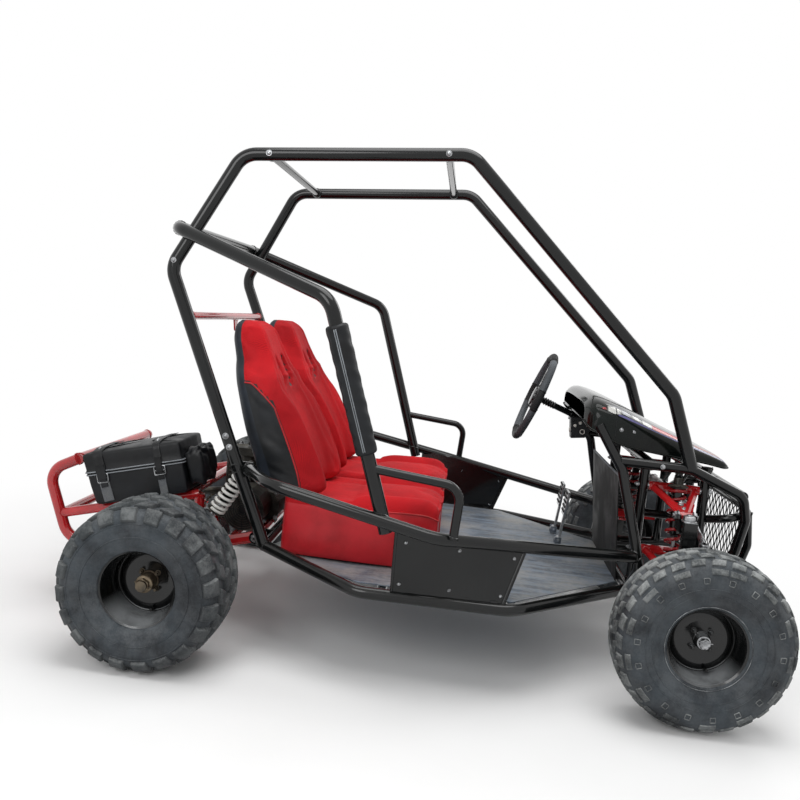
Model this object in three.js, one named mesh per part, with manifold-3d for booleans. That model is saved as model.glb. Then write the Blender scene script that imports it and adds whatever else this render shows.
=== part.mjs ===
// Off-road go kart with two seats: a bent-tube cage on a welded floor frame, double wishbones
// in front and a swing arm with a live axle behind. Millimetres, +X forward, +Y left, +Z up.
// The origin is on the ground, under the middle of the kart's length and width.
import * as THREE from 'three';
import * as BufferGeometryUtils from 'three/addons/utils/BufferGeometryUtils.js';
import Module from 'manifold-3d';

const wasm = await Module();
wasm.setup();

// Driving sizes of the whole kart
const wheelbase = 1490;
const pillarHalfWidth = 430;
const cageHeight = 1500;
const bumperReach = 465;
const fitGap = 0.3;
const cutOverrun = 4;

// Tubes
const cageTube = 38;
const railTube = 34;
const barTube = 30;
const braceTube = 24;
const cageBend = 70;
const railBend = 110;
const braceBend = 45;
const tubeSides = 8;
const thinTubeSides = 6;
const thickTube = barTube + 1;
const pinSides = 8;
const bendSteps = 2;
const thinBendSteps = 1;
const plateThickness = 5;

// Wheels
const frontTyreDiameter = 482;
const frontTyreWidth = 178;
const frontTrackOuter = 1364;
const rearTyreDiameter = 456;
const rearTyreWidth = 241;
const rearTrackOuter = 1538;
const rimDiameter = 206;
const rimLip = 10;
const rimWall = 4;
const lugDepth = 11;
const lugCount = 8;
const tyreCrownShare = 0.012;

// Front suspension
const wishboneInnerY = 255;
const kingpinY = 470;
const wishboneSpan = 150;
const wishboneTube = 22;
const wishboneDrop = 50;
const upperPivotZ = 582;
const wishboneSpacing = 195;
const kingpinSetBack = 40;
const kingpinDiameter = 20;
const hubBolt = 16;
const wishbonePin = 12;

// Rear suspension
const swingPivotX = 205;
const swingPivotZ = 285;
const swingHalfWidth = 290;
const swingTube = 36;
const axleDiameter = 30;

// Steering
const wheelRimDiameter = 335;
const wheelGripDiameter = 26;
const columnDiameter = 22;
const steeringY = 230;

const front = { radius: frontTyreDiameter / 2, width: frontTyreWidth };
front.y = frontTrackOuter / 2 - frontTyreWidth / 2;
front.z = front.radius;
const rear = { radius: rearTyreDiameter / 2, width: rearTyreWidth };
rear.y = rearTrackOuter / 2 - rearTyreWidth / 2;
rear.z = rear.radius;

const rearAxleX = (bumperReach - wheelbase - front.radius) / 2;
const frontAxleX = rearAxleX + wheelbase;
const kingpinX = frontAxleX - kingpinSetBack;

const kart = new THREE.Group();
const sides = [{ tag: 'right', sign: -1 }, { tag: 'left', sign: 1 }];

// A place on the kart from shares of the wheelbase, the pillars' half width and the cage height
function place([along, across, up], sign = 1) {
  return new THREE.Vector3(rearAxleX + along * wheelbase, sign * across * pillarHalfWidth, up * cageHeight);
}

function placeAll(table, sign = 1) {
  return table.map((shares) => place(shares, sign));
}

function point(x, y, z) {
  return new THREE.Vector3(x, y, z);
}

// Geometry to solid and back
function toSolid(geometry) {
  const plain = geometry.clone();
  plain.deleteAttribute('normal');
  plain.deleteAttribute('uv');
  const merged = BufferGeometryUtils.mergeVertices(plain);
  const mesh = new wasm.Mesh({
    numProp: 3,
    vertProperties: new Float32Array(merged.attributes.position.array),
    triVerts: new Uint32Array(merged.index.array),
  });
  const solid = new wasm.Manifold(mesh);
  return solid.volume() < 0 ? toSolid(flipped(merged)) : solid;
}

// The same geometry with its faces turned to look outward
function flipped(geometry) {
  const copy = geometry.clone();
  copy.setIndex(Array.from(geometry.index.array).reverse());
  return copy;
}

function toGeometry(solid) {
  const mesh = solid.getMesh();
  const geometry = new THREE.BufferGeometry();
  geometry.setAttribute('position', new THREE.BufferAttribute(new Float32Array(mesh.vertProperties), 3));
  geometry.setIndex(new THREE.BufferAttribute(new Uint32Array(mesh.triVerts), 1));
  geometry.computeVertexNormals();
  return geometry;
}

function join(...solids) {
  return solids.flat().reduce((sum, next) => sum.add(next));
}

function cut(solid, ...tools) {
  return tools.flat().reduce((rest, tool) => rest.subtract(tool), solid);
}

// A path of straight runs and round bends, one station for each ring of an extruded tube
class BentPath extends THREE.Curve {
  constructor(points, bendRadius, ringsPerBend) {
    super();
    this.ringsPerBend = ringsPerBend;
    this.stations = [{ at: points[0], along: points[1].clone().sub(points[0]).normalize() }];
    for (let i = 1; i < points.length - 1; i += 1) this.addBend(points[i - 1], points[i], points[i + 1], bendRadius);
    const last = points[points.length - 1];
    const before = points[points.length - 2];
    this.stations.push({ at: last, along: last.clone().sub(before).normalize() });
  }

  addBend(before, corner, after, bendRadius) {
    const into = corner.clone().sub(before);
    const out = after.clone().sub(corner);
    const room = Math.min(into.length(), out.length()) / 2;
    into.normalize();
    out.normalize();
    const turn = into.angleTo(out);
    if (turn === 0) return;
    const setBack = Math.min(bendRadius * Math.tan(turn / 2), room);
    const radius = setBack / Math.tan(turn / 2);
    const inward = out.clone().sub(into).normalize();
    const centre = corner.clone().addScaledVector(inward, radius / Math.cos(turn / 2));
    const start = corner.clone().addScaledVector(into, -setBack).sub(centre);
    const axis = into.clone().cross(out).normalize();
    for (let step = 0; step <= this.ringsPerBend; step += 1) {
      const angle = (turn * step) / this.ringsPerBend;
      this.stations.push({
        at: centre.clone().add(start.clone().applyAxisAngle(axis, angle)),
        along: into.clone().applyAxisAngle(axis, angle),
      });
    }
  }

  getPointAt(share) {
    return this.stations[Math.round(share * (this.stations.length - 1))].at.clone();
  }

  getTangentAt(share) {
    return this.stations[Math.round(share * (this.stations.length - 1))].along.clone();
  }
}

function circle(diameter, steps) {
  const shape = new THREE.Shape();
  const radius = diameter / 2;
  const corners = Array.from({ length: steps }, (unused, i) => {
    const angle = (2 * Math.PI * (i + 0.5)) / steps;
    return new THREE.Vector2(radius * Math.cos(angle), radius * Math.sin(angle));
  });
  shape.setFromPoints(corners);
  return shape;
}

function tube(points, diameter, bendRadius = cageBend, steps = diameter > thickTube ? tubeSides : thinTubeSides) {
  const path = new BentPath(points, bendRadius, diameter > thickTube ? bendSteps : thinBendSteps);
  const geometry = new THREE.ExtrudeGeometry(circle(diameter, steps), {
    extrudePath: path, steps: path.stations.length - 1,
  });
  return toSolid(geometry);
}

function rod(start, end, diameter, steps = pinSides) {
  return tube([start, end], diameter, 0, steps);
}

// A round hole for a pin: wide enough that the flats of its sides clear the pin's corners
function boreFor(diameter, steps = pinSides) {
  return (diameter + 2 * fitGap) / Math.cos(Math.PI / steps);
}

// A revolved profile of [radius, along] pairs about an axis through centre
function revolve(profile, centre, axis, steps) {
  const points = profile.map(([radius, along]) => new THREE.Vector2(radius, along));
  points.push(points[0].clone());
  const geometry = new THREE.LatheGeometry(points, steps);
  geometry.applyQuaternion(new THREE.Quaternion().setFromUnitVectors(point(0, 1, 0), axis));
  geometry.translate(centre.x, centre.y, centre.z);
  return toSolid(geometry);
}

// A flat plate: an outline of [u, v] pairs from the corner, pushed out along the third direction
function plate(outline, corner, u, v, thickness, holes = []) {
  const shape = new THREE.Shape(outline.map(([a, b]) => new THREE.Vector2(a, b)));
  holes.forEach((hole) => shape.holes.push(new THREE.Path(hole.map(([a, b]) => new THREE.Vector2(a, b)))));
  const geometry = new THREE.ExtrudeGeometry(shape, { depth: thickness, bevelEnabled: false, curveSegments: 8 });
  const w = u.clone().cross(v).normalize();
  geometry.applyMatrix4(new THREE.Matrix4().makeBasis(u, v, w).setPosition(corner));
  return toSolid(geometry);
}

function box(low, high) {
  const size = high.clone().sub(low);
  const geometry = new THREE.BoxGeometry(size.x, size.y, size.z);
  geometry.translate((low.x + high.x) / 2, (low.y + high.y) / 2, (low.z + high.z) / 2);
  return toSolid(geometry);
}

// A box from two opposite corners given in any order
function block(a, b) {
  return box(a.clone().min(b), a.clone().max(b));
}

const alongX = point(1, 0, 0);
const alongY = point(0, 1, 0);
const alongZ = point(0, 0, 1);

const finishes = {
  blackPaint: { color: 0x0b0d0e, roughness: 0.25, metalness: 0.2 },
  redPaint: { color: 0xc21a1f, roughness: 0.35, metalness: 0.15 },
  dustySteel: { color: 0x5d6570, roughness: 0.7, metalness: 0.4 },
  blackPlastic: { color: 0x151718, roughness: 0.5, metalness: 0 },
  glossCowl: { color: 0x10181b, roughness: 0.15, metalness: 0 },
  tyreRubber: { color: 0x2b2c2b, roughness: 0.9, metalness: 0 },
  blackVinyl: { color: 0x17191b, roughness: 0.55, metalness: 0 },
  redFabric: { color: 0xb5161a, roughness: 0.85, metalness: 0 },
  whiteSpring: { color: 0xe6e6e2, roughness: 0.35, metalness: 0.1 },
  zincSteel: { color: 0xa9abad, roughness: 0.4, metalness: 0.8 },
  castAlloy: { color: 0x6b6a67, roughness: 0.65, metalness: 0.5 },
  buttonPlastic: { color: 0xe9e9e4, roughness: 0.4, metalness: 0 },
};

function add(name, solid, finish) {
  const mesh = new THREE.Mesh(toGeometry(solid), new THREE.MeshStandardMaterial(finishes[finish]));
  mesh.name = name;
  kart.add(mesh);
}

// Routes of the frame tubes, as shares of the wheelbase, the pillars' half width and the cage height
const cageShares = [[0.173, 1, 0.2], [-0.056, 1, 0.719], [0.059, 0.914, 0.947],
  [0.497, 0.914, 0.985], [0.934, 0.814, 0.575], [0.987, 0.802, 0.437]];
const hoopShares = [[-0.047, -0.01, 0.795], [-0.047, 1.06, 0.795], [0.285, 1.6, 0.69], [0.421, 1.523, 0.293]];
const sideRailShares = [[0.129, 1, 0.347], [0.2, 1.51, 0.354], [0.51, 1.6, 0.298], [0.89, 0.92, 0.26]];
const grabLoopShares = [[0.38, 1.545, 0.405], [0.545, 1.563, 0.391], [0.54, 1.59, 0.3]];
const perimeterShares = [[0.173, 1, 0.2], [0.376, 1.395, 0.168], [0.66, 1.405, 0.17], [0.896, 0.78, 0.185],
  [0.93, 0.593, 0.187], [1.08, 0.593, 0.2]];
const uprightShares = [[0.802, 0.76, 0.503], [0.857, 0.78, 0.42], [0.906, 0.92, 0.24], [0.896, 0.78, 0.185]];
const noseRailShares = [[0.852, 0.775, 0.437], [0.987, 0.802, 0.437], [1.093, 0.79, 0.395], [1.108, 0.74, 0.346],
  [1.1, 0.7, 0.28], [1.08, 0.593, 0.2]];
const bumperShares = [[0.913, 0.54, 0.328], [1.034, 0.54, 0.328], [1.078, 0.72, 0.345], [1.12, 0.66, 0.356],
  [1.131, 0.4, 0.358], [1.131, -0.01, 0.358]];
const guardShares = [[1.123, 0.62, 0.356], [1.133, 0.6, 0.29], [1.12, 0.56, 0.225]];
const crossMemberShares = [0.173, 0.42, 0.66, 0.896];
const seatBarShares = [-0.015, 0.98, 0.63];

function bothSides(table, diameter, bendRadius) {
  return sides.map(({ sign }) => tube(placeAll(table, sign), diameter, bendRadius));
}

// The same tube, grown by the fit gap, cuts a seat for it in a neighbour
function seatFor(table, diameter, bendRadius, sign) {
  return tube(placeAll(table, sign), diameter + 2 * fitGap, bendRadius);
}

// A frame member straight across between the two lower rails
function crossMember(share, diameter) {
  const end = railAt(perimeterShares, Math.max(share, perimeterShares[0][0]), 1);
  return rod(point(end.x, -end.y, end.z), end, diameter);
}

function acrossAt([along, across, up], diameter) {
  return rod(place([along, across, up], -1), place([along, across, up], 1), diameter);
}

const boltHead = 16;
const boltHeadHeight = 5;
const boltSides = 6;

function boltOn(at, axis) {
  return rod(at.clone().addScaledVector(axis, -boltHeadHeight), at.clone().addScaledVector(axis, boltHeadHeight),
    boltHead, boltSides);
}

// Bolt and lug on the pillar for the rear shock's upper eye
const shockBolt = 12;
const shockEyeWidth = 22;
const rearShockTop = { x: 185, y: 375, z: 520 };
const lugPlate = { width: 56, height: 26, thickness: 6, offset: 15 };
function shockTopBolt(sign) {
  const at = point(rearAxleX + rearShockTop.x, sign * rearShockTop.y, rearShockTop.z);
  const inner = sign * (rearShockTop.y - shockEyeWidth / 2 - fitGap - lugPlate.thickness);
  const lugY = sign * (rearShockTop.y + lugPlate.offset);
  const lug = box(point(at.x - lugPlate.width, Math.min(lugY, lugY + sign * lugPlate.thickness),
    at.z - lugPlate.height / 2), point(at.x + lugPlate.thickness * 2, Math.max(lugY, lugY + sign
    * lugPlate.thickness), at.z + lugPlate.height / 2));
  const web = rod(point(at.x - lugPlate.width / 2, lugY, at.z), point(at.x - lugPlate.width / 2,
    sign * pillarHalfWidth, at.z), braceTube);
  return [rod(at.clone().setY(inner), at.clone().setY(lugY + sign * lugPlate.thickness), shockBolt), lug, web];
}

// Bent hoop of one side: rear pillar, roof rail and windscreen pillar in one tube
const pillarBoltShares = [0.6, 0.64];
function cageSide(sign) {
  const hoop = tube(placeAll(cageShares, sign), cageTube, cageBend);
  const [foot, knee] = placeAll(cageShares, sign);
  const boltFace = point(0, sign * (cageTube / 2), 0);
  const bolts = pillarBoltShares.map((share) => boltOn(knee.clone().lerp(foot, share).add(boltFace), alongY));
  const seats = [seatFor(perimeterShares, railTube, railBend, sign), seatFor(noseRailShares, barTube, braceBend, sign),
    crossMember(crossMemberShares[0], barTube + 2 * fitGap)];
  return cut(join(hoop, ...bolts, ...shockTopBolt(sign)), ...seats);
}
sides.forEach(({ tag, sign }) => add(`cage_side_${tag}`, cageSide(sign), 'blackPaint'));

// Cross bars bolted between the roof rails, with a flange at each end
const roofFlange = 36;
const roofFlangeSides = 8;
function roofBar(share) {
  const at = place(cageShares[2]).lerp(place(cageShares[3]), share);
  const bar = rod(point(at.x, at.y, at.z), point(at.x, -at.y, at.z), braceTube);
  const inner = at.y - cageTube / 2 - plateThickness;
  const flanges = sides.map(({ sign }) => rod(point(at.x, sign * at.y, at.z), point(at.x, sign * inner, at.z),
    roofFlange, roofFlangeSides));
  const outer = sides.map(({ sign }) => block(point(at.x - cageTube, sign * at.y, at.z - cageTube),
    point(at.x + cageTube, sign * (at.y + cageTube), at.z + cageTube)));
  const seats = sides.map(({ sign }) => seatFor(cageShares, cageTube, cageBend, sign));
  return cut(join(bar, ...flanges), ...seats, ...outer);
}
const roofBarShares = { rear: 0.12, front: 0.9 };
add('roof_bar_rear', roofBar(roofBarShares.rear), 'blackPaint');
add('roof_bar_front', roofBar(roofBarShares.front), 'blackPaint');

// Shoulder hoop behind the rear pillars, splayed out and down to both side rails
function shoulderHoop() {
  const halves = bothSides(hoopShares, cageTube, cageBend);
  const seats = sides.flatMap(({ sign }) => [seatFor(sideRailShares, railTube, railBend, sign),
    seatFor(cageShares, cageTube, cageBend, sign)]);
  return cut(join(...halves), ...seats);
}
add('shoulder_hoop', shoulderHoop(), 'blackPaint');

// Padded sleeve round the right leg of the shoulder hoop
const padStartShare = 0.06;
const padEndShare = 0.66;
const padDiameter = 70;
const padSides = 12;
function shoulderPad(sign) {
  const [, , top, foot] = placeAll(hoopShares, sign);
  const axis = foot.clone().sub(top).normalize();
  const start = top.clone().lerp(foot, padStartShare + cageBend / cageHeight);
  const end = top.clone().lerp(foot, padEndShare);
  const length = start.distanceTo(end);
  const bore = boreFor(cageTube, padSides) / 2;
  const outer = padDiameter / 2;
  const edge = (outer - bore) / 3;
  const profile = [[bore, 0], [outer - edge, 0], [outer, edge], [outer, length - edge], [outer - edge, length],
    [bore, length]];
  return revolve(profile, start, axis, padSides);
}
add('shoulder_pad', shoulderPad(-1), 'blackVinyl');

// A point on a tube's route, a share of the wheelbase ahead of the rear axle
function railAt(table, alongShare, sign) {
  const points = placeAll(table, sign);
  const x = rearAxleX + alongShare * wheelbase;
  const next = points.findIndex((p) => p.x > x);
  const [a, b] = [points[next - 1], points[next]];
  return a.clone().lerp(b, (x - a.x) / (b.x - a.x));
}

// A sheet of one thickness between four corners, in order round its outer face
function sheet(corners, thickness) {
  const normal = corners[1].clone().sub(corners[0]).cross(corners[3].clone().sub(corners[0])).normalize();
  const inner = corners.map((p) => p.clone().addScaledVector(normal, -thickness));
  const geometry = new THREE.BufferGeometry();
  const faces = [0, 1, 2, 0, 2, 3, 4, 6, 5, 4, 7, 6, 0, 4, 5, 0, 5, 1, 1, 5, 6, 1, 6, 2, 2, 6, 7, 2, 7, 3,
    3, 7, 4, 3, 4, 0];
  const values = [...corners, ...inner].flatMap((p) => p.toArray());
  geometry.setAttribute('position', new THREE.BufferAttribute(new Float32Array(values), 3));
  geometry.setIndex(faces);
  return toSolid(geometry);
}

// Upper side rail with its grab loop, and the sheet skirt that hangs from it
const skirtThickness = 3;
const skirtShares = { rear: 0.44, topFront: 0.675, bottomFront: 0.64 };
function sideRail(sign) {
  const rail = tube(placeAll(sideRailShares, sign), railTube, railBend);
  const loop = cut(tube(placeAll(grabLoopShares, sign), braceTube, braceBend),
    seatFor(hoopShares, cageTube, cageBend, sign));
  const topFront = railAt(sideRailShares, skirtShares.topFront, sign);
  const bottomFront = railAt(perimeterShares, skirtShares.bottomFront, sign);
  const rearEnds = [railAt(perimeterShares, skirtShares.rear, sign), railAt(sideRailShares, skirtShares.rear, sign)];
  const corners = [topFront, bottomFront, ...rearEnds];
  const skirt = sheet(sign > 0 ? corners.reverse() : corners, skirtThickness);
  const edge = rod(topFront, bottomFront, braceTube / 2);
  return cut(join(rail, loop, skirt, edge), seatFor(perimeterShares, railTube, railBend, sign),
    seatFor(cageShares, cageTube, cageBend, sign), seatFor(uprightShares, barTube, braceBend, sign));
}
sides.forEach(({ tag, sign }) => add(`side_rail_${tag}`, sideRail(sign), 'blackPaint'));

// Lower frame: perimeter rails, cross members and the lugs that carry the swing arm
const swingLugThickness = 6;
const swingLugWidth = 50;
const swingBoss = 40;
const swingPin = 14;
function swingLug(sign) {
  const root = place([crossMemberShares[0], 0, perimeterShares[0][2]]);
  const y = sign * (swingHalfWidth + swingTube / 2 + fitGap);
  const pivot = point(rearAxleX + swingPivotX, y, swingPivotZ);
  const eye = rod(pivot, pivot.clone().setY(y + sign * swingLugThickness), swingBoss, boltSides * 2);
  const arm = box(point(root.x, Math.min(y, y + sign * swingLugThickness), root.z - swingLugWidth / 2),
    point(pivot.x, Math.max(y, y + sign * swingLugThickness), root.z + railTube / 2));
  const pin = rod(pivot.clone().setY(y + sign * swingLugThickness), pivot.clone().setY(y - sign * swingTube), swingPin);
  return join(eye, arm, pin);
}

function lowerFrame() {
  const rails = bothSides(perimeterShares, railTube, railBend);
  const members = crossMemberShares.map((share) => crossMember(share, barTube));
  const nose = acrossAt(perimeterShares[5], barTube);
  return join(...rails, ...members, nose, ...sides.map(({ sign }) => swingLug(sign)));
}
add('lower_frame', lowerFrame(), 'blackPaint');

// Floor pan laid on the lower frame, turned up at the front as a toe board
const panSettle = 1.1;
const panFoot = place(perimeterShares[2]).z + barTube / 2 + fitGap - panSettle;
const panThickness = 3;
const panInset = 24;
const panRibWidth = 14;
const panRibHeight = 4;
const panRibShares = [-0.75, -0.45, -0.15, 0.15, 0.45, 0.75];
const panRearShare = 0.21;
const toeTopShares = [0.862, 0.62, 0.4];
const toeFootShares = [0.885, 0.62, 0.2];
function floorPan() {
  const z = panFoot;
  const rearX = rearAxleX + panRearShare * wheelbase;
  const outline = [railAt(perimeterShares, panRearShare, 1), ...placeAll(perimeterShares.slice(1, 3)),
    place(toeFootShares)].map((p) => [p.x, p.y - panInset]);
  const loop = [...outline, ...outline.map(([x, y]) => [x, -y]).reverse()];
  const pan = plate(loop, point(0, 0, z), alongX, alongY, panThickness);
  const foot = place(toeFootShares);
  const ribs = panRibShares.map((share) => {
    const y = share * foot.y;
    return box(point(rearX + swingLugWidth, y - panRibWidth / 2, z + panThickness / 2),
      point(foot.x - swingLugWidth, y + panRibWidth / 2, z + panThickness + panRibHeight));
  });
  const top = place(toeTopShares);
  const bottom = point(foot.x, foot.y - panInset, z);
  const toe = sheet([bottom, top, point(top.x, -top.y, top.z), point(bottom.x, -bottom.y, bottom.z)],
    panThickness);
  const seats = sides.flatMap(({ sign }) => [seatFor(perimeterShares, railTube, railBend, sign),
    seatFor(uprightShares, barTube, braceBend, sign)]);
  return cut(join(pan, ...ribs, toe), ...seats);
}

// Front frame: uprights, nose rails, bumper, cross bars, wishbone towers and the steering rack's housing
const columnDropAngle = 19.5 * Math.PI / 180;
const columnAxis = point(Math.cos(columnDropAngle), 0, -Math.sin(columnDropAngle));
const steeringCentre = place([0.702, 0, 0.5153]).setY(steeringY);
const columnLength = 312;
const bearingWall = 8;
const bearingLength = 34;
const rackDiameter = 26;
const rackHousingWall = 6;
const rackX = 50;
const rackZ = 528;
const rackHalf = 235;
const rackHousingHalf = 120;
const towerX = wishboneSpan / 2 + barTube / 2 + fitGap;
const towerTop = place(noseRailShares[1]).z;
const frontShockY = 345;
const frontShockTopY = 296;
const shockRailZ = 642;
const shockRail = 16;

function towers(sign) {
  return [-1, 1].map((end) => {
    const x = kingpinX + end * towerX;
    const foot = railAt(perimeterShares, (x - rearAxleX) / wheelbase, sign);
    return rod(point(x, sign * wishboneInnerY, foot.z), point(x, sign * wishboneInnerY, towerTop), barTube);
  });
}

// Rods between the caps that carry the shocks' upper eyes
function shockRails() {
  return sides.map(({ sign }) => rod(point(kingpinX - towerX, sign * frontShockTopY, shockRailZ),
    point(kingpinX + towerX, sign * frontShockTopY, shockRailZ), shockRail));
}

// Bolts between the towers, on which the wishbones' inner bushes turn
function wishbonePins() {
  return sides.flatMap(({ sign }) => [upperPivotZ, upperPivotZ - wishboneSpacing].map((z) => rod(
    point(kingpinX - towerX, sign * wishboneInnerY, z), point(kingpinX + towerX, sign * wishboneInnerY, z),
    wishbonePin)));
}

function towerCaps() {
  return [-1, 1].map((end) => {
    const x = kingpinX + end * towerX;
    const rail = railAt(noseRailShares, (x - rearAxleX) / wheelbase, 1);
    return rod(point(x, -rail.y, rail.z), point(x, rail.y, rail.z), barTube);
  });
}

function columnBearing() {
  const bar = place(uprightShares[0]);
  const reach = (bar.x - steeringCentre.x) / columnAxis.x;
  const start = steeringCentre.clone().addScaledVector(columnAxis, reach - bearingLength / 2);
  const bore = boreFor(columnDiameter) / 2;
  const ring = revolve([[bore, 0], [bore + bearingWall, 0], [bore + bearingWall, bearingLength], [bore, bearingLength]],
    start, columnAxis, pinSides);
  const web = box(point(bar.x - bearingWall, steeringY - bearingWall, start.z),
    point(bar.x + bearingWall, steeringY + bearingWall, bar.z));
  const bored = cut(web, rod(steeringCentre, steeringCentre.clone().addScaledVector(columnAxis, columnLength),
    2 * bore, pinSides));
  return join(ring, bored);
}

const gearBox = { length: 44, width: 56, height: 62 };
function steeringGear() {
  const end = steeringCentre.clone().addScaledVector(columnAxis, columnLength + fitGap);
  const half = point(gearBox.length / 2, gearBox.width / 2, gearBox.height / 2);
  const centre = end.clone().add(point(gearBox.length / 2, 0, 0));
  const block = box(centre.clone().sub(half), centre.clone().add(half));
  const shaft = rod(steeringCentre, end, boreFor(columnDiameter));
  return cut(block, shaft);
}

function rackHousing() {
  const x = kingpinX + rackX;
  const bore = boreFor(rackDiameter) / 2;
  const outer = bore + rackHousingWall;
  const sleeve = revolve([[bore, 0], [outer, 0], [outer, 2 * rackHousingHalf], [bore, 2 * rackHousingHalf]],
    point(x, -rackHousingHalf, rackZ), alongY, pinSides);
  const cap = railAt(noseRailShares, (kingpinX + towerX - rearAxleX) / wheelbase, 1);
  const hangers = sides.map(({ sign }) => {
    const y = sign * (rackHousingHalf - bearingLength);
    return rod(point(x, y, rackZ + bore + rackHousingWall / 2), point(cap.x, y, cap.z), rackHousingWall * 2, 8);
  });
  return join(sleeve, ...hangers);
}

// Bumper: one bar round the nose, two drop tubes and a foot bar that frame the mesh guard
function bumperBars() {
  return [...bothSides(bumperShares, braceTube, braceBend), ...bothSides(guardShares, braceTube, braceBend),
    acrossAt(guardShares[2], braceTube)];
}

function frontFrame() {
  const uprights = bothSides(uprightShares, barTube, braceBend);
  const noseRails = bothSides(noseRailShares, barTube, braceBend);
  const bars = [uprightShares[0], noseRailShares[2]].map((share) => acrossAt(share, barTube));
  const posts = sides.flatMap(({ sign }) => towers(sign));
  const parts = [...uprights, ...noseRails, ...bars, ...bumperBars(), ...posts, ...towerCaps(), ...shockRails(), ...wishbonePins(),
    columnBearing(), steeringGear(), rackHousing()];
  const seats = sides.map(({ sign }) => seatFor(perimeterShares, railTube, railBend, sign));
  const barSeats = [perimeterShares[3], perimeterShares[5]].map((share) => acrossAt(share, barTube + 2 * fitGap));
  return cut(join(...parts), ...seats, ...barSeats);
}
add('front_frame', frontFrame(), 'blackPaint');

// Expanded-metal guard between the bumper's drop tubes
const meshColumns = 4;
const meshRows = 2;
const meshWebShare = 0.2;
const meshThickness = 3;
function meshGuard() {
  const top = place(guardShares[0]);
  const foot = place(guardShares[2]);
  const halfWidth = foot.y;
  const low = foot.z;
  const high = top.z;
  const width = 2 * halfWidth;
  const height = high - low;
  const cell = { u: width / (meshColumns + 1), v: height / (meshRows + 1) };
  const holes = [];
  for (let row = 0; row < 2 * meshRows + 1; row += 1) {
    const shifted = row % 2;
    for (let column = 0; column < meshColumns + shifted; column += 1) {
      const u = (column + 1 - shifted / 2) * cell.u;
      const v = (row / 2 + 0.5) * cell.v;
      const [du, dv] = [cell.u / 2 * (1 - meshWebShare), cell.v / 2 * (1 - meshWebShare)];
      holes.push([[u - du, v], [u, v - dv], [u + du, v], [u, v + dv]]);
    }
  }
  const outline = [[0, 0], [width, 0], [width, height], [0, height]];
  const sheetMetal = plate(outline, point(foot.x - meshThickness / 2, -halfWidth, low), alongY, alongZ, meshThickness,
    holes);
  const seats = sides.flatMap(({ sign }) => [seatFor(guardShares, braceTube, braceBend, sign),
    seatFor(bumperShares, braceTube, braceBend, sign)]);
  return cut(sheetMetal, ...seats, acrossAt(guardShares[2], braceTube + 2 * fitGap));
}
add('mesh_guard', meshGuard(), 'blackPaint');

// Red cross bar between the rear pillars, behind the seats, with a small hook plate
const hookPlate = { width: 60, drop: 50 };
function seatBar() {
  const end = place(seatBarShares);
  const bar = acrossAt(seatBarShares, braceTube);
  const corner = point(end.x, hookPlate.width, end.z);
  const hook = plate([[0, 0], [hookPlate.width, 0], [hookPlate.width / 2, -hookPlate.drop]],
    corner.clone().setX(end.x - plateThickness / 2), alongY, alongZ, plateThickness);
  return cut(join(bar, hook), ...sides.map(({ sign }) => seatFor(cageShares, cageTube, cageBend, sign)));
}
add('seat_bar', seatBar(), 'redPaint');

// Cowl: stations from the dash to the nose as shares of the wheelbase, half width and cage height
const cowlWall = 4;
const cowlPlay = 3;
const cowlStationShares = [[0.775, 0.66, 0.542, 0.5], [0.8, 0.76, 0.556, 0.488], [0.85, 0.79, 0.542, 0.468],
  [0.93, 0.7, 0.508, 0.458], [1.02, 0.66, 0.474, 0.448], [1.075, 0.6, 0.456, 0.44]];
const cowlCrossShares = [[1, 0], [1, 0.55], [0.94, 0.82], [0.8, 0.95], [0.4, 1.02]];
function loft(rings) {
  const steps = rings[0].length;
  const values = rings.flat().flatMap((p) => p.toArray());
  const faces = [];
  for (let ring = 0; ring < rings.length - 1; ring += 1) {
    for (let i = 0; i < steps; i += 1) {
      const [a, b] = [ring * steps + i, ring * steps + (i + 1) % steps];
      faces.push(a, b, b + steps, a, b + steps, a + steps);
    }
  }
  const last = (rings.length - 1) * steps;
  for (let i = 1; i < steps - 1; i += 1) {
    faces.push(0, i + 1, i);
    faces.push(last, last + i, last + i + 1);
  }
  const geometry = new THREE.BufferGeometry();
  geometry.setAttribute('position', new THREE.BufferAttribute(new Float32Array(values), 3));
  geometry.setIndex(faces);
  const solid = toSolid(geometry);
  return solid.volume() < 0 ? toSolid(geometry.setIndex(faces.reverse())) : solid;
}

function cowlRing([along, across, top, foot], inset, drop) {
  const base = place([along, across, foot]);
  const crown = place([along, across, top]).z - inset;
  const half = base.y - inset;
  const floor = base.z - drop;
  const right = cowlCrossShares.map(([y, z]) => point(base.x, -y * half, floor + z * (crown - floor)));
  const left = cowlCrossShares.map(([y, z]) => point(base.x, y * half, floor + z * (crown - floor))).reverse();
  return [...right, ...left];
}

function cowl() {
  const outer = loft(cowlStationShares.map((station) => cowlRing(station, 0, 0)));
  const inner = loft(cowlStationShares.slice(1, -1).map((station) => cowlRing(station, cowlWall, cutOverrun)));
  const seats = sides.flatMap(({ sign }) => [seatFor(noseRailShares, barTube + cowlPlay, braceBend, sign),
    seatFor(cageShares, cageTube + cowlPlay, cageBend, sign), seatFor(uprightShares, barTube + cowlPlay, braceBend, sign)]);
  const barSeats = [uprightShares[0], noseRailShares[2]].map((share) => acrossAt(share, barTube + cowlPlay));
  const shaft = rod(steeringCentre, steeringCentre.clone().addScaledVector(columnAxis, columnLength),
    columnDiameter + 3 * bearingWall, pinSides);
  const corners = sides.map(({ sign }) => {
    const end = place(uprightShares[0], sign);
    return rod(end.clone().add(point(0, -barTube, 0)), end.clone().add(point(0, barTube, 0)), 2 * braceTube);
  });
  return cut(outer, inner, ...seats, ...barSeats, ...corners, shaft);
}
add('hood_cowl', cowl(), 'glossCowl');

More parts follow.
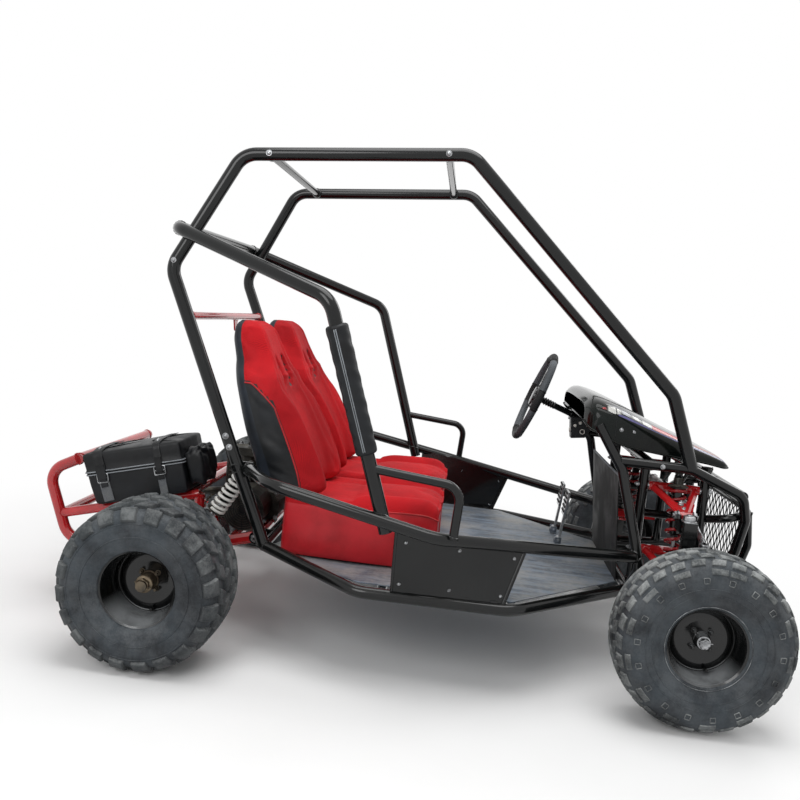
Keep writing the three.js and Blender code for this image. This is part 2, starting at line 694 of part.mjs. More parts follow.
// Switch box under the dash: a five-sided housing on a strap from the dash bar, with one push button
const switchBox = { width: 84, height: 78, depth: 46, y: 130 };
const switchBoxShares = [[0.2, 0], [0.75, 0.08], [1, 0.55], [0.8, 1], [0.1, 0.9]];
const buttonDiameter = 18;
const buttonHeight = 9;
const buttonSeat = 4;
const buttonShare = 0.62;
const dash = place(uprightShares[0]);
const switchFoot = point(dash.x - switchBox.width * 0.4, switchBox.y, dash.z - barTube / 2 - switchBox.height * 1.15);
function switchFace() {
  const [u, v] = switchBoxShares[4].map((share, i) => share * [switchBox.width, switchBox.height][i]);
  const [s, t] = switchBoxShares[0].map((share, i) => share * [switchBox.width, switchBox.height][i]);
  const top = switchFoot.clone().add(point(u, 0, v));
  const low = switchFoot.clone().add(point(s, 0, t));
  const along = low.clone().sub(top).normalize();
  const normal = along.clone().cross(alongY).normalize();
  return { top, low, normal: normal.x > 0 ? normal.negate() : normal };
}

function switchHousing() {
  const outline = switchBoxShares.map(([a, b]) => [a * switchBox.width, b * switchBox.height]);
  const corner = switchFoot.clone().add(point(0, switchBox.depth, 0));
  const body = plate(outline, corner, alongX, alongZ, switchBox.depth);
  const face = switchFace();
  const at = face.top.clone().lerp(face.low, buttonShare).add(point(0, switchBox.depth / 2, 0));
  const well = rod(at.clone().addScaledVector(face.normal, cutOverrun), at.clone().addScaledVector(face.normal,
    -buttonHeight), boreFor(buttonDiameter));
  const strapX = dash.x - plateThickness / 2;
  const strap = box(point(strapX, switchBox.y + plateThickness, switchFoot.z + switchBox.height / 2),
    point(strapX + plateThickness, switchBox.y + switchBox.depth - plateThickness, dash.z - barTube / 2 + plateThickness));
  return cut(join(body, strap), well, acrossAt(uprightShares[0], barTube + 2 * fitGap));
}
add('switch_box', switchHousing(), 'blackPlastic');

function startButton() {
  const face = switchFace();
  const at = face.top.clone().lerp(face.low, buttonShare).add(point(0, switchBox.depth / 2, 0));
  const base = at.clone().addScaledVector(face.normal, buttonSeat - buttonHeight);
  const radius = buttonDiameter / 2;
  return revolve([[0, 0], [radius, 0], [radius, buttonHeight - 1.5], [radius - 1.5, buttonHeight], [0, buttonHeight]],
    base, face.normal, pinSides);
}
add('start_button', startButton(), 'buttonPlastic');

// Seats: rings from the foot up (height, rear, depth, half width), as shares of the seat's sizes
const seat = { y: 222, halfWidth: 200, backHeight: 490, backDepth: 222, baseLength: 462, baseTop: 456, crown: 30 };
const seatBackRingShares = [[0, 0.62, 0.86, 0.84], [0.06, 0.6, 0.95, 0.95], [0.3, 0.36, 0.95, 1], [0.5, 0.2, 0.82, 0.98],
  [0.66, 0.08, 0.68, 0.86], [0.76, 0.02, 0.6, 0.62], [0.88, -0.06, 0.52, 0.54], [0.96, -0.06, 0.42, 0.46],
  [1, 0, 0.24, 0.3]];
const seatBackCrossShares = [[-0.7, 0], [-0.97, 0.16], [-1, 0.62], [-0.9, 0.96], [-0.72, 1], [-0.55, 0.84], [-0.3, 0.76],
  [0, 0.74], [0.3, 0.76], [0.55, 0.84], [0.72, 1], [0.9, 0.96], [1, 0.62], [0.97, 0.16], [0.7, 0]];
const seatBaseRingShares = [[0, 0.86, 0.83, 0], [0.03, 0.95, 0.86, 0], [0.42, 1, 0.86, 0], [0.5, 1, 0.9, 1], [0.75, 1, 0.94, 1],
  [0.93, 0.98, 0.97, 0.9], [0.98, 0.93, 0.9, 0.6], [1, 0.84, 0.8, 0.3]];
const seatBaseCrossShares = [[-0.92, 0, 0], [-1, 0.1, 0], [-1, 0.8, 0], [-0.92, 0.97, 0.1], [-0.75, 1, 0.5], [-0.6, 0.95, 0.1],
  [-0.3, 0.97, 0.3], [0, 0.98, 0.4], [0.3, 0.97, 0.3], [0.6, 0.95, 0.1], [0.75, 1, 0.5], [0.92, 0.97, 0.1], [1, 0.8, 0],
  [1, 0.1, 0], [0.92, 0, 0]];
const seatRearX = rearAxleX + 92;
const seatBaseX = rearAxleX + 300;
const slot = { width: 16, height: 70, depth: 14, spacing: 62, heightShare: 0.7, lean: 0.16 };
const panTop = panFoot + panThickness + panRibHeight;

function seatBack(sign) {
  const rings = seatBackRingShares.map(([up, rear, depth, wide]) => seatBackCrossShares.map(([y, x]) => point(
    seatRearX + rear * seat.backDepth * 0.9 + x * depth * seat.backDepth,
    sign * seat.y + y * wide * seat.halfWidth,
    seat.baseTop + fitGap + up * seat.backHeight)));
  const solid = loft(rings);
  const faceX = seatRearX + seat.backDepth * 0.6;
  const slots = [-1, 1].map((end) => {
    const z = seat.baseTop + slot.heightShare * seat.backHeight;
    const y = sign * seat.y + end * slot.spacing / 2;
    const lens = rod(point(faceX, y, z), point(faceX + seat.backDepth, y, z), slot.width, 8);
    return lens.translate([-faceX, -y, -z]).scale([1, 1, slot.height / slot.width]).translate([
      seatRearX + slot.depth + seat.backDepth * 0.35, y, z]);
  });
  return cut(solid, ...slots);
}

function seatBase(sign) {
  const foot = panTop + fitGap;
  const height = seat.baseTop - foot;
  const rings = seatBaseRingShares.map(([along, wide, tall, crowned]) => seatBaseCrossShares.map(([y, z, rise]) => point(
    seatBaseX + along * seat.baseLength,
    sign * seat.y + y * wide * (seat.halfWidth - fitGap),
    foot + z * (height * (crowned ? 1.1 : 1) * (crowned ? tall : 1)) + rise * crowned * seat.crown)));
  return loft(rings);
}
sides.forEach(({ tag, sign }) => {
  add(`seat_back_${tag}`, seatBack(sign), 'redFabric');
  add(`seat_base_${tag}`, seatBase(sign), 'redFabric');
});

// Steering: wheel and hub, column, sliding rack with a fork at each end, and the tie rods
const hubDiameter = 90;
const hubThickness = 10;
const spokeWidth = 34;
const spokeThickness = 4;
const spokeAngles = [Math.PI / 2, -Math.PI / 2, Math.PI];
function steeringWheel() {
  const ring = new THREE.TorusGeometry(wheelRimDiameter / 2 - wheelGripDiameter / 2, wheelGripDiameter / 2, 6, 20);
  const hub = revolve([[0, 0], [hubDiameter / 2, 0], [hubDiameter / 2, hubThickness], [hubDiameter / 3, hubThickness * 2],
    [0, hubThickness * 2]], point(0, 0, -hubThickness), alongZ, pinSides);
  const reach = wheelRimDiameter / 2 - wheelGripDiameter / 2;
  const spokes = spokeAngles.map((angle) => {
    const outline = [[hubDiameter / 4, -spokeWidth / 2], [reach, -spokeWidth / 3], [reach, spokeWidth / 3],
      [hubDiameter / 4, spokeWidth / 2]];
    const hole = [[hubDiameter * 0.62, -spokeWidth / 6], [hubDiameter, -spokeWidth / 6], [hubDiameter, spokeWidth / 6],
      [hubDiameter * 0.62, spokeWidth / 6]];
    const u = point(Math.cos(angle), Math.sin(angle), 0);
    const v = point(-Math.sin(angle), Math.cos(angle), 0);
    return plate(outline, point(0, 0, -spokeThickness / 2), u, v, spokeThickness, [hole]);
  });
  const solid = join(toSolid(ring), hub, ...spokes);
  const turn = new THREE.Matrix4().makeBasis(point(columnAxis.z, 0, -columnAxis.x).negate(), alongY.clone(),
    columnAxis.clone().negate());
  turn.setPosition(steeringCentre);
  return solid.transform(turn.elements);
}
add('steering_wheel', steeringWheel(), 'blackPlastic');

function steeringColumn() {
  const start = steeringCentre.clone().addScaledVector(columnAxis, hubThickness + fitGap);
  const radius = columnDiameter / 2;
  const reach = columnLength - hubThickness - fitGap;
  const profile = [[0, 0], [radius * 2, 0], [radius * 2, plateThickness], [radius, radius * 2], [radius, reach], [0, reach]];
  return revolve(profile, start, columnAxis, pinSides);
}
add('steering_column', steeringColumn(), 'blackPaint');

const rackEye = 24;
const rackEyeWidth = 14;
const forkCheek = 4;
const tieRodDiameter = 14;
const tieRodX = kingpinX + rackX;
const tieRodInnerY = wishboneInnerY;
const wishboneOuterY = 425;
const wishboneReach = wishboneOuterY - wishboneInnerY;
const dropPerReach = wishboneDrop / wishboneReach;
const tieRodOuterZ = rackZ - (kingpinY - tieRodInnerY) * dropPerReach;
function steeringRack() {
  const bar = rod(point(tieRodX, -rackHalf, rackZ), point(tieRodX, rackHalf, rackZ), rackDiameter, pinSides);
  const forks = sides.flatMap(({ sign }) => [-1, 1].map((end) => {
    const near = rackEyeWidth / 2 + fitGap;
    const low = Math.min(end * near, end * (near + forkCheek));
    const ys = [sign * (rackHalf - forkCheek), sign * (tieRodInnerY + rackEye / 2)].sort((a, b) => a - b);
    return box(point(tieRodX + low, ys[0], rackZ - rackEye / 2), point(tieRodX + low + forkCheek, ys[1],
      rackZ + rackEye / 2));
  }));
  return join(bar, ...forks);
}
add('steering_rack', steeringRack(), 'zincSteel');

const studDiameter = 8;
const studSlack = 4;
const tieEye = 28;
const tieEyeHeight = 10;
const tieEyeGap = 2.4;
function tieRod(sign) {
  const inner = point(tieRodX, sign * tieRodInnerY, rackZ);
  const outer = point(tieRodX, sign * kingpinY, tieRodOuterZ);
  const half = point(rackEyeWidth / 2, 0, 0);
  const innerEye = rod(inner.clone().sub(half), inner.clone().add(half), rackEye, pinSides);
  const lift = point(0, 0, tieEyeHeight / 2);
  const outerEye = rod(outer.clone().sub(lift), outer.clone().add(lift), tieEye, pinSides);
  const bore = rod(outer.clone().addScaledVector(lift, -2), outer.clone().addScaledVector(lift, 2),
    studDiameter + 2 * studSlack, pinSides);
  return cut(join(innerEye, outerEye, rod(inner, outer, tieRodDiameter, 8)), bore);
}
sides.forEach(({ tag, sign }) => add(`tie_rod_${tag}`, tieRod(sign), 'zincSteel'));

// Double wishbones: inner bush between the towers, two legs, outer bush with a bore for the carrier's bolt
const bushDiameter = 28;
const outerBush = 26;
const outerBushLength = 34;
const gussetThickness = 4;
const gussetShares = [0.56, 0.9];
const shockEye = 26;
const shockSlack = 2;
function wishbone(sign, innerZ, upper) {
  const inner = point(kingpinX, sign * wishboneInnerY, innerZ);
  const outer = point(kingpinX, sign * wishboneOuterY, innerZ - wishboneDrop);
  const across = point(wishboneSpan / 2, 0, 0);
  const narrow = point(outerBushLength / 2, 0, 0);
  const bush = rod(inner.clone().sub(across), inner.clone().add(across), bushDiameter, pinSides);
  const eye = rod(outer.clone().sub(narrow), outer.clone().add(narrow), outerBush, pinSides);
  const inset = wishboneTube / 2;
  const legs = [-1, 1].map((end) => rod(inner.clone().add(point(end * (wishboneSpan / 2 - inset), 0, 0)),
    outer, wishboneTube));
  const bore = rod(outer.clone().addScaledVector(narrow, -2), outer.clone().addScaledVector(narrow, 2),
    boreFor(hubBolt));
  const pinBore = rod(inner.clone().addScaledVector(across, 2), inner.clone().addScaledVector(across, -2),
    boreFor(wishbonePin));
  const extra = upper ? wishboneGusset(inner, outer) : wishboneShockBolt(inner, outer);
  return cut(join(bush, eye, ...legs, extra), bore, pinBore);
}

function wishboneGusset(inner, outer) {
  const lift = point(0, 0, gussetThickness / 2);
  const edge = (share, end) => {
    const half = wishboneSpan / 2 - share * (wishboneSpan - outerBushLength) / 2;
    return inner.clone().lerp(outer, share).add(point(end * half, 0, 0)).add(lift);
  };
  const [from, to] = gussetShares;
  const corners = [edge(from, -1), edge(from, 1), edge(to, 1), edge(to, -1)];
  return sheet(outer.y > 0 ? corners : corners.reverse(), gussetThickness);
}

function wishboneShockBolt(inner, outer) {
  const share = (frontShockY - wishboneInnerY) / wishboneReach;
  const at = inner.clone().lerp(outer, share);
  const half = point(wishboneSpan / 2 - share * (wishboneSpan - outerBushLength) / 2, 0, 0);
  return rod(at.clone().sub(half), at.clone().add(half), shockBolt, pinSides);
}

// Kingpin carrier: a sleeve with two pairs of ears whose bolts pass through the wishbones' outer bushes
const sleeveDiameter = 32;
const lowerPivotZ = upperPivotZ - wishboneSpacing;
const sleeveTop = upperPivotZ - wishboneDrop - 12;
const sleeveFoot = lowerPivotZ - wishboneDrop + 8;
const earThickness = 6;
const knucklePlate = 8;
const knuckleWeb = 10;
const knuckleHalfWidth = 18;
const webGap = 3.5;
const earInnerX = outerBushLength / 2 + fitGap;

function carrierEars(sign, pivotZ, sleeveEnd, inward) {
  const axisY = sign * kingpinY;
  const pivot = point(kingpinX, sign * wishboneOuterY, pivotZ);
  const out = point(earInnerX + earThickness, 0, 0);
  const bolt = rod(pivot.clone().sub(out), pivot.clone().add(out), hubBolt, pinSides);
  const rootZ = sleeveEnd + inward * outerBush;
  const cheeks = [-1, 1].map((end) => block(
    point(kingpinX + end * earInnerX, pivot.y - sign * outerBush / 2, pivotZ - inward * outerBush / 3),
    point(kingpinX + end * (earInnerX + earThickness), axisY, rootZ)));
  const bridge = block(point(kingpinX - earInnerX - earThickness, axisY - sign * sleeveDiameter / 2,
    rootZ - inward * earThickness), point(kingpinX + earInnerX + earThickness, axisY, rootZ));
  return [bolt, bridge, ...cheeks];
}

function carrier(sign) {
  const axisY = sign * kingpinY;
  const at = (z) => point(kingpinX, axisY, z);
  const sleeve = rod(at(sleeveFoot), at(sleeveTop), sleeveDiameter, pinSides);
  const bore = rod(at(sleeveFoot - cutOverrun), at(sleeveTop + cutOverrun), boreFor(kingpinDiameter));
  const ears = [...carrierEars(sign, upperPivotZ - wishboneDrop, sleeveTop, -1),
    ...carrierEars(sign, lowerPivotZ - wishboneDrop, sleeveFoot, 1)];
  const turning = 2 * Math.hypot(knuckleHalfWidth, sleeveDiameter / 2) + webGap;
  const clear = [rod(at(sleeveTop), at(sleeveTop + 2 * outerBush), turning, 16),
    rod(at(sleeveFoot - 2 * outerBush), at(sleeveFoot), turning, 16)];
  return cut(join(sleeve, ...ears), bore, ...clear);
}

function frontSuspension({ tag, sign }) {
  add(`upper_wishbone_${tag}`, wishbone(sign, upperPivotZ, true), 'redPaint');
  add(`lower_wishbone_${tag}`, wishbone(sign, lowerPivotZ, false), 'redPaint');
  add(`kingpin_carrier_${tag}`, carrier(sign), 'redPaint');
}
sides.forEach(frontSuspension);

// Steering knuckle: kingpin, two plates, web, spindle with its nut, and the steering arm with a stud
const spindleDiameter = 20;
const spindleNut = 32;
const nutHeight = 14;
const nutSides = 6;
const frontHub = { diameter: 52, inner: 78, outer: 26 };
const washerGap = 0.5;
const armThickness = 8;
const armHalfWidth = 12;
const webInnerY = kingpinY + sleeveDiameter / 2 + webGap;
const webOuterY = webInnerY + knuckleWeb;
function knuckle(sign) {
  const axisY = sign * kingpinY;
  const top = sleeveTop + fitGap;
  const foot = sleeveFoot - fitGap;
  const pin = rod(point(kingpinX, axisY, foot - knucklePlate), point(kingpinX, axisY, top + knucklePlate),
    kingpinDiameter, pinSides);
  const nut = rod(point(kingpinX, axisY, top), point(kingpinX, axisY, top + knucklePlate + nutHeight),
    kingpinDiameter * 1.4, nutSides);
  const inner = axisY - sign * sleeveDiameter / 2;
  const plates = [[top, top + knucklePlate], [foot - knucklePlate, foot]].map(([low, high]) => block(
    point(kingpinX - knuckleHalfWidth, inner, low), point(kingpinX + knuckleHalfWidth, sign * webOuterY, high)));
  const web = block(point(kingpinX - knuckleHalfWidth, sign * webInnerY, front.z - spindleDiameter),
    point(kingpinX + knuckleHalfWidth, sign * webOuterY, top + knucklePlate));
  const cheek = block(point(kingpinX, sign * webInnerY, front.z - spindleDiameter),
    point(frontAxleX + spindleDiameter, sign * webOuterY, front.z + spindleDiameter));
  const spindleEnd = front.y + frontHub.outer + washerGap + nutHeight;
  const spindle = rod(point(frontAxleX, sign * webInnerY, front.z), point(frontAxleX, sign * spindleEnd, front.z),
    spindleDiameter, rimSegments);
  const endNut = rod(point(frontAxleX, sign * (spindleEnd - nutHeight), front.z),
    point(frontAxleX, sign * (spindleEnd - nutHeight * 0.2), front.z), spindleNut, nutSides);
  const armTop = tieRodOuterZ - tieEyeHeight / 2 - tieEyeGap;
  const armEnd = point(tieRodX + armHalfWidth, axisY - sign * armHalfWidth, armTop - armThickness);
  const arm = block(armEnd, point(tieRodX - armHalfWidth, sign * webOuterY, armTop));
  const root = block(point(kingpinX, sign * webInnerY, armTop - armThickness),
    point(tieRodX, sign * webOuterY, armTop));
  const stud = rod(point(tieRodX, axisY, armTop - armThickness), point(tieRodX, axisY, tieRodOuterZ + tieEyeHeight),
    studDiameter, 8);
  return join(pin, nut, ...plates, web, cheek, spindle, endNut, arm, root, stud);
}

// A pressed steel rim: lips, barrel, dished disc and hub, revolved about the wheel's axis
function rimProfile(width, discAt, hub) {
  const bead = rimDiameter / 2;
  const lip = bead + rimLip;
  const half = width / 2;
  const inside = bead - rimWall;
  const hubRadius = hub.diameter / 2;
  const dish = rimWall * 4;
  return [[hub.bore, -hub.inner], [hubRadius, -hub.inner], [hubRadius, discAt - rimWall],
    [inside, discAt - rimWall - dish], [inside, rimWall - half], [lip, -half], [bead, rimWall * 2 - half],
    [bead, half - rimWall * 2], [lip, half], [inside, half - rimWall], [inside, discAt - dish], [hubRadius, discAt],
    [hubRadius, hub.outer], [hub.bore, hub.outer]];
}

const rimSegments = 16;
const frontRim = { width: 146, discAt: -6 };
const rearRim = { width: 200, discAt: -8 };
const studCircle = 62;
const wheelStud = 14;
const studReach = 16;
const wheelStuds = 4;
function wheelStudsAt(centre, sign, discAt) {
  return Array.from({ length: wheelStuds }, (unused, i) => {
    const angle = (2 * Math.PI * (i + 0.5)) / wheelStuds;
    const at = centre.clone().add(point(studCircle / 2 * Math.cos(angle), sign * (discAt - rimWall),
      studCircle / 2 * Math.sin(angle)));
    return rod(at, at.clone().add(point(0, sign * studReach, 0)), wheelStud, nutSides);
  });
}

function frontRimSolid(sign) {
  const centre = point(frontAxleX, sign * front.y, front.z);
  const hub = { ...frontHub, bore: boreFor(spindleDiameter, rimSegments) / 2 };
  return revolve(rimProfile(frontRim.width, frontRim.discAt, hub), centre, point(0, sign, 0), rimSegments);
}

// A tyre with shoulder lugs: rings round the wheel, each turned by half a lug on the other side
const lugLengthShare = 0.48;
const lugStepShares = [0, 0.1, 0.1 + lugLengthShare, 0.2 + lugLengthShare];
function tyreSection(spec, rim, raised) {
  const bead = (rimDiameter / 2 + fitGap) / Math.cos(Math.PI * lugLengthShare / lugCount);
  const beadHalf = rim.width / 2 - rimWall * 2 - fitGap;
  const half = spec.width / 2;
  const out = spec.radius;
  const side = rimDiameter / 2 + rimLip;
  const groove = (left) => (raised[left ? 0 : 1] ? 0 : lugDepth);
  const row = (share, drop, inward, left) => [out * share - drop * groove(left), (left ? -1 : 1) * half * inward];
  const wall = (left) => [row(0.88, 0.5, 0.98, left), row(0.975, 1, 0.83, left),
    row(1, 1, 0.42, left)];
  const lower = (left) => {
    const s = left ? -1 : 1;
    return [[bead, s * beadHalf], [(side + out) / 2, s * half]];
  };
  return [...lower(true), ...wall(true), [out * (1 - tyreCrownShare), 0],
    ...wall(false).reverse(), ...lower(false).reverse()];
}

function tyre(spec, rim, centre) {
  const rings = [];
  for (let lug = 0; lug < lugCount; lug += 1) {
    lugStepShares.forEach((share, step) => {
      const raisedLeft = step === 1 || step === 2;
      const section = tyreSection(spec, rim, [raisedLeft, !raisedLeft]);
      const angle = (2 * Math.PI * (lug + share)) / lugCount;
      rings.push(section.map(([radius, along]) => point(centre.x + radius * Math.cos(angle), centre.y + along,
        centre.z + radius * Math.sin(angle))));
    });
  }
  return ringSolid(rings);
}

// Rings joined end to end in a closed loop
function ringSolid(rings) {
  const steps = rings[0].length;
  const count = rings.length;
  const faces = [];
  for (let ring = 0; ring < count; ring += 1) {
    for (let i = 0; i < steps; i += 1) {
      const next = (ring + 1) % count;
      const [a, b] = [ring * steps + i, ring * steps + (i + 1) % steps];
      const [c, d] = [next * steps + i, next * steps + (i + 1) % steps];
      faces.push(a, b, d, a, d, c);
    }
  }
  const geometry = new THREE.BufferGeometry();
  const values = rings.flat().flatMap((p) => p.toArray());
  geometry.setAttribute('position', new THREE.BufferAttribute(new Float32Array(values), 3));
  geometry.setIndex(faces);
  const solid = toSolid(geometry);
  return solid.volume() < 0 ? toSolid(geometry.setIndex(faces.reverse())) : solid;
}

sides.forEach(({ tag, sign }) => {
  add(`steering_knuckle_${tag}`, knuckle(sign), 'blackPaint');
  add(`front_rim_${tag}`, frontRimSolid(sign), 'blackPaint');
  add(`front_tyre_${tag}`, tyre(front, frontRim, point(frontAxleX, sign * front.y, front.z)), 'tyreRubber');
});

// Live rear axle: shaft, hub flanges, both rims, brake disc and driven sprocket turn as one piece
const rearHub = { diameter: 70, inner: 60, outer: 42 };
const axleEndReach = 66;
const hubNut = 44;
const sprocket = { diameter: 190, thickness: 7, teeth: 16, toothDepth: 7, y: 130 };
const brakeDisc = { diameter: 180, thickness: 5, y: -150 };
const discHub = { diameter: 60, length: 24 };
function sprocketOutline() {
  const outline = [];
  for (let tooth = 0; tooth < sprocket.teeth; tooth += 1) {
    [[0, -1], [0.4, -1], [0.7, 0]].forEach(([share, depth]) => {
      const angle = (2 * Math.PI * (tooth + share)) / sprocket.teeth;
      const radius = sprocket.diameter / 2 + depth * sprocket.toothDepth;
      outline.push([radius * Math.cos(angle), radius * Math.sin(angle)]);
    });
  }
  return outline;
}

function rearAxle() {
  const centre = point(rearAxleX, 0, rear.z);
  const at = (y) => point(rearAxleX, y, rear.z);
  const reach = rear.y + axleEndReach;
  const shaft = rod(at(-reach), at(reach), axleDiameter, rimSegments);
  const wheels = sides.flatMap(({ sign }) => {
    const hub = { ...rearHub, bore: axleDiameter / 2 - 1 };
    const disc = revolve(rimProfile(rearRim.width, rearRim.discAt, hub), at(sign * rear.y), point(0, sign, 0), rimSegments);
    const nut = rod(at(sign * (rear.y + rearHub.outer - fitGap)), at(sign * (rear.y + rearHub.outer + nutHeight)), hubNut,
      nutSides);
    return [disc, nut, ...wheelStudsAt(at(sign * rear.y), sign, rearRim.discAt)];
  });
  const gear = plate(sprocketOutline(), centre.clone().setY(sprocket.y + sprocket.thickness / 2), alongX, alongZ,
    sprocket.thickness);
  const disc = rod(at(brakeDisc.y - brakeDisc.thickness / 2), at(brakeDisc.y + brakeDisc.thickness / 2),
    brakeDisc.diameter, rimSegments);
  const hubs = [sprocket.y, brakeDisc.y].map((y) => rod(at(y - discHub.length / 2), at(y + discHub.length / 2),
    discHub.diameter, pinSides));
  return join(shaft, ...wheels, gear, disc, ...hubs);
}
add('rear_axle', rearAxle(), 'blackPaint');
sides.forEach(({ tag, sign }) => {
  add(`rear_tyre_${tag}`, tyre(rear, rearRim, point(rearAxleX, sign * rear.y, rear.z)), 'tyreRubber');
});

// Coil-over units: a damper body with the upper collar, a rod with the lower collar, and the coil between
const shockSizes = { body: 28, rod: 10, collar: 58, collarThickness: 5, eyeBore: 12 };
const coil = { diameter: 52, wire: 8, curls: 6, stepsPerCurl: 8, wireSides: 5 };
const coilGapLimit = 0.4;
function eye(at, axis, bore) {
  const half = shockEyeWidth / 2;
  const start = at.clone().addScaledVector(axis, -half);
  return revolve([[bore / 2, 0], [shockEye / 2, 0], [shockEye / 2, shockEyeWidth], [bore / 2, shockEyeWidth]], start,
    axis, pinSides);
}

function damper(top, bottom, spec) {
  const axis = bottom.clone().sub(top).normalize();
  const { collar, collarThickness, body, rod: rodSize } = shockSizes;
  const bore = boreFor(rodSize) / 2;
  const neck = shockEye / 2 - 2;
  const start = top.clone().addScaledVector(axis, neck);
  const length = spec.bodyLength - neck;
  const boreStart = length - spec.boreDepth;
  const collarAt = spec.collarAt - neck;
  const profile = [[0, 0], [body / 2, 0], [body / 2, collarAt], [collar / 2, collarAt], [collar / 2, collarAt
    + collarThickness], [body / 2, collarAt + collarThickness], [body / 2, length], [bore, length], [bore, boreStart],
    [0, boreStart]];
  const barrel = revolve(profile, start, axis, pinSides);
  const hole = rod(top.clone().addScaledVector(spec.pin, -shockEyeWidth), top.clone().addScaledVector(spec.pin,
    shockEyeWidth), spec.topBore, pinSides);
  return cut(join(barrel, eye(top, spec.pin, spec.topBore)), hole);
}

function shockRod(top, bottom, spec) {
  const axis = top.clone().sub(bottom).normalize();
  const length = top.distanceTo(bottom);
  const { collar, collarThickness, rod: rodSize, body } = shockSizes;
  const neck = shockEye / 2 - 2;
  const rodEnd = length - spec.bodyLength + spec.engaged - neck;
  const collarAt = spec.lowerCollarAt - neck;
  const profile = [[0, 0], [rodSize, 0], [rodSize, collarAt - collarThickness], [collar / 2, collarAt - collarThickness],
    [collar / 2, collarAt], [body / 2, collarAt], [rodSize / 2, collarAt + collarThickness], [rodSize / 2, rodEnd],
    [0, rodEnd]];
  const shaft = revolve(profile, bottom.clone().addScaledVector(axis, neck), axis, pinSides);
  const hole = rod(bottom.clone().addScaledVector(spec.pin, -shockEyeWidth), bottom.clone().addScaledVector(spec.pin,
    shockEyeWidth), spec.bottomBore, pinSides);
  return cut(join(shaft, eye(bottom, spec.pin, spec.bottomBore)), hole);
}

// An unbroken coil between the collars, its end turns closed up and its ends straight for one wire
function coilSpring(start, end) {
  const axis = end.clone().sub(start).normalize();
  const length = start.distanceTo(end) - coil.wire - 2 * fitGap;
  const u = Math.abs(axis.x) < 0.9 ? alongX.clone().cross(axis).normalize() : alongY.clone().cross(axis).normalize();
  const v = axis.clone().cross(u);
  const radius = (coil.diameter - coil.wire) / 2;
  const count = coil.curls * coil.stepsPerCurl;
  const base = start.clone().addScaledVector(axis, coil.wire / 2 + fitGap);
  const centres = [];
  for (let i = 0; i <= count; i += 1) {
    const angle = (2 * Math.PI * i) / coil.stepsPerCurl;
    const rise = length * riseShare(i / count);
    centres.push(base.clone().addScaledVector(u, radius * Math.cos(angle)).addScaledVector(v, radius * Math.sin(angle))
      .addScaledVector(axis, rise));
  }
  const lead = centres[0].clone().sub(centres[1]).setLength(coil.wire);
  const tail = centres[count].clone().sub(centres[count - 1]).setLength(coil.wire);
  const points = [centres[0].clone().add(lead.projectOnPlane(axis)), ...centres,
    centres[count].clone().add(tail.projectOnPlane(axis))];
  return { solid: wireTube(points, axis), gap: leastGap(centres) };
}

const endTurnShare = 1 / coil.curls;
function riseShare(share) {
  const closed = spacing.closedShare;
  if (share < endTurnShare) return closed * (share / endTurnShare);
  if (share > 1 - endTurnShare) return 1 - closed * ((1 - share) / endTurnShare);
  return closed + (1 - 2 * closed) * (share - endTurnShare) / (1 - 2 * endTurnShare);
}
const spacing = { closedShare: 0.11 };

function wireTube(points, axis) {
  const rings = points.map((at, i) => {
    const before = points[Math.max(i - 1, 0)];
    const after = points[Math.min(i + 1, points.length - 1)];
    const along = after.clone().sub(before).normalize();
    const side = along.clone().cross(axis).normalize();
    const rise = side.clone().cross(along);
    return Array.from({ length: coil.wireSides }, (unused, k) => {
      const angle = (2 * Math.PI * k) / coil.wireSides;
      return at.clone().addScaledVector(side, coil.wire / 2 * Math.cos(angle)).addScaledVector(rise,
        coil.wire / 2 * Math.sin(angle));
    });
  });
  return loft(rings);
}

// Least gap between the wire's surface and itself, measured on points at least half a curl apart
function leastGap(centres) {
  let least = Infinity;
  centres.forEach((a, i) => centres.slice(i + coil.stepsPerCurl / 2).forEach((b) => {
    least = Math.min(least, a.distanceTo(b) - coil.wire);
  }));
  return least;
}

function coilOver(name, top, bottom, spec) {
  const axis = bottom.clone().sub(top).normalize();
  add(`${name}_damper`, damper(top, bottom, spec), 'zincSteel');
  add(`${name}_rod`, shockRod(top, bottom, spec), 'zincSteel');
  const start = top.clone().addScaledVector(axis, spec.collarAt + shockSizes.collarThickness);
  const end = bottom.clone().addScaledVector(axis, -spec.lowerCollarAt);
  const { solid, gap } = coilSpring(start, end);
  console.log(`${name}: least gap of the coil to itself ${gap.toFixed(2)} mm`);
  if (gap < coilGapLimit) throw new Error(`${name}: coil turns touch`);
  add(`${name}_spring`, solid, 'whiteSpring');
}

const frontShock = { bodyLength: 190, boreDepth: 110, engaged: 70, collarAt: 46, lowerCollarAt: 34, pin: alongX,
  topBore: boreFor(shockRail), bottomBore: shockBolt + 2 * shockSlack };
const rearShock = { bodyLength: 140, boreDepth: 86, engaged: 56, collarAt: 40, lowerCollarAt: 32, pin: alongY,
  topBore: boreFor(shockBolt), bottomBore: shockBolt + 2 * shockSlack };
const rearShockFoot = { x: 75, z: 345 };
sides.forEach(({ tag, sign }) => {
  const reach = (frontShockY - wishboneInnerY) * dropPerReach;
  coilOver(`front_shock_${tag}`, point(kingpinX, sign * frontShockTopY, shockRailZ),
    point(kingpinX, sign * frontShockY, lowerPivotZ - reach), frontShock);
  coilOver(`rear_shock_${tag}`, point(rearAxleX + rearShockTop.x, sign * rearShockTop.y, rearShockTop.z),
    point(rearAxleX + rearShockFoot.x, sign * rearShockTop.y, rearShockFoot.z), rearShock);
});

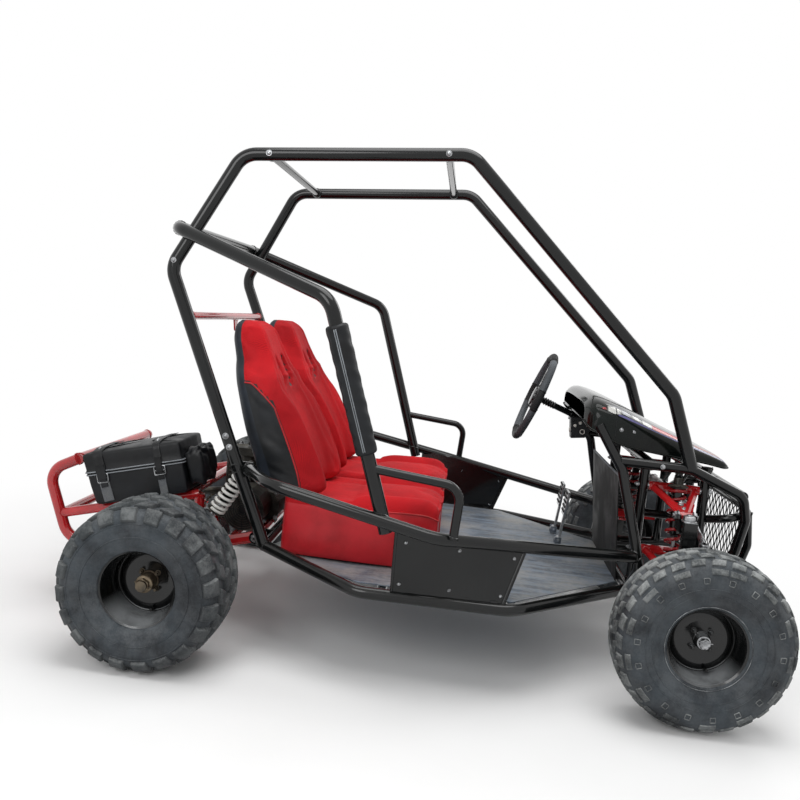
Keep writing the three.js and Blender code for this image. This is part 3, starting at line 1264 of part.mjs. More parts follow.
// Swing arm: pivot bushes between the frame's lugs, two side tubes, axle bearings and shock brackets
const bearingDiameter = 62;
const bearingWidth = 36;
const armCrossShares = [0, 0.405];
const bracketThickness = 6;
const bracketLength = 44;
function swingArm() {
  const axle = (y) => point(rearAxleX, y, rear.z);
  const pivot = (y) => point(rearAxleX + swingPivotX, y, swingPivotZ);
  const arms = sides.map(({ sign }) => rod(pivot(sign * swingHalfWidth), axle(sign * swingHalfWidth), swingTube));
  const bushes = sides.map(({ sign }) => rod(pivot(sign * (swingHalfWidth - swingTube / 2)), pivot(sign * (swingHalfWidth
    + swingTube / 2)), swingBoss, pinSides));
  const bearings = sides.map(({ sign }) => rod(axle(sign * (swingHalfWidth - bearingWidth / 2)),
    axle(sign * (swingHalfWidth + bearingWidth / 2)), bearingDiameter, 12));
  const bars = armCrossShares.map((share) => {
    const end = pivot(swingHalfWidth).lerp(axle(swingHalfWidth), share);
    return rod(end, end.clone().setY(-end.y), barTube);
  });
  const brackets = sides.flatMap(({ sign }) => shockBracket(sign));
  const bore = rod(axle(-swingHalfWidth - bearingWidth), axle(swingHalfWidth + bearingWidth),
    boreFor(axleDiameter, rimSegments), rimSegments);
  const pinBore = rod(pivot(-swingHalfWidth * 2), pivot(swingHalfWidth * 2), boreFor(swingPin));
  return cut(join(...arms, ...bushes, ...bearings, ...bars, ...brackets), bore, pinBore);
}

function shockBracket(sign) {
  const foot = point(rearAxleX + rearShockFoot.x, sign * rearShockTop.y, rearShockFoot.z);
  const armZ = rear.z + (swingPivotZ - rear.z) * (rearShockFoot.x / swingPivotX);
  const inner = sign * (rearShockTop.y - shockEyeWidth / 2 - 1 - bracketThickness);
  const outer = sign * (rearShockTop.y + shockEyeWidth / 2 + 1 + bracketThickness);
  const bolt = rod(foot.clone().setY(inner), foot.clone().setY(outer), shockBolt, pinSides);
  const outrigger = rod(point(foot.x, sign * swingHalfWidth, armZ), point(foot.x, outer, armZ), barTube);
  const cheeks = [inner, outer - sign * bracketThickness].map((y) => block(
    point(foot.x - bracketLength / 2, y, armZ), point(foot.x + bracketLength / 2, y + sign * bracketThickness,
      foot.z + shockBolt)));
  return [bolt, outrigger, ...cheeks];
}
add('swing_arm', swingArm(), 'redPaint');

// Rear rack and bumper: two bent tubes that rise behind the wheels and carry the box's rails
const rackHalfWidth = 300;
const rackShares = [[0.01, 0.697, 0.155], [-0.262, 0.697, 0.133], [-0.314, 0.697, 0.279], [-0.254, 0.697, 0.318]];
const boxTilt = 14.7 * Math.PI / 180;
const boxSize = { length: 292, width: 222, lower: 98, lid: 62, wall: 4, rearTaper: 20 };
const boxFoot = { x: -290, y: -346, z: 334 };
const railDrop = (barTube / 2 + fitGap) / Math.cos(boxTilt);
const rackBarShares = [0.02, 0.48, 0.9];
function rackRail(sign) {
  const bottom = (x) => boxFoot.z + (x - boxFoot.x) * Math.tan(boxTilt) - railDrop;
  const [rearX, frontX] = [-0.285 * wheelbase, 0.012 * wheelbase];
  const start = point(rearAxleX + rearX, sign * rackHalfWidth, bottom(rearX));
  const end = point(rearAxleX + frontX, sign * rackHalfWidth, bottom(frontX));
  const strut = rod(end, point(end.x, end.y, rear.z + bearingDiameter / 4), barTube);
  return { start, end, solids: [rod(start, end, barTube), strut] };
}

function rearRack() {
  const loops = sides.map(({ sign }) => tube(placeAll(rackShares, sign).map((p) => p.setY(sign * rackHalfWidth)),
    railTube, cageBend));
  const top = placeAll(rackShares)[3].setY(rackHalfWidth);
  const topBar = rod(top, top.clone().setY(-top.y), railTube);
  const rails = sides.map(({ sign }) => rackRail(sign));
  const bars = rackBarShares.map((share) => {
    const end = rails[1].start.clone().lerp(rails[1].end, share);
    return rod(end, end.clone().setY(-end.y), barTube);
  });
  const axle = rod(point(rearAxleX, -rear.y, rear.z), point(rearAxleX, rear.y, rear.z), bearingDiameter + 2 * fitGap, 12);
  const arms = sides.map(({ sign }) => rod(point(rearAxleX + swingPivotX, sign * swingHalfWidth, swingPivotZ),
    point(rearAxleX, sign * swingHalfWidth, rear.z), swingTube + 2 * fitGap));
  return cut(join(...loops, topBar, ...rails.flatMap((rail) => rail.solids), ...bars), axle, ...arms);
}
add('rear_rack', rearRack(), 'redPaint');

// Engine on the swing arm: crankcase, finned cylinder and head, fan shroud, exhaust and drive sprocket
const engine = { rear: 48, front: 228, halfWidth: 108, foot: 292, top: 398 };
const cylinder = { x: 92, bore: 66, fin: 112, fins: 4, finThickness: 3, pitch: 15, top: 486 };
const headSize = { width: 92, height: 26 };
const shroud = { x: 138, z: 346, diameter: 136, width: 120, ribs: 6, ribDepth: 5 };
const mountPad = { width: 40, length: 30 };
const exhaust = { pipe: 26, can: 88, canLength: 270, x: -172, z: 252, y: 30, archZ: 345 };
const driveSprocket = { diameter: 76, x: 160, z: 345 };
const chain = { height: 9, width: 8 };
const chainPlay = 1;
const armBar = (share) => point(rearAxleX + swingPivotX * (1 - share), 0, swingPivotZ + (rear.z - swingPivotZ) * share);
function crankcase() {
  const corner = 24;
  const [low, high] = [engine.foot, engine.top];
  const [back, ahead] = [engine.rear, engine.front];
  const outline = [[back, low + corner], [back + corner, low], [ahead - corner, low], [ahead, low + corner],
    [ahead, high - corner * 1.6], [ahead - corner, high - corner / 2], [back + corner, high], [back, high - corner]];
  return plate(outline, point(rearAxleX, engine.halfWidth, 0), alongX, alongZ, 2 * engine.halfWidth);
}

function cylinderStack() {
  const at = (z) => point(rearAxleX + cylinder.x, 0, z);
  const barrel = rod(at(engine.top - cutOverrun), at(cylinder.top + cutOverrun), cylinder.bore, pinSides);
  const fins = Array.from({ length: cylinder.fins }, (unused, i) => {
    const z = engine.top + cylinder.pitch * (i + 1);
    const half = cylinder.fin / 2;
    return box(at(z).add(point(-half, -half, 0)), at(z).add(point(half, half, cylinder.finThickness)));
  });
  const half = headSize.width / 2;
  const head = box(at(cylinder.top).add(point(-half, -half, 0)), at(cylinder.top).add(point(half, half, headSize.height)));
  return [barrel, ...fins, head];
}

function fanShroud() {
  const start = point(rearAxleX + shroud.x, -engine.halfWidth + cutOverrun, shroud.z);
  const end = start.clone().setY(-engine.halfWidth - shroud.width);
  const ribs = Array.from({ length: shroud.ribs }, (unused, i) => {
    const angle = (2 * Math.PI * i) / shroud.ribs;
    const u = point(Math.cos(angle), 0, Math.sin(angle));
    const v = point(-Math.sin(angle), 0, Math.cos(angle));
    const inner = shroud.diameter * 0.14;
    const outer = shroud.diameter * 0.4;
    const half = shroud.ribDepth / 2;
    return plate([[inner, -half], [outer, -half * 2], [outer, half * 2], [inner, half]],
      end.clone().add(point(0, shroud.ribDepth, 0)), u, v, shroud.ribDepth + cutOverrun);
  });
  return cut(rod(start, end, shroud.diameter, 12), ...ribs);
}

function exhaustPipe() {
  const head = point(rearAxleX + cylinder.x - headSize.width / 2 + cutOverrun, exhaust.y, cylinder.top + headSize.height / 2);
  const fall = head.clone().add(point(-headSize.width / 3, 0, 0));
  const arch = point(fall.x, exhaust.y, exhaust.archZ);
  const can = point(rearAxleX + exhaust.x, exhaust.y, exhaust.z);
  const pipe = tube([head, fall, arch, can.clone().setZ(exhaust.archZ - exhaust.pipe), can], exhaust.pipe, exhaust.pipe, 8);
  const half = point(0, exhaust.canLength / 2, 0);
  return [pipe, rod(can.clone().sub(half), can.clone().add(half), exhaust.can, 12)];
}

function engineUnit() {
  const pads = armCrossShares.flatMap((share) => sides.map(({ sign }) => {
    const bar = armBar(share);
    const y = sign * (engine.halfWidth - mountPad.width / 2);
    return box(point(bar.x - mountPad.length / 2, y - mountPad.width / 2, bar.z),
      point(bar.x + mountPad.length / 2, y + mountPad.width / 2, engine.foot + mountPad.length));
  }));
  const seats = armCrossShares.map((share) => {
    const bar = armBar(share);
    return rod(bar.clone().setY(-swingHalfWidth), bar.clone().setY(swingHalfWidth), barTube + 2 * fitGap);
  });
  const gear = point(rearAxleX + driveSprocket.x, 0, driveSprocket.z);
  const shaft = rod(gear.clone().setY(engine.halfWidth - cutOverrun), gear.clone().setY(sprocket.y
    + chain.width), axleDiameter, pinSides);
  const wheel = rod(gear.clone().setY(sprocket.y - sprocket.thickness / 2), gear.clone().setY(sprocket.y
    + sprocket.thickness / 2), driveSprocket.diameter, 20);
  return cut(join(crankcase(), ...cylinderStack(), fanShroud(), ...exhaustPipe(), shaft, wheel, ...pads), ...seats);
}
add('engine', engineUnit(), 'castAlloy');

// Drive chain: a band that runs round both sprockets
function driveChain() {
  const a = new THREE.Vector2(rearAxleX + driveSprocket.x, driveSprocket.z);
  const b = new THREE.Vector2(rearAxleX, rear.z);
  const ra = driveSprocket.diameter / 2 + chainPlay;
  const rb = sprocket.diameter / 2 + chainPlay;
  const line = a.clone().sub(b);
  const heading = Math.atan2(line.y, line.x);
  const lean = Math.acos((rb - ra) / line.length());
  const loop = (grow) => {
    const points = [];
    const arc = (centre, radius, from, to, steps) => {
      for (let i = 0; i <= steps; i += 1) {
        const angle = from + (to - from) * i / steps;
        points.push([centre.x + (radius + grow) * Math.cos(angle), centre.y + (radius + grow) * Math.sin(angle)]);
      }
    };
    arc(a, ra, heading - lean, heading + lean, 10);
    arc(b, rb, heading + lean, heading - lean + 2 * Math.PI, 18);
    return points;
  };
  return plate(loop(chain.height), point(0, sprocket.y + chain.width / 2, 0), alongX, alongZ, chain.width, [loop(0)]);
}
add('drive_chain', driveChain(), 'zincSteel');

// Cargo box on the rack: a tilted shell with a hinged lid, two straps and their buckles
const strap = { width: 24, thickness: 2.5, atShares: [0.16, 0.76], buckle: 34, buckleBar: 4 };
const hingePin = 6;
const hingeBarrel = 12;
const hingeShares = [[0.1, 0.2], [0.8, 0.9]];
const lidOverhang = 3;
const lidCrown = 10;
const tiltU = point(Math.cos(boxTilt), 0, Math.sin(boxTilt));
const tiltW = point(-Math.sin(boxTilt), 0, Math.cos(boxTilt));
const boxCorner = point(rearAxleX + boxFoot.x, boxFoot.y, boxFoot.z);
function inBox(u, v, w) {
  return boxCorner.clone().addScaledVector(tiltU, u).add(point(0, v, 0)).addScaledVector(tiltW, w);
}

function boxPrism(outline, v, width) {
  return plate(outline, inBox(0, v + width, 0), tiltU, tiltW, width);
}

function taperAt(w) {
  return -boxSize.rearTaper * w / (boxSize.lower + boxSize.lid);
}

function strapPart(share, lowW, highW, proud) {
  const u = share * boxSize.length - strap.width / 2;
  return boxPrism([[u, lowW], [u + strap.width, lowW], [u + strap.width, highW], [u, highW]],
    -strap.thickness - proud, strap.thickness * 2 + proud);
}

function buckle(share) {
  const u = share * boxSize.length;
  const half = strap.buckle / 2;
  const ring = (grow) => [[u - half + grow, -half + grow], [u + half - grow, -half + grow], [u + half - grow, half - grow],
    [u - half + grow, half - grow]].map(([a, b]) => [a, b + boxSize.lower - half / 2]);
  return plate(ring(0), inBox(0, strap.buckleBar / 4 - strap.thickness, 0), tiltU, tiltW,
    strap.buckleBar, [ring(strap.buckleBar)]);
}

function cargoBox() {
  const { length, width, lower, wall } = boxSize;
  const body = boxPrism([[0, 0], [length, 0], [length, lower], [taperAt(lower), lower]], 0, width);
  const hollow = boxPrism([[wall, wall], [length - wall, wall], [length - wall, lower + cutOverrun],
    [taperAt(lower) + wall, lower + cutOverrun]], wall, width - 2 * wall);
  const axisV = width + hingeBarrel / 2 + fitGap;
  const pin = rod(inBox(length * 0.1, axisV, lower), inBox(length * 0.9, axisV, lower), hingePin, pinSides);
  const knuckles = hingeShares.flatMap(([from, to]) => [
    rod(inBox(length * from, axisV, lower), inBox(length * to, axisV, lower), hingeBarrel, pinSides),
    boxPrism([[length * from, lower - hingeBarrel * 2], [length * to, lower - hingeBarrel * 2], [length * to, lower],
      [length * from, lower]], width - fitGap, hingeBarrel / 3)]);
  const straps = strap.atShares.flatMap((share) => [strapPart(share, wall, lower - fitGap, 0), buckle(share)]);
  return join(cut(body, hollow), pin, ...knuckles, ...straps);
}

function cargoLid() {
  const { length, width, lower, lid, wall } = boxSize;
  const low = lower + fitGap;
  const top = lower + lid;
  const outline = [[taperAt(low) - lidOverhang, low], [length + lidOverhang, low], [length + lidOverhang, top - lidCrown],
    [length * 0.75, top], [length * 0.2, top], [taperAt(top) - lidOverhang, top - lidCrown]];
  const hollowOutline = [[taperAt(low) + wall, low - cutOverrun], [length - wall, low - cutOverrun],
    [length - wall, top - lidCrown - wall], [taperAt(top) + wall, top - lidCrown - wall]];
  const shell = cut(boxPrism(outline, 0, width), boxPrism(hollowOutline, wall, width - 2 * wall));
  const axisV = width + hingeBarrel / 2 + fitGap;
  const [from, to] = [hingeShares[0][1] + 0.002, hingeShares[1][0] - 0.002];
  const barrel = rod(inBox(length * from, axisV, lower), inBox(length * to, axisV, lower), hingeBarrel, pinSides);
  const leaf = boxPrism([[length * from, low], [length * to, low], [length * to, lower + hingeBarrel * 2],
    [length * from, lower + hingeBarrel * 2]], width - fitGap, hingeBarrel / 3);
  const bore = rod(inBox(0, axisV, lower), inBox(length, axisV, lower), boreFor(hingePin));
  const straps = strap.atShares.map((share) => strapPart(share, low + strap.buckle / 2, top - lidCrown, 0));
  return cut(join(shell, barrel, leaf, ...straps), bore);
}
add('cargo_box', cargoBox(), 'blackPlastic');
add('cargo_lid', cargoLid(), 'blackPlastic');

// Pedals: each turns on a pin between two ears of the floor pan
const pedal = { x: 0.79, height: 150, armWidth: 22, armThickness: 8, padWidth: 74, padHeight: 84, bush: 22, bushWidth: 30,
  lean: 0.1 };
const pedalPin = 10;
const pedalYs = { throttle: 140, brake: 300 };
const pedalEar = 5;
const pedalTread = 3;
const pedalX = rearAxleX + pedal.x * wheelbase;
const pedalZ = panTop + pedal.bush / 2 + 2 * fitGap;
function pedalSolid(y) {
  const half = pedal.bushWidth / 2;
  const bush = rod(point(pedalX, y - half, pedalZ), point(pedalX, y + half, pedalZ), pedal.bush, pinSides);
  const u = point(0, 1, 0);
  const v = point(pedal.lean, 0, 1).normalize();
  const arm = plate([[-pedal.armWidth / 2, 0], [pedal.armWidth / 2, 0], [pedal.armWidth / 2, pedal.height],
    [-pedal.armWidth / 2, pedal.height]], point(pedalX, y, pedalZ), u, v, pedal.armThickness);
  const low = pedal.height - pedal.padHeight * 0.7;
  const out = u.clone().cross(v).normalize();
  const padAt = point(pedalX, y, pedalZ).addScaledVector(out, -pedal.armThickness / 2);
  const [w, h] = [pedal.padWidth / 2, pedal.padHeight];
  const pad = plate([[-w * 0.8, low], [w * 0.8, low], [w, low + h * 0.2], [w, low + h], [-w, low + h], [-w, low + h * 0.2]],
    padAt, u, v, pedal.armThickness);
  const treads = [0.25, 0.5, 0.75].map((share) => plate([[-w * 0.8, low + h * share - pedalTread],
    [w * 0.8, low + h * share - pedalTread], [w * 0.8, low + h * share + pedalTread],
    [-w * 0.8, low + h * share + pedalTread]], padAt.clone().addScaledVector(out, -pedalTread), u, v, pedalTread * 2));
  const bore = rod(point(pedalX, y - pedal.bushWidth, pedalZ), point(pedalX, y + pedal.bushWidth, pedalZ),
    boreFor(pedalPin));
  return cut(join(bush, arm, pad, ...treads), bore);
}

function pedalEars(y) {
  const near = pedal.bushWidth / 2 + fitGap;
  const pin = rod(point(pedalX, y - near - pedalEar, pedalZ), point(pedalX, y + near + pedalEar, pedalZ), pedalPin, pinSides);
  const ears = [-1, 1].map((end) => block(
    point(pedalX - pedal.bush / 2, y + end * near, panTop - panRibHeight - panThickness / 2),
    point(pedalX + pedal.bush / 2, y + end * (near + pedalEar), pedalZ + pedal.bush / 2)));
  return [pin, ...ears];
}
add('throttle_pedal', pedalSolid(pedalYs.throttle), 'zincSteel');
add('brake_pedal', pedalSolid(pedalYs.brake), 'zincSteel');
add('floor_pan', join(floorPan(), ...Object.values(pedalYs).flatMap((y) => pedalEars(y))), 'dustySteel');

export default kart;
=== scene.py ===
"""Off road go kart with two seats, dressed for the render.

Laid out like a Blender add-on: sizes and colours in property groups, one operator for each piece or group of
like pieces, and one panel that lists them. Lengths are in millimetres until a form becomes a mesh in metres.
"""

import math

import bmesh
import bpy
from mathutils import Matrix, Quaternion, Vector


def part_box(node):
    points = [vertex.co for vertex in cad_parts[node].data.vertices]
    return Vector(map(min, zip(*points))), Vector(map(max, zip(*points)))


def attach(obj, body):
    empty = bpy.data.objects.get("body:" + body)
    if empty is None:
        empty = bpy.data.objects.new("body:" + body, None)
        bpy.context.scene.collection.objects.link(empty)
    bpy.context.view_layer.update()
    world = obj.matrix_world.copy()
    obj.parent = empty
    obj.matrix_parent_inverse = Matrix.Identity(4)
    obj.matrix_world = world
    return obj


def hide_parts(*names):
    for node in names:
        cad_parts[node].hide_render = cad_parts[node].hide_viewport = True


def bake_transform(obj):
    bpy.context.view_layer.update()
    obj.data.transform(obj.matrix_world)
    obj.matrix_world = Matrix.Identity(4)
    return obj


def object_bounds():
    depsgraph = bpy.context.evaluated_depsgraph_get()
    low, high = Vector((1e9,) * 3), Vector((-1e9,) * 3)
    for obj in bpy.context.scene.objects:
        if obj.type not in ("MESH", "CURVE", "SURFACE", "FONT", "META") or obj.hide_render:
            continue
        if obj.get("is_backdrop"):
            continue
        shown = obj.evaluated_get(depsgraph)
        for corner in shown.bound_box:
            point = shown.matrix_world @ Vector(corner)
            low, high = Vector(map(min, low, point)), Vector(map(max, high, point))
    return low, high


bl_info = {"name": "Off road go kart", "version": (1, 0, 0), "blender": (4, 5, 0),
           "location": "View3D > Sidebar > Kart",
           "description": "Builds the looks of a two seat off road go kart round its packed frame",
           "category": "Object"}

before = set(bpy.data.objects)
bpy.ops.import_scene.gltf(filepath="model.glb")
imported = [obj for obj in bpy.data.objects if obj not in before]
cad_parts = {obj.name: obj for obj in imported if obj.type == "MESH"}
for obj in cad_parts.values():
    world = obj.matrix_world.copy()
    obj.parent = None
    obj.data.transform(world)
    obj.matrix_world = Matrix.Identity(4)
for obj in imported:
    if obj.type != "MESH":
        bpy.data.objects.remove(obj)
PACKED_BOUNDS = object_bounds()

MM = 0.001
TURN = 2 * math.pi
SIDES = (("right", -1), ("left", 1))
X, Y, Z = Vector((1, 0, 0)), Vector((0, 1, 0)), Vector((0, 0, 1))

# Main places of the kart, in millimetres
REAR_AXLE_X = -633.0
WHEELBASE = 1490
FRONT_AXLE_X = REAR_AXLE_X + WHEELBASE
KINGPIN_X = FRONT_AXLE_X - 40
PILLAR_HALF_WIDTH = 430
CAGE_HEIGHT = 1500
CAGE_TUBE, RAIL_TUBE, BAR_TUBE, BRACE_TUBE = 38, 34, 30, 24
CAGE_BEND, RAIL_BEND, BRACE_BEND = 70, 110, 45
FRONT_RADIUS, FRONT_Y = 241, 593
REAR_RADIUS, REAR_Y = 228, 648.5

# Routes of the frame tubes, as shares of the wheelbase, the pillars' half width and the cage height
CAGE = [(0.173, 1, 0.2), (-0.056, 1, 0.719), (0.059, 0.914, 0.947), (0.497, 0.914, 0.985),
        (0.934, 0.814, 0.575), (0.987, 0.802, 0.437)]
HOOP = [(-0.047, 1.06, 0.795), (0.285, 1.6, 0.69), (0.421, 1.523, 0.293)]
SIDE_RAIL = [(0.129, 1, 0.347), (0.2, 1.51, 0.354), (0.51, 1.6, 0.298), (0.89, 0.92, 0.26)]
GRAB_LOOP = [(0.38, 1.545, 0.405), (0.545, 1.563, 0.391), (0.54, 1.59, 0.3)]
PERIMETER = [(0.173, 1, 0.2), (0.376, 1.395, 0.168), (0.66, 1.405, 0.17), (0.896, 0.78, 0.185),
             (0.93, 0.593, 0.187), (1.08, 0.593, 0.2)]
UPRIGHT = [(0.802, 0.76, 0.503), (0.857, 0.78, 0.42), (0.906, 0.92, 0.24), (0.896, 0.78, 0.185)]
NOSE_RAIL = [(0.852, 0.775, 0.437), (0.987, 0.802, 0.437), (1.093, 0.79, 0.395), (1.108, 0.74, 0.346),
             (1.1, 0.7, 0.28), (1.08, 0.593, 0.2)]
BUMPER = [(0.913, 0.54, 0.328), (1.034, 0.54, 0.328), (1.078, 0.72, 0.345), (1.12, 0.66, 0.356),
          (1.131, 0.4, 0.358)]
GUARD = [(1.123, 0.62, 0.356), (1.133, 0.6, 0.29), (1.12, 0.56, 0.225)]
REAR_LOOP = [(0.01, 0.155), (-0.262, 0.133), (-0.314, 0.276), (-0.254, 0.307)]
CROSS_MEMBERS = (0.173, 0.42, 0.66, 0.896)
SKIRT_REAR, SKIRT_TOP_FRONT, SKIRT_LOW_FRONT = 0.44, 0.675, 0.64
PAN_REAR, PAN_FRONT, PAN_TOE_TOP = 0.21, (0.885, 0.62, 0.2), (0.862, 0.62, 0.4)
SEAT_BAR = (-0.015, 0.98, 0.63)

# Pivots of the front and rear suspension, in millimetres
ARM_INNER_Y, ARM_OUTER_Y, KINGPIN_Y = 255, 425, 470
ARM_HEIGHTS = {"upper": (582, 532), "lower": (387, 337)}
FRONT_SHOCK_TOP_Y, FRONT_SHOCK_TOP_Z, FRONT_SHOCK_FOOT_Y, FRONT_SHOCK_FOOT_Z = 296, 642, 345, 360.5
SWING_PIVOT_X, SWING_PIVOT_Z, SWING_ARM_Y = -428, 285, 290
REAR_SHOCK_Y, REAR_SHOCK_TOP, REAR_SHOCK_FOOT = 375, (-448, 520), (-558, 345)
RACK_RAIL_Y = 300


def place(shares, sign=1):
    """A point from shares of the wheelbase, the pillars' half width and the cage height."""
    along, across, up = shares
    return Vector((REAR_AXLE_X + along * WHEELBASE, sign * across * PILLAR_HALF_WIDTH, up * CAGE_HEIGHT))


def places(table, sign=1):
    return [place(shares, sign) for shares in table]


def rail_at(table, along, sign=1):
    """The point of a tube's route at a share of the wheelbase ahead of the rear axle."""
    points = places(table, sign)
    x = REAR_AXLE_X + along * WHEELBASE
    after = next(i for i, p in enumerate(points) if p.x > x)
    a, b = points[after - 1], points[after]
    return a.lerp(b, (x - a.x) / (b.x - a.x))


# Forms: faces gathered in millimetres

class Form:
    """Points and faces of one piece, each face with the number of its finish."""

    def __init__(self):
        self.points = []
        self.faces = []
        self.finishes = []

    def put(self, points, faces, finish=0):
        first = len(self.points)
        self.points.extend(Vector(p) for p in points)
        self.faces.extend([first + i for i in face] for face in faces)
        self.finishes.extend([finish] * len(faces))

    def cover(self, first, count):
        """One face over a run of points that are already there."""
        self.faces.append([first + i for i in range(count)])
        self.finishes.append(0)


def skin(form, rings, finish=0, closed=False, caps=True):
    """Faces between rings of equally many points; the last joins the first where closed."""
    count = len(rings[0])
    points = [p for ring in rings for p in ring]
    faces = []
    spans = len(rings) if closed else len(rings) - 1
    for ring in range(spans):
        here, there = ring * count, (ring + 1) % len(rings) * count
        for i in range(count):
            j = (i + 1) % count
            faces.append((here + i, here + j, there + j, there + i))
    if caps and not closed:
        last = (len(rings) - 1) * count
        faces.append(tuple(range(count))[::-1])
        faces.append(tuple(last + i for i in range(count)))
    form.put(points, faces, finish)


def along_of(a, b):
    return (b - a).normalized()


def spun(u, v, angle):
    """A direction at an angle between two that are square to each other."""
    return u * math.cos(angle) + v * math.sin(angle)


def spoke(radius, angle, y=0.0):
    """A point of a circle about the Y axis."""
    return Vector((radius * math.cos(angle), y, radius * math.sin(angle)))


def square_to(axis):
    """Two directions square to an axis and to each other."""
    axis = axis.normalized()
    helper = X if abs(axis.x) < 0.9 else Y
    u = helper.cross(axis).normalized()
    return u, axis.cross(u)


def route(points, bend, steps=9):
    """Stations (point, direction) along straight runs joined by round bends."""
    stations = [(points[0], along_of(points[0], points[1]))]
    for before, corner, after in zip(points, points[1:], points[2:]):
        into, out = corner - before, after - corner
        room = min(into.length, out.length) / 2
        into, out = into.normalized(), out.normalized()
        turn = into.angle(out)
        if turn < 0.001:
            continue
        set_back = min(bend * math.tan(turn / 2), room)
        radius = set_back / math.tan(turn / 2)
        centre = corner + (out - into).normalized() * (radius / math.cos(turn / 2))
        start = corner - into * set_back - centre
        axis = into.cross(out).normalized()
        for step in range(steps + 1):
            part = Quaternion(axis, turn * step / steps)
            stations.append((centre + part @ start, part @ into))
    stations.append((points[-1], along_of(points[-2], points[-1])))
    return stations


def sweep(form, stations, radius, sides=24, finish=0, closed=False, section=None):
    """A round or shaped section carried along stations without twist. The radius may vary by station."""
    shape = section or [(math.cos(TURN * i / sides), math.sin(TURN * i / sides)) for i in range(sides)]
    u, _ = square_to(stations[0][1])
    heading = stations[0][1]
    rings = []
    for i, (at, along) in enumerate(stations):
        u = heading.rotation_difference(along) @ u
        heading = along
        v = along.cross(u)
        size = radius(i / (len(stations) - 1)) if callable(radius) else radius
        rings.append([at + u * (a * size) + v * (b * size) for a, b in shape])
    skin(form, rings, finish, closed=closed)


def headed(line):
    """Stations along a line of points, each facing the next point."""
    heads = [along_of(a, b) for a, b in zip(line, line[1:])]
    return [(p, heads[min(k, len(heads) - 1)]) for k, p in enumerate(line)]


def looped(ring):
    """Stations round a closed ring of points, each facing along the ring."""
    return [(p, along_of(ring[i - 1], ring[(i + 1) % len(ring)])) for i, p in enumerate(ring)]


def tube(form, points, diameter, bend=CAGE_BEND, sides=24, finish=0, steps=9):
    sweep(form, route(points, bend, steps), diameter / 2, sides, finish)


def rod(form, start, end, diameter, sides=24, finish=0):
    heading = along_of(start, end)
    sweep(form, [(start, heading), (end, heading)], diameter / 2, sides, finish)


def turned(form, profile, centre, axis, sides=32, finish=0):
    """A profile of (radius, along) pairs revolved about an axis; rows at the axis close the form."""
    u, v = square_to(axis)
    axis = axis.normalized()
    rings = []
    for radius, along in profile:
        rings.append([centre + axis * along + spun(u, v, TURN * i / sides) * max(radius, 0.001)
                      for i in range(sides)])
    skin(form, rings, finish, caps=True)


def ring_of(form, profile, centre, axis, sides=64, finish=0):
    """A closed profile of (radius, along) pairs revolved into a ring."""
    u, v = square_to(axis)
    axis = axis.normalized()
    rings = []
    for i in range(sides):
        out = spun(u, v, TURN * i / sides)
        rings.append([centre + axis * along + out * radius for radius, along in profile])
    skin(form, rings, finish, closed=True)


def prism(form, outline, corner, u, v, depth, finish=0):
    """An outline of (a, b) pairs in the directions u and v, pushed out along their normal."""
    w = u.cross(v).normalized()
    low = [corner + u * a + v * b for a, b in outline]
    high = [p + w * depth for p in low]
    count = len(outline)
    faces = [tuple(range(count))[::-1], tuple(range(count, 2 * count))]
    faces += [(i, (i + 1) % count, count + (i + 1) % count, count + i) for i in range(count)]
    form.put(low + high, faces, finish)


def block(form, low, high, finish=0):
    low, high = Vector(map(min, low, high)), Vector(map(max, low, high))
    size = high - low
    prism(form, [(0, 0), (size.x, 0), (size.x, size.y), (0, size.y)], low, X, Y, size.z, finish)


def slab(form, corners, thickness, finish=0, cuts=1):
    """A sheet of even thickness between four corners, in order round its outer face."""
    a, b, c, d = corners
    normal = (b - a).cross(d - a).normalized()
    rows = range(cuts + 1)
    grid = [[a.lerp(d, i / cuts).lerp(b.lerp(c, i / cuts), j / cuts) for j in rows] for i in rows]
    outer = [p for row in grid for p in row]
    inner = [p - normal * thickness for p in outer]
    side = cuts + 1
    faces = []
    for i in range(cuts):
        for j in range(cuts):
            q = (i * side + j, i * side + j + 1, (i + 1) * side + j + 1, (i + 1) * side + j)
            faces += [q, tuple(len(outer) + k for k in q[::-1])]
    border = list(range(side)) + [i * side + cuts for i in range(1, side)]
    border += [cuts * side + j for j in range(cuts - 1, -1, -1)] + [i * side for i in range(cuts - 1, 0, -1)]
    for p, q in zip(border, border[1:] + border[:1]):
        faces.append((q, p, len(outer) + p, len(outer) + q))
    form.put(outer + inner, faces, finish)


def circle_outline(radius, sides, middle=(0, 0)):
    return [(middle[0] + radius * math.cos(TURN * i / sides),
             middle[1] + radius * math.sin(TURN * i / sides)) for i in range(sides)]


def rounded_outline(width, height, radius, steps=4, middle=(0, 0)):
    """The corners of a rounded rectangle, counted round from the lower right."""
    points = []
    for k, (sx, sy) in enumerate(((1, -1), (1, 1), (-1, 1), (-1, -1))):
        cx, cy = middle[0] + sx * (width / 2 - radius), middle[1] + sy * (height / 2 - radius)
        for i in range(steps + 1):
            angle = math.radians(-90 + 90 * k + 90 * i / steps)
            points.append((cx + radius * math.cos(angle), cy + radius * math.sin(angle)))
    return points


def dome_bolt(form, at, axis, size=16, finish=0):
    """A washer and a low dome head, as on a carriage bolt."""
    r = size / 2
    turned(form, [(0, -1), (r * 1.35, -1), (r * 1.35, 1), (r * 1.25, 1.6), (r, 1.6), (r * 0.96, 2.6),
                  (r * 0.8, 4.4), (r * 0.5, 5.6), (0, 6)], at, axis, 24, finish)


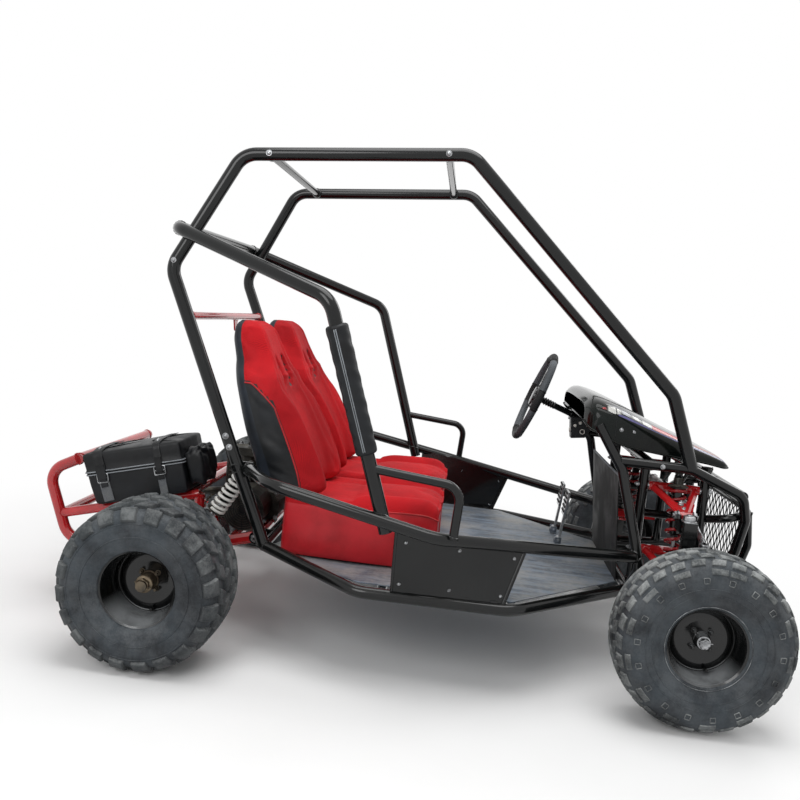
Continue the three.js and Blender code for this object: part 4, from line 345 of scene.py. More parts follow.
def hex_bolt(form, at, axis, size=16, height=8, finish=0):
    """A washer, a six-sided head with turned corners, and the end of the shank."""
    r = size / 2
    turned(form, [(0, -1), (r * 1.45, -1), (r * 1.45, 1.2), (r * 1.38, 1.8), (0, 1.8)], at, axis, 24, finish)
    turned(form, [(0, 0), (r * 1.08, 0), (r * 1.15, 1), (r * 1.15, height - 1), (r * 1.02, height),
                  (0, height)],
           at + axis.normalized() * 1.8, axis, 6, finish)
    turned(form, [(0, 0), (r * 0.6, 0), (r * 0.6, 3.2), (r * 0.45, 4), (0, 4)],
           at + axis.normalized() * (1.8 + height), axis, 16, finish)


def weld(form, at, along, radius, other_at, other_along, other_radius, bead=3.0, finish=0, steps=40):
    """A rippled bead where one tube meets the side of another. The first points away from the second."""
    along, other_along = along.normalized(), other_along.normalized()
    u, v = square_to(along)
    stations = []
    flat = along - other_along * along.dot(other_along)
    for i in range(steps):
        rim = at + spun(u, v, TURN * i / steps) * radius
        off = rim - other_at
        off -= other_along * off.dot(other_along)
        a, b, c = flat.length_squared, 2 * flat.dot(off), off.length_squared - other_radius ** 2
        reach = (-b + math.sqrt(max(b * b - 4 * a * c, 0))) / (2 * a)
        stations.append(rim + along * reach)
    ring = looped(stations)
    u, _ = square_to(ring[0][1])
    rings, heading = [], ring[0][1]
    for i, (p, h) in enumerate(ring):
        u = heading.rotation_difference(h) @ u
        heading = h
        w = h.cross(u)
        size = bead * (1.0 + 0.22 * math.sin(2.2 * i))
        rings.append([p + spun(u, w, math.pi * k / 3) * size for k in range(6)])
    skin(form, rings, finish, closed=True)


def make_mesh(name, form, finishes, smooth=38.0):
    """A clean mesh in metres from a form, its faces outward and its soft edges shaded smooth."""
    mesh = bpy.data.meshes.new(name)
    mesh.from_pydata([p * MM for p in form.points], [], form.faces)
    for index, face in enumerate(mesh.polygons):
        face.material_index = form.finishes[index]
    work = bmesh.new()
    work.from_mesh(mesh)
    bmesh.ops.remove_doubles(work, verts=work.verts, dist=0.004 * MM)
    bmesh.ops.dissolve_degenerate(work, edges=work.edges, dist=0.002 * MM)
    bmesh.ops.recalc_face_normals(work, faces=work.faces)
    work.to_mesh(mesh)
    work.free()
    for finish in finishes:
        mesh.materials.append(finish)
    mesh.polygons.foreach_set("use_smooth", [True] * len(mesh.polygons))
    mesh.set_sharp_from_angle(angle=math.radians(smooth))
    return mesh


def shown_name(name):
    """A piece's own name, set apart from the CAD node that it stands for."""
    return name + "_shown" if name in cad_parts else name


def link_new(name, data):
    """A new object of the scene."""
    thing = bpy.data.objects.new(name, data)
    bpy.context.scene.collection.objects.link(thing)
    return thing


def piece(name, form, finishes, body, bevel=0.0, nodes=None, smooth=38.0, rounds=0):
    """One piece of the kart, riding on its body. Bevel rounds its hard edges, and rounds subdivides it.

    It stands for the CAD node of its own name where there is one, or for the nodes that are given.
    """
    if isinstance(finishes, str):
        finishes = [finishes]
    mesh = make_mesh(name, form, [FINISHES[finish] for finish in finishes], smooth)
    thing = link_new(shown_name(name), mesh)
    if nodes is None:
        nodes = [name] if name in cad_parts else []
    if bevel:
        edge = thing.modifiers.new("soft_edges", "BEVEL")
        edge.width = bevel * MM
        edge.segments = 2
        edge.limit_method = "ANGLE"
        edge.angle_limit = math.radians(40)
        edge.harden_normals = False
    if rounds:
        finer = thing.modifiers.new("rounding", "SUBSURF")
        finer.levels = finer.render_levels = rounds
    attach(thing, body)
    if nodes:
        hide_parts(*nodes)
    return thing


# Finishes: procedural materials. Shared effects are node groups, made once

def linear(hex_colour):
    """A colour written as it looks, turned into the linear values that a shader takes."""
    channels = [int(hex_colour[i:i + 2], 16) / 255 for i in (1, 3, 5)]
    return tuple(c / 12.92 if c <= 0.04045 else ((c + 0.055) / 1.055) ** 2.4 for c in channels) + (1.0,)


def start_group(name, outputs, **numbers):
    """A node group that takes a place and some numbers, with the sockets of its two ends."""
    group = bpy.data.node_groups.new(name, "ShaderNodeTree")
    group.interface.new_socket(name="Place", in_out="INPUT", socket_type="NodeSocketVector")
    for label, value in numbers.items():
        made = group.interface.new_socket(name=label, in_out="INPUT", socket_type="NodeSocketFloat")
        made.default_value = value
    for label in outputs:
        group.interface.new_socket(name=label, in_out="OUTPUT", socket_type="NodeSocketFloat")
    return group, group.nodes.new("NodeGroupInput").outputs, group.nodes.new("NodeGroupOutput").inputs


def node(tree, kind, settings=None, **inputs):
    """A node with its settings, and its inputs by name or, with an underscore, by number."""
    made = tree.nodes.new(kind)
    for key, value in (settings or {}).items():
        setattr(made, key, value)
    for key, value in inputs.items():
        socket = made.inputs[int(key[1:])] if key[0] == "_" else made.inputs[key.replace("_", " ")]
        if isinstance(value, bpy.types.NodeSocket):
            tree.links.new(value, socket)
        else:
            socket.default_value = value
    return made


def noise(tree, place_socket, scale, detail=4.0, roughness=0.6, distortion=0.0):
    return node(tree, "ShaderNodeTexNoise", Vector=place_socket, Scale=scale, Detail=detail,
                Roughness=roughness, Distortion=distortion).outputs["Fac"]


def band(tree, value, low, high, to_low=0.0, to_high=1.0):
    """A value mapped from one range to another, held at its ends."""
    return node(tree, "ShaderNodeMapRange", {"clamp": True, "interpolation_type": "SMOOTHSTEP"}, Value=value,
                From_Min=low, From_Max=high, To_Min=to_low, To_Max=to_high).outputs["Result"]


def maths(tree, operation, a, b=0.0):
    return node(tree, "ShaderNodeMath", {"operation": operation}, _0=a, _1=b).outputs["Value"]


def plus(tree, a, b):
    return maths(tree, "ADD", a, b)


def times(tree, a, b):
    return maths(tree, "MULTIPLY", a, b)


def facing_up(tree):
    """How far a face looks up, from -1 to 1."""
    normal = tree.nodes.new("ShaderNodeNewGeometry").outputs["Normal"]
    return node(tree, "ShaderNodeSeparateXYZ", Vector=normal).outputs["Z"]


def dust_group():
    """Dry dust: patchy, thicker low down and on faces that look up; on the turning tyres and rims the paler tops are
    partly painted top light.
    """
    group, into, out_of = start_group("dry_dust", ("Mask",), Scale=9.0, Cover=0.5, Low=0.2, High=1.0)
    broad = noise(group, into["Place"], into["Scale"], 6.0, 0.65)
    fine = noise(group, into["Place"], times(group, into["Scale"], 13.0), 3.0, 0.7)
    patches = band(group, plus(group, times(group, broad, 0.75), times(group, fine, 0.25)), 0.36, 0.66)
    height = node(group, "ShaderNodeSeparateXYZ", Vector=into["Place"]).outputs["Z"]
    lowness = node(group, "ShaderNodeMapRange", {"clamp": True}, Value=height, From_Min=into["Low"],
                   From_Max=into["High"], To_Min=1.0, To_Max=0.18).outputs["Result"]
    # More on faces that look up: settled dust, and on the turning tyres and rims painted top light as well
    upward_dust_and_top_light = band(group, facing_up(group), -0.2, 0.9, 0.35, 1.0)
    cover = times(group, times(group, patches, lowness), times(group, upward_dust_and_top_light, into["Cover"]))
    group.links.new(cover, out_of["Mask"])
    return group


def scuff_group():
    """Fine scratches and rubbed patches, as a mask."""
    group, into, out_of = start_group("scuffs", ("Mask",), Scale=30.0, Amount=0.4)
    stretched = node(group, "ShaderNodeMapping", Vector=into["Place"], Scale=(1.0, 6.0, 0.5),
                     Rotation=(0.3, 0.2, 0.6))
    lines = noise(group, stretched.outputs["Vector"], into["Scale"], 8.0, 0.75, 0.4)
    patches = noise(group, into["Place"], times(group, into["Scale"], 0.25), 3.0)
    marks = times(group, band(group, lines, 0.6, 0.7), band(group, patches, 0.45, 0.65))
    group.links.new(times(group, marks, into["Amount"]), out_of["Mask"])
    return group


def grain_group():
    """The pebbled skin of vinyl, rubber and moulded plastic: a height and a shade that varies with it."""
    group, into, out_of = start_group("pebble_grain", ("Height", "Shade"), Scale=700.0)
    cells = node(group, "ShaderNodeTexVoronoi", {"feature": "SMOOTH_F1"}, Vector=into["Place"],
                 Scale=into["Scale"], Randomness=1.0).outputs["Distance"]
    broad = noise(group, into["Place"], times(group, into["Scale"], 0.02), 4.0)
    group.links.new(maths(group, "SUBTRACT", times(group, broad, 0.6), cells), out_of["Height"])
    group.links.new(band(group, broad, 0.3, 0.7), out_of["Shade"])
    return group


def weave_group():
    """Crossed threads: a height, and a mask of the open holes of a mesh cloth."""
    group, into, out_of = start_group("crossed_threads", ("Height", "Holes"), Threads=900.0)
    axes = node(group, "ShaderNodeSeparateXYZ", Vector=into["Place"])
    across = maths(group, "SINE", times(group, axes.outputs["Y"], into["Threads"]))
    along_place = plus(group, axes.outputs["Z"], times(group, axes.outputs["X"], 0.8))
    along = maths(group, "SINE", times(group, along_place, into["Threads"]))
    group.links.new(times(group, across, along), out_of["Height"])
    group.links.new(band(group, maths(group, "MINIMUM", across, along), 0.1, 0.6), out_of["Holes"])
    return group


def flow_group():
    """The slight waviness of brushed or sprayed paint, as a height."""
    group, into, out_of = start_group("paint_flow", ("Height",), Scale=90.0)
    peel = noise(group, into["Place"], into["Scale"], 2.0, 0.5)
    grit = noise(group, into["Place"], times(group, into["Scale"], 9.0), 2.0, 0.6)
    group.links.new(plus(group, peel, times(group, grit, 0.12)), out_of["Height"])
    return group


GROUPS = {}
FINISHES = {}


def group_node(tree, name, place_socket, **values):
    made = tree.nodes.new("ShaderNodeGroup")
    made.node_tree = GROUPS[name]
    tree.links.new(place_socket, made.inputs["Place"])
    for key, value in values.items():
        made.inputs[key].default_value = value
    return made.outputs


class Finish:
    """A Principled material under way, with its place socket and shorthand for its mixes."""

    def __init__(self, name, roughness, metallic=0.0, coat=0.0, coat_roughness=0.1, specular=0.3):
        self.material = bpy.data.materials.new(name)
        self.material.use_nodes = True
        self.tree = self.material.node_tree
        self.shader = next(n for n in self.tree.nodes if n.type == "BSDF_PRINCIPLED")
        for label, value in (("Roughness", roughness), ("Metallic", metallic), ("Coat Weight", coat),
                             ("Coat Roughness", coat_roughness), ("Specular IOR Level", specular)):
            self.shader.inputs[label].default_value = value
        self.place = self.tree.nodes.new("ShaderNodeTexCoord").outputs["Object"]
        FINISHES[name] = self.material

    def blend(self, mask, under, over):
        """A colour that goes from under to over with the mask; both may be colours or sockets."""
        mix = self.tree.nodes.new("ShaderNodeMix")
        mix.data_type = "RGBA"
        self.tree.links.new(mask, mix.inputs["Factor"])
        for socket, colour in ((mix.inputs[6], under), (mix.inputs[7], over)):
            if isinstance(colour, bpy.types.NodeSocket):
                self.tree.links.new(colour, socket)
            else:
                socket.default_value = linear(colour)
        return mix.outputs[2]

    def colour(self, socket):
        self.tree.links.new(socket, self.shader.inputs["Base Color"])

    def rough(self, mask, low, high):
        self.tree.links.new(band(self.tree, mask, 0.0, 1.0, low, high), self.shader.inputs["Roughness"])

    def bump(self, height, strength, depth):
        made = node(self.tree, "ShaderNodeBump", Height=height, Strength=strength, Distance=depth * MM)
        self.tree.links.new(made.outputs["Normal"], self.shader.inputs["Normal"])

    def group(self, name, **values):
        return group_node(self.tree, name, self.place, **values)

    def maths(self, operation, a, b=0.0):
        return maths(self.tree, operation, a, b)

    def plus(self, a, b):
        return plus(self.tree, a, b)

    def times(self, a, b):
        return times(self.tree, a, b)

    def band(self, value, low, high, to_low=0.0, to_high=1.0):
        return band(self.tree, value, low, high, to_low, to_high)

    def noise(self, scale, detail=4.0, roughness=0.6, distortion=0.0):
        return noise(self.tree, self.place, scale, detail, roughness, distortion)


def paint(name, colour, worn, dust, cover, low=0.15, high=1.3, roughness=(0.16, 0.34), coat=0.2, specular=0.28,
          dust_and_sheen=None):
    """Sprayed paint on steel with its flow, chips along scuffs and dust that has settled. A given pale coat on faces
    that look up is partly lying dust and partly painted sheen of the sky.
    """
    made = Finish(name, roughness[0], 0.0, coat, 0.06, specular)
    scuffs = made.group("scuffs", Scale=26.0, Amount=0.5)["Mask"]
    dusty = made.group("dry_dust", Scale=7.0, Cover=cover, Low=low, High=high)["Mask"]
    tint = made.blend(made.band(made.noise(3.0, 5.0), 0.35, 0.65), colour, worn)
    chipped = made.blend(scuffs, tint, worn)
    # Pale coat on faces that look up: lying dust, and painted sheen of the sky
    if dust_and_sheen:
        chipped = made.blend(lying_dust_and_sky_sheen(made), chipped, dust_and_sheen)
    made.colour(made.blend(dusty, chipped, dust))
    made.rough(made.plus(dusty, scuffs), *roughness)
    made.bump(made.group("paint_flow", Scale=70.0)["Height"], 0.12, 0.35)


def lying_dust_and_sky_sheen(made):
    """Mask of a pale coat where a wall looks up, as in the lower half of a rim: partly dust that lies there, partly
    painted sheen of the sky on the lit faces.
    """
    return made.times(made.band(facing_up(made.tree), 0.3, 0.95), made.band(made.noise(14.0, 3.0), 0.1, 0.6))


def rubber(name, colour, pale, dust, cover, roughness=(0.72, 0.95), grain=420.0):
    """Tyre rubber: fine pebble, pale bloom in patches, and dry earth on the tread, paler on faces that look up, which
    on a turning wheel is partly painted top light.
    """
    made = Finish(name, roughness[0])
    grained = made.group("pebble_grain", Scale=grain)
    # Paler on the tread's faces that look up: dust, and painted top light
    dusty = made.group("dry_dust", Scale=16.0, Cover=cover, Low=-0.3, High=2.0)["Mask"]
    bloom = made.band(made.noise(6.0, 8.0, 0.7), 0.38, 0.66)
    made.colour(made.blend(dusty, made.blend(bloom, colour, pale), dust))
    made.rough(bloom, *roughness)
    height = made.plus(grained["Height"], made.times(made.noise(60.0, 5.0), 1.5))
    made.bump(height, 0.35, 0.6)


def metal(name, colour, dull, roughness, worn_cover=0.35, metallic=0.9):
    """Bare or plated metal, dulled in patches and lightly scratched."""
    made = Finish(name, roughness[0], metallic)
    scuffs = made.group("scuffs", Scale=90.0, Amount=0.6)["Mask"]
    dusty = made.group("dry_dust", Scale=22.0, Cover=worn_cover, Low=0.1, High=1.2)["Mask"]
    tint = made.blend(made.band(made.noise(35.0, 6.0), 0.3, 0.7), colour, dull)
    made.colour(made.blend(scuffs, made.blend(dusty, tint, dull), colour))
    made.rough(dusty, *roughness)
    made.bump(made.noise(260.0, 4.0), 0.15, 0.25)


def vinyl(name, colour, worn, roughness=(0.38, 0.6), dust="#6b675e", cover=0.25, grain=620.0):
    """Padded vinyl: pebbled, creased, greyed where it has been rubbed."""
    made = Finish(name, roughness[0])
    grained = made.group("pebble_grain", Scale=grain)
    scuffs = made.group("scuffs", Scale=18.0, Amount=0.35)["Mask"]
    dusty = made.group("dry_dust", Scale=8.0, Cover=cover, Low=0.2, High=1.2)["Mask"]
    tint = made.blend(made.band(made.noise(7.0, 5.0), 0.35, 0.7), colour, worn)
    made.colour(made.blend(dusty, made.blend(scuffs, tint, worn), dust))
    made.rough(grained["Shade"], *roughness)
    creases = made.noise(14.0, 3.0, 0.5, 1.2)
    made.bump(made.plus(grained["Height"], made.times(creases, 3.0)), 0.3, 0.8)


def mesh_cloth(name, colour, shade, deep, dust="#8d4a46", cover=0.05):
    """Knitted sport mesh: crossed threads with small holes, which are painted darker as shade, faded in soft patches.
    """
    made = Finish(name, 0.78, specular=0.12)
    threads = made.group("crossed_threads", Threads=4600.0)
    dusty = made.group("dry_dust", Scale=6.0, Cover=cover, Low=0.3, High=1.1)["Mask"]
    faded = made.blend(made.band(made.noise(5.0, 5.0), 0.35, 0.68), colour, shade)
    # The holes take the darker colour: painted shade inside them
    made.colour(made.blend(dusty, made.blend(threads["Holes"], faded, deep), dust))
    made.rough(threads["Holes"], 0.68, 0.9)
    made.shader.inputs["Sheen Weight"].default_value = 0.02
    height = made.plus(threads["Height"], made.times(made.noise(22.0, 4.0), 2.0))
    made.bump(height, 0.3, 0.7)


def pan_steel():
    """Bare grey-blue sheet underfoot: streaks along the kart, dried mud and scratches."""
    made = Finish("floor_steel", 0.5, 0.35)
    stretched = node(made.tree, "ShaderNodeMapping", Vector=made.place, Scale=(1.2, 9.0, 4.0)).outputs["Vector"]
    streaks = noise(made.tree, stretched, 5.0, 9.0, 0.72)
    dusty = made.group("dry_dust", Scale=5.0, Cover=1.0, Low=0.1, High=2.0)["Mask"]
    scuffs = made.group("scuffs", Scale=40.0, Amount=0.8)["Mask"]
    tint = made.blend(made.band(streaks, 0.34, 0.66), "#3d4650", "#7c8896")
    made.colour(made.blend(scuffs, made.blend(dusty, tint, "#93928e"), "#24272b"))
    made.rough(streaks, 0.42, 0.8)
    made.bump(made.plus(streaks, made.times(made.noise(160.0, 4.0), 0.3)), 0.3, 1.2)


def cast_metal():
    """Sand-cast alloy of the engine, oily and dusty."""
    made = Finish("cast_alloy", 0.55, 0.55)
    grained = made.group("pebble_grain", Scale=260.0)
    dusty = made.group("dry_dust", Scale=14.0, Cover=0.9, Low=0.2, High=1.4)["Mask"]
    tint = made.blend(made.band(made.noise(12.0, 7.0, 0.7), 0.36, 0.64), "#4c4b48", "#22211f")
    made.colour(made.blend(dusty, tint, "#625d52"))
    made.rough(grained["Shade"], 0.45, 0.75)
    made.bump(grained["Height"], 0.5, 1.0)


def webbing():
    """Woven strap: ribs across, with painted shade in the hollows."""
    made = Finish("grey_webbing", 0.8)
    axes = node(made.tree, "ShaderNodeSeparateXYZ", Vector=made.place)
    ribs = made.maths("SINE", made.times(axes.outputs["Z"], 2600.0))
    rows = made.maths("SINE", made.times(axes.outputs["X"], 1400.0))
    both = made.times(ribs, rows)
    # Colour follows the ribs' height: painted shade in the hollows
    tint = made.blend(made.band(both, -1.0, 1.0), "#2f3236", "#7c8085")
    dusty = made.group("dry_dust", Scale=20.0, Cover=0.5, Low=0.2, High=1.0)["Mask"]
    made.colour(made.blend(dusty, tint, "#8f8b80"))
    made.rough(made.band(both, -1.0, 1.0), 0.65, 0.9)
    made.bump(both, 0.4, 0.6)


def cowl_paint():
    """Near-black gloss with plain bands of colour that taper along the crown's edges."""
    made = Finish("striped_cowl", 0.22, 0.0, 0.05, 0.1, 0.16)
    axes = node(made.tree, "ShaderNodeSeparateXYZ", Vector=made.place)
    along = axes.outputs["X"]
    # Distance from the middle, as if the cowl were as wide at its nose as at its rear, in metres
    across = made.plus(made.maths("ABSOLUTE", axes.outputs["Y"]),
                       made.times(made.maths("SUBTRACT", along, 0.633), COWL_TAPER))
    base = made.blend(made.band(made.noise(4.0, 4.0), 0.3, 0.7), "#040607", "#0b1311")
    line = made.plus(across, made.times(made.noise(9.0, 2.0), 0.0016))
    crown = made.band(made.plus(axes.outputs["Z"], made.times(along, 0.33)), 0.9885, 0.9900)
    colour = base
    for tint, low, high, start, end in COWL_BANDS:
        inside = made.times(made.band(line, low - 0.0006, low + 0.0006),
                            made.band(line, high + 0.0006, high - 0.0006))
        inside = made.times(inside, made.band(along, start - 0.003, start + 0.003))
        inside = made.times(inside, made.band(along, end + 0.006, end - 0.006))
        colour = made.blend(made.times(inside, crown), colour, tint)
    dusty = made.group("dry_dust", Scale=11.0, Cover=0.2, Low=0.4, High=1.0)["Mask"]
    made.colour(made.blend(dusty, colour, "#5b584f"))
    made.rough(dusty, 0.12, 0.4)
    made.bump(made.group("paint_flow", Scale=40.0)["Height"], 0.06, 0.3)


COWL_TAPER = 0.2236
# Colour, inner and outer edge on the straightened width, and where along the kart each band runs, in metres
COWL_BANDS = [("#a82a30", 0.300, 0.326, 0.552, 0.576), ("#c6c6c2", 0.292, 0.318, 0.584, 0.622),
              ("#8f9296", 0.292, 0.312, 0.628, 0.650), ("#c6c6c2", 0.288, 0.310, 0.662, 0.684),
              ("#c6c6c2", 0.286, 0.314, 0.694, 0.722), ("#b02a30", 0.284, 0.314, 0.724, 0.815),
              ("#5d5a86", 0.3185, 0.3265, 0.615, 0.96), ("#a82a30", 0.286, 0.308, 0.862, 0.955),
              ("#c6c6c2", 0.3115, 0.3150, 0.800, 0.955), ("#9c9ca6", 0.276, 0.281, 0.60, 0.80)]


def make_finishes():
    """All node groups and finishes of the kart, made once before the pieces."""
    GROUPS.update(dry_dust=dust_group(), scuffs=scuff_group(), pebble_grain=grain_group(),
                  crossed_threads=weave_group(), paint_flow=flow_group())
    look = bpy.context.scene.kart_looks
    paint("black_paint", to_hex(look.frame_colour), "#0c0e0f", "#45433c", 0.12, 0.1, 1.1)
    paint("red_paint", to_hex(look.suspension_colour), "#9a1318", "#7c5a50", 0.2, 0.1, 1.0, (0.14, 0.34),
          0.5, 0.5)
    paint("red_coil", "#8e1218", "#5c0c10", "#6d4c44", 0.25, 0.1, 1.0, (0.25, 0.45))
    # The last colour is a pale coat on the rims' faces that look up: dust, and painted sheen of the sky
    paint("rim_paint", "#050606", "#0e0f10", "#2b2b2a", 0.22, -0.2, 1.2, (0.16, 0.36), 0.2, 0.35, "#8b8e90")
    rubber("tread_rubber", to_hex(look.tyre_colour), "#3c4042", "#8a8d8d", 0.8)
    rubber("sidewall_rubber", "#191c20", "#3c4247", "#74787b", 0.65, (0.5, 0.8), 300.0)
    rubber("dusty_tread", "#191b1d", "#54585a", "#a6a9a8", 1.1)
    metal("zinc", "#b9bbbd", "#77787a", (0.28, 0.55))
    metal("bright_edge", "#8d9092", "#45474a", (0.25, 0.4))
    metal("rusty_brass", "#857864", "#463b30", (0.45, 0.75), 0.7, 0.7)
    metal("dark_chain", "#3d3a36", "#6b6152", (0.45, 0.75), 0.6)
    paint("white_coil", "#f2f2f0", "#d6d5d0", "#a8a49a", 0.2, 0.2, 0.9, (0.22, 0.4), 0.3, 0.5)
    vinyl("black_vinyl", "#07080a", "#15181c", dust="#37383a", cover=0.15)
    vinyl("seat_shell", "#12161c", "#232a34", (0.4, 0.62), "#3a3f46", 0.15, 380.0)
    vinyl("box_plastic", "#050608", "#101318", (0.38, 0.6), "#33373b", 0.12, 500.0)
    vinyl("grey_grip", "#3a3e42", "#565b60", (0.5, 0.75), grain=500.0)
    vinyl("piping", "#8a8f94", "#6f7377", (0.45, 0.6))
    vinyl("red_piping", "#c2252c", "#8f1519", (0.4, 0.6))
    # The last colour is painted shade in the cloth's holes
    mesh_cloth("red_cloth", to_hex(look.seat_colour), "#a5161d", "#6e0f14")
    vinyl("red_cushion", "#c2222b", "#a01a20", (0.3, 0.5), "#9a4a48", 0.05, 480.0)
    vinyl("pale_plastic", "#dcdcd6", "#b9b9b2", (0.3, 0.5))
    vinyl("black_rubber", "#0a0b0c", "#191b1c", (0.55, 0.8), "#3a3934", 0.2, 350.0)
    pan_steel()
    cast_metal()
    webbing()
    cowl_paint()


def to_hex(colour):
    """A property's linear colour as the hex text that the finishes take."""
    def channel(c):
        value = c * 12.92 if c <= 0.0031308 else 1.055 * c ** (1 / 2.4) - 0.055
        return round(max(0.0, min(1.0, value)) * 255)
    return "#" + "".join(f"{channel(c):02x}" for c in colour[:3])


# The tube frame

def build_cage_sides():
    for tag, sign in SIDES:
        points = places(CAGE, sign)
        form = Form()
        tube(form, points, CAGE_TUBE, CAGE_BEND, 28)
        foot, knee = points[:2]
        # Rear shock's upper bolt, its lug and the web that joins the lug to the pillar
        at = Vector((REAR_SHOCK_TOP[0], sign * REAR_SHOCK_Y, REAR_SHOCK_TOP[1]))
        out = Y * sign
        block(form, at + out * 15 - X * 56 - Z * 13, at + out * 21 + X * 12 + Z * 13)
        web = at - X * 28 + out * 18
        rod(form, web, web + out * 36, BRACE_TUBE, 20)
        weld(form, web + out * 4, out, BRACE_TUBE / 2, Vector((web.x, sign * PILLAR_HALF_WIDTH, web.z)),
             along_of(foot, knee), CAGE_TUBE / 2, 2.4)
        # Beads where the pillar stands on the lower rail and where it passes the cross bars
        weld(form, foot, along_of(foot, knee), CAGE_TUBE / 2, foot, along_of(*places(PERIMETER[:2], sign)),
             RAIL_TUBE / 2)
        piece(f"cage_side_{tag}", form, "black_paint", "frame", 0.8)
        bolts = Form()
        for share in (0.6, 0.64):
            dome_bolt(bolts, knee.lerp(foot, share) + out * (CAGE_TUBE / 2 - 0.5), out, 14)
        for share in (0.12, 0.9):
            rail = points[2].lerp(points[3], share)
            dome_bolt(bolts, rail + out * (CAGE_TUBE / 2 - 0.5), out, 13)
        dome_bolt(bolts, points[1].lerp(points[2], 0.06) + out * (CAGE_TUBE / 2 - 0.5), out, 12)
        hex_bolt(bolts, at + out * 21, out, 12, 7)
        hex_bolt(bolts, at - out * 17, -out, 12, 7)
        rod(bolts, at - out * 18, at + out * 22, 12, 20)
        piece(f"frame_bolts_{tag}", bolts, "zinc", "frame", bevel=0.3)


def build_roof_bars():
    for label, share in (("rear", 0.12), ("front", 0.9)):
        at = place(CAGE[2]).lerp(place(CAGE[3]), share)
        form = Form()
        rod(form, at, Vector((at.x, -at.y, at.z)), BRACE_TUBE, 24)
        for _, sign in SIDES:
            rail = Vector((at.x, sign * at.y, at.z))
            inward = -Y * sign
            turned(form, [(0, 12), (18, 12), (18, 22), (17, 24), (13.4, 24), (12.6, 26.5), (0, 26.5)], rail,
                   inward, 32)
            weld(form, rail, inward, BRACE_TUBE / 2, rail, along_of(place(CAGE[2]), place(CAGE[3])),
                 CAGE_TUBE / 2, 2.2)
        piece(f"roof_bar_{label}", form, "black_paint", "frame", 0.6)


HOOP_CROSSING_Y = 392
PAD_RADIUS, PAD_FLARE = 29.5, 1.5


def build_shoulder_hoop():
    form = Form()
    tube(form, places(HOOP, -1)[::-1] + places(HOOP, 1), CAGE_TUBE, CAGE_BEND, 28)
    for _, sign in SIDES:
        # Sleeve and bead where the hoop crosses the rear pillar
        top, shoulder = places(HOOP[:2], sign)
        weld(form, Vector((top.x, sign * HOOP_CROSSING_Y, top.z)), -Y * sign, CAGE_TUBE / 2,
             place((-0.03, 0.975, 0.79), sign), along_of(*places(CAGE[1:3], sign)), CAGE_TUBE / 2, 2.6)
        foot = places(HOOP, sign)[2]
        rail = rail_at(SIDE_RAIL, 0.421, sign)
        weld(form, foot, along_of(foot, shoulder), CAGE_TUBE / 2, rail, along_of(*places(SIDE_RAIL[1:3], sign)),
             RAIL_TUBE / 2, 2.8)
    piece("shoulder_hoop", form, "black_paint", "frame", 0.6)


def build_shoulder_pad():
    """Vinyl sleeve laced round the right leg: a long soft tube with a piped seam and creases."""
    top, foot = places(HOOP[1:], -1)
    axis = along_of(top, foot)
    start = top.lerp(foot, 0.06 + CAGE_BEND / CAGE_HEIGHT)
    length = (top.lerp(foot, 0.66) - start).length
    outward = (-Y - axis * (-Y).dot(axis)).normalized()
    across = axis.cross(outward)
    form = Form()
    rings = []
    rows, sides = 90, 48
    for row in range(rows + 1):
        share = row / rows
        ends = min(share, 1 - share) * length
        size = (PAD_RADIUS + PAD_FLARE * (1 - share)) * min(1.0, 0.74 + 0.26 * math.sin(min(ends / 7, 1) * math.pi / 2))
        ring = []
        for k in range(sides):
            angle = TURN * k / sides
            fold = 0.55 * math.sin(34 * share + 2.5 * math.cos(angle)) + 0.5 * math.sin(61 * share + 3 * angle)
            crease = 1.4 * math.exp(-((math.cos(angle) - 1) / 0.05) ** 2)
            squash = 1 + 0.03 * math.cos(2 * angle)
            radius = size * squash + fold * min(1, ends / 20) - crease
            ring.append(start + axis * (share * length)
                        + outward * radius * math.cos(angle) + across * radius * math.sin(angle))
        rings.append(ring)
    skin(form, rings)
    pad = piece("shoulder_pad", form, "black_vinyl", "frame", rounds=1)
    seam = Form()
    for angle in (0.0, 0.16):
        stations = []
        for row in range(41):
            share = row / 40
            at = start + axis * (length * (0.02 + 0.96 * share))
            side = spun(outward, across, angle)
            reach = PAD_RADIUS + 0.1 + PAD_FLARE * (1 - share) + 0.4 * math.sin(40 * share)
            if share in (0.0, 1.0):
                reach -= 5
            stations.append((at + side * reach, axis))
        sweep(seam, stations, 1.5, 10)
    ride_on = piece("shoulder_pad_piping", seam, "piping", "frame")


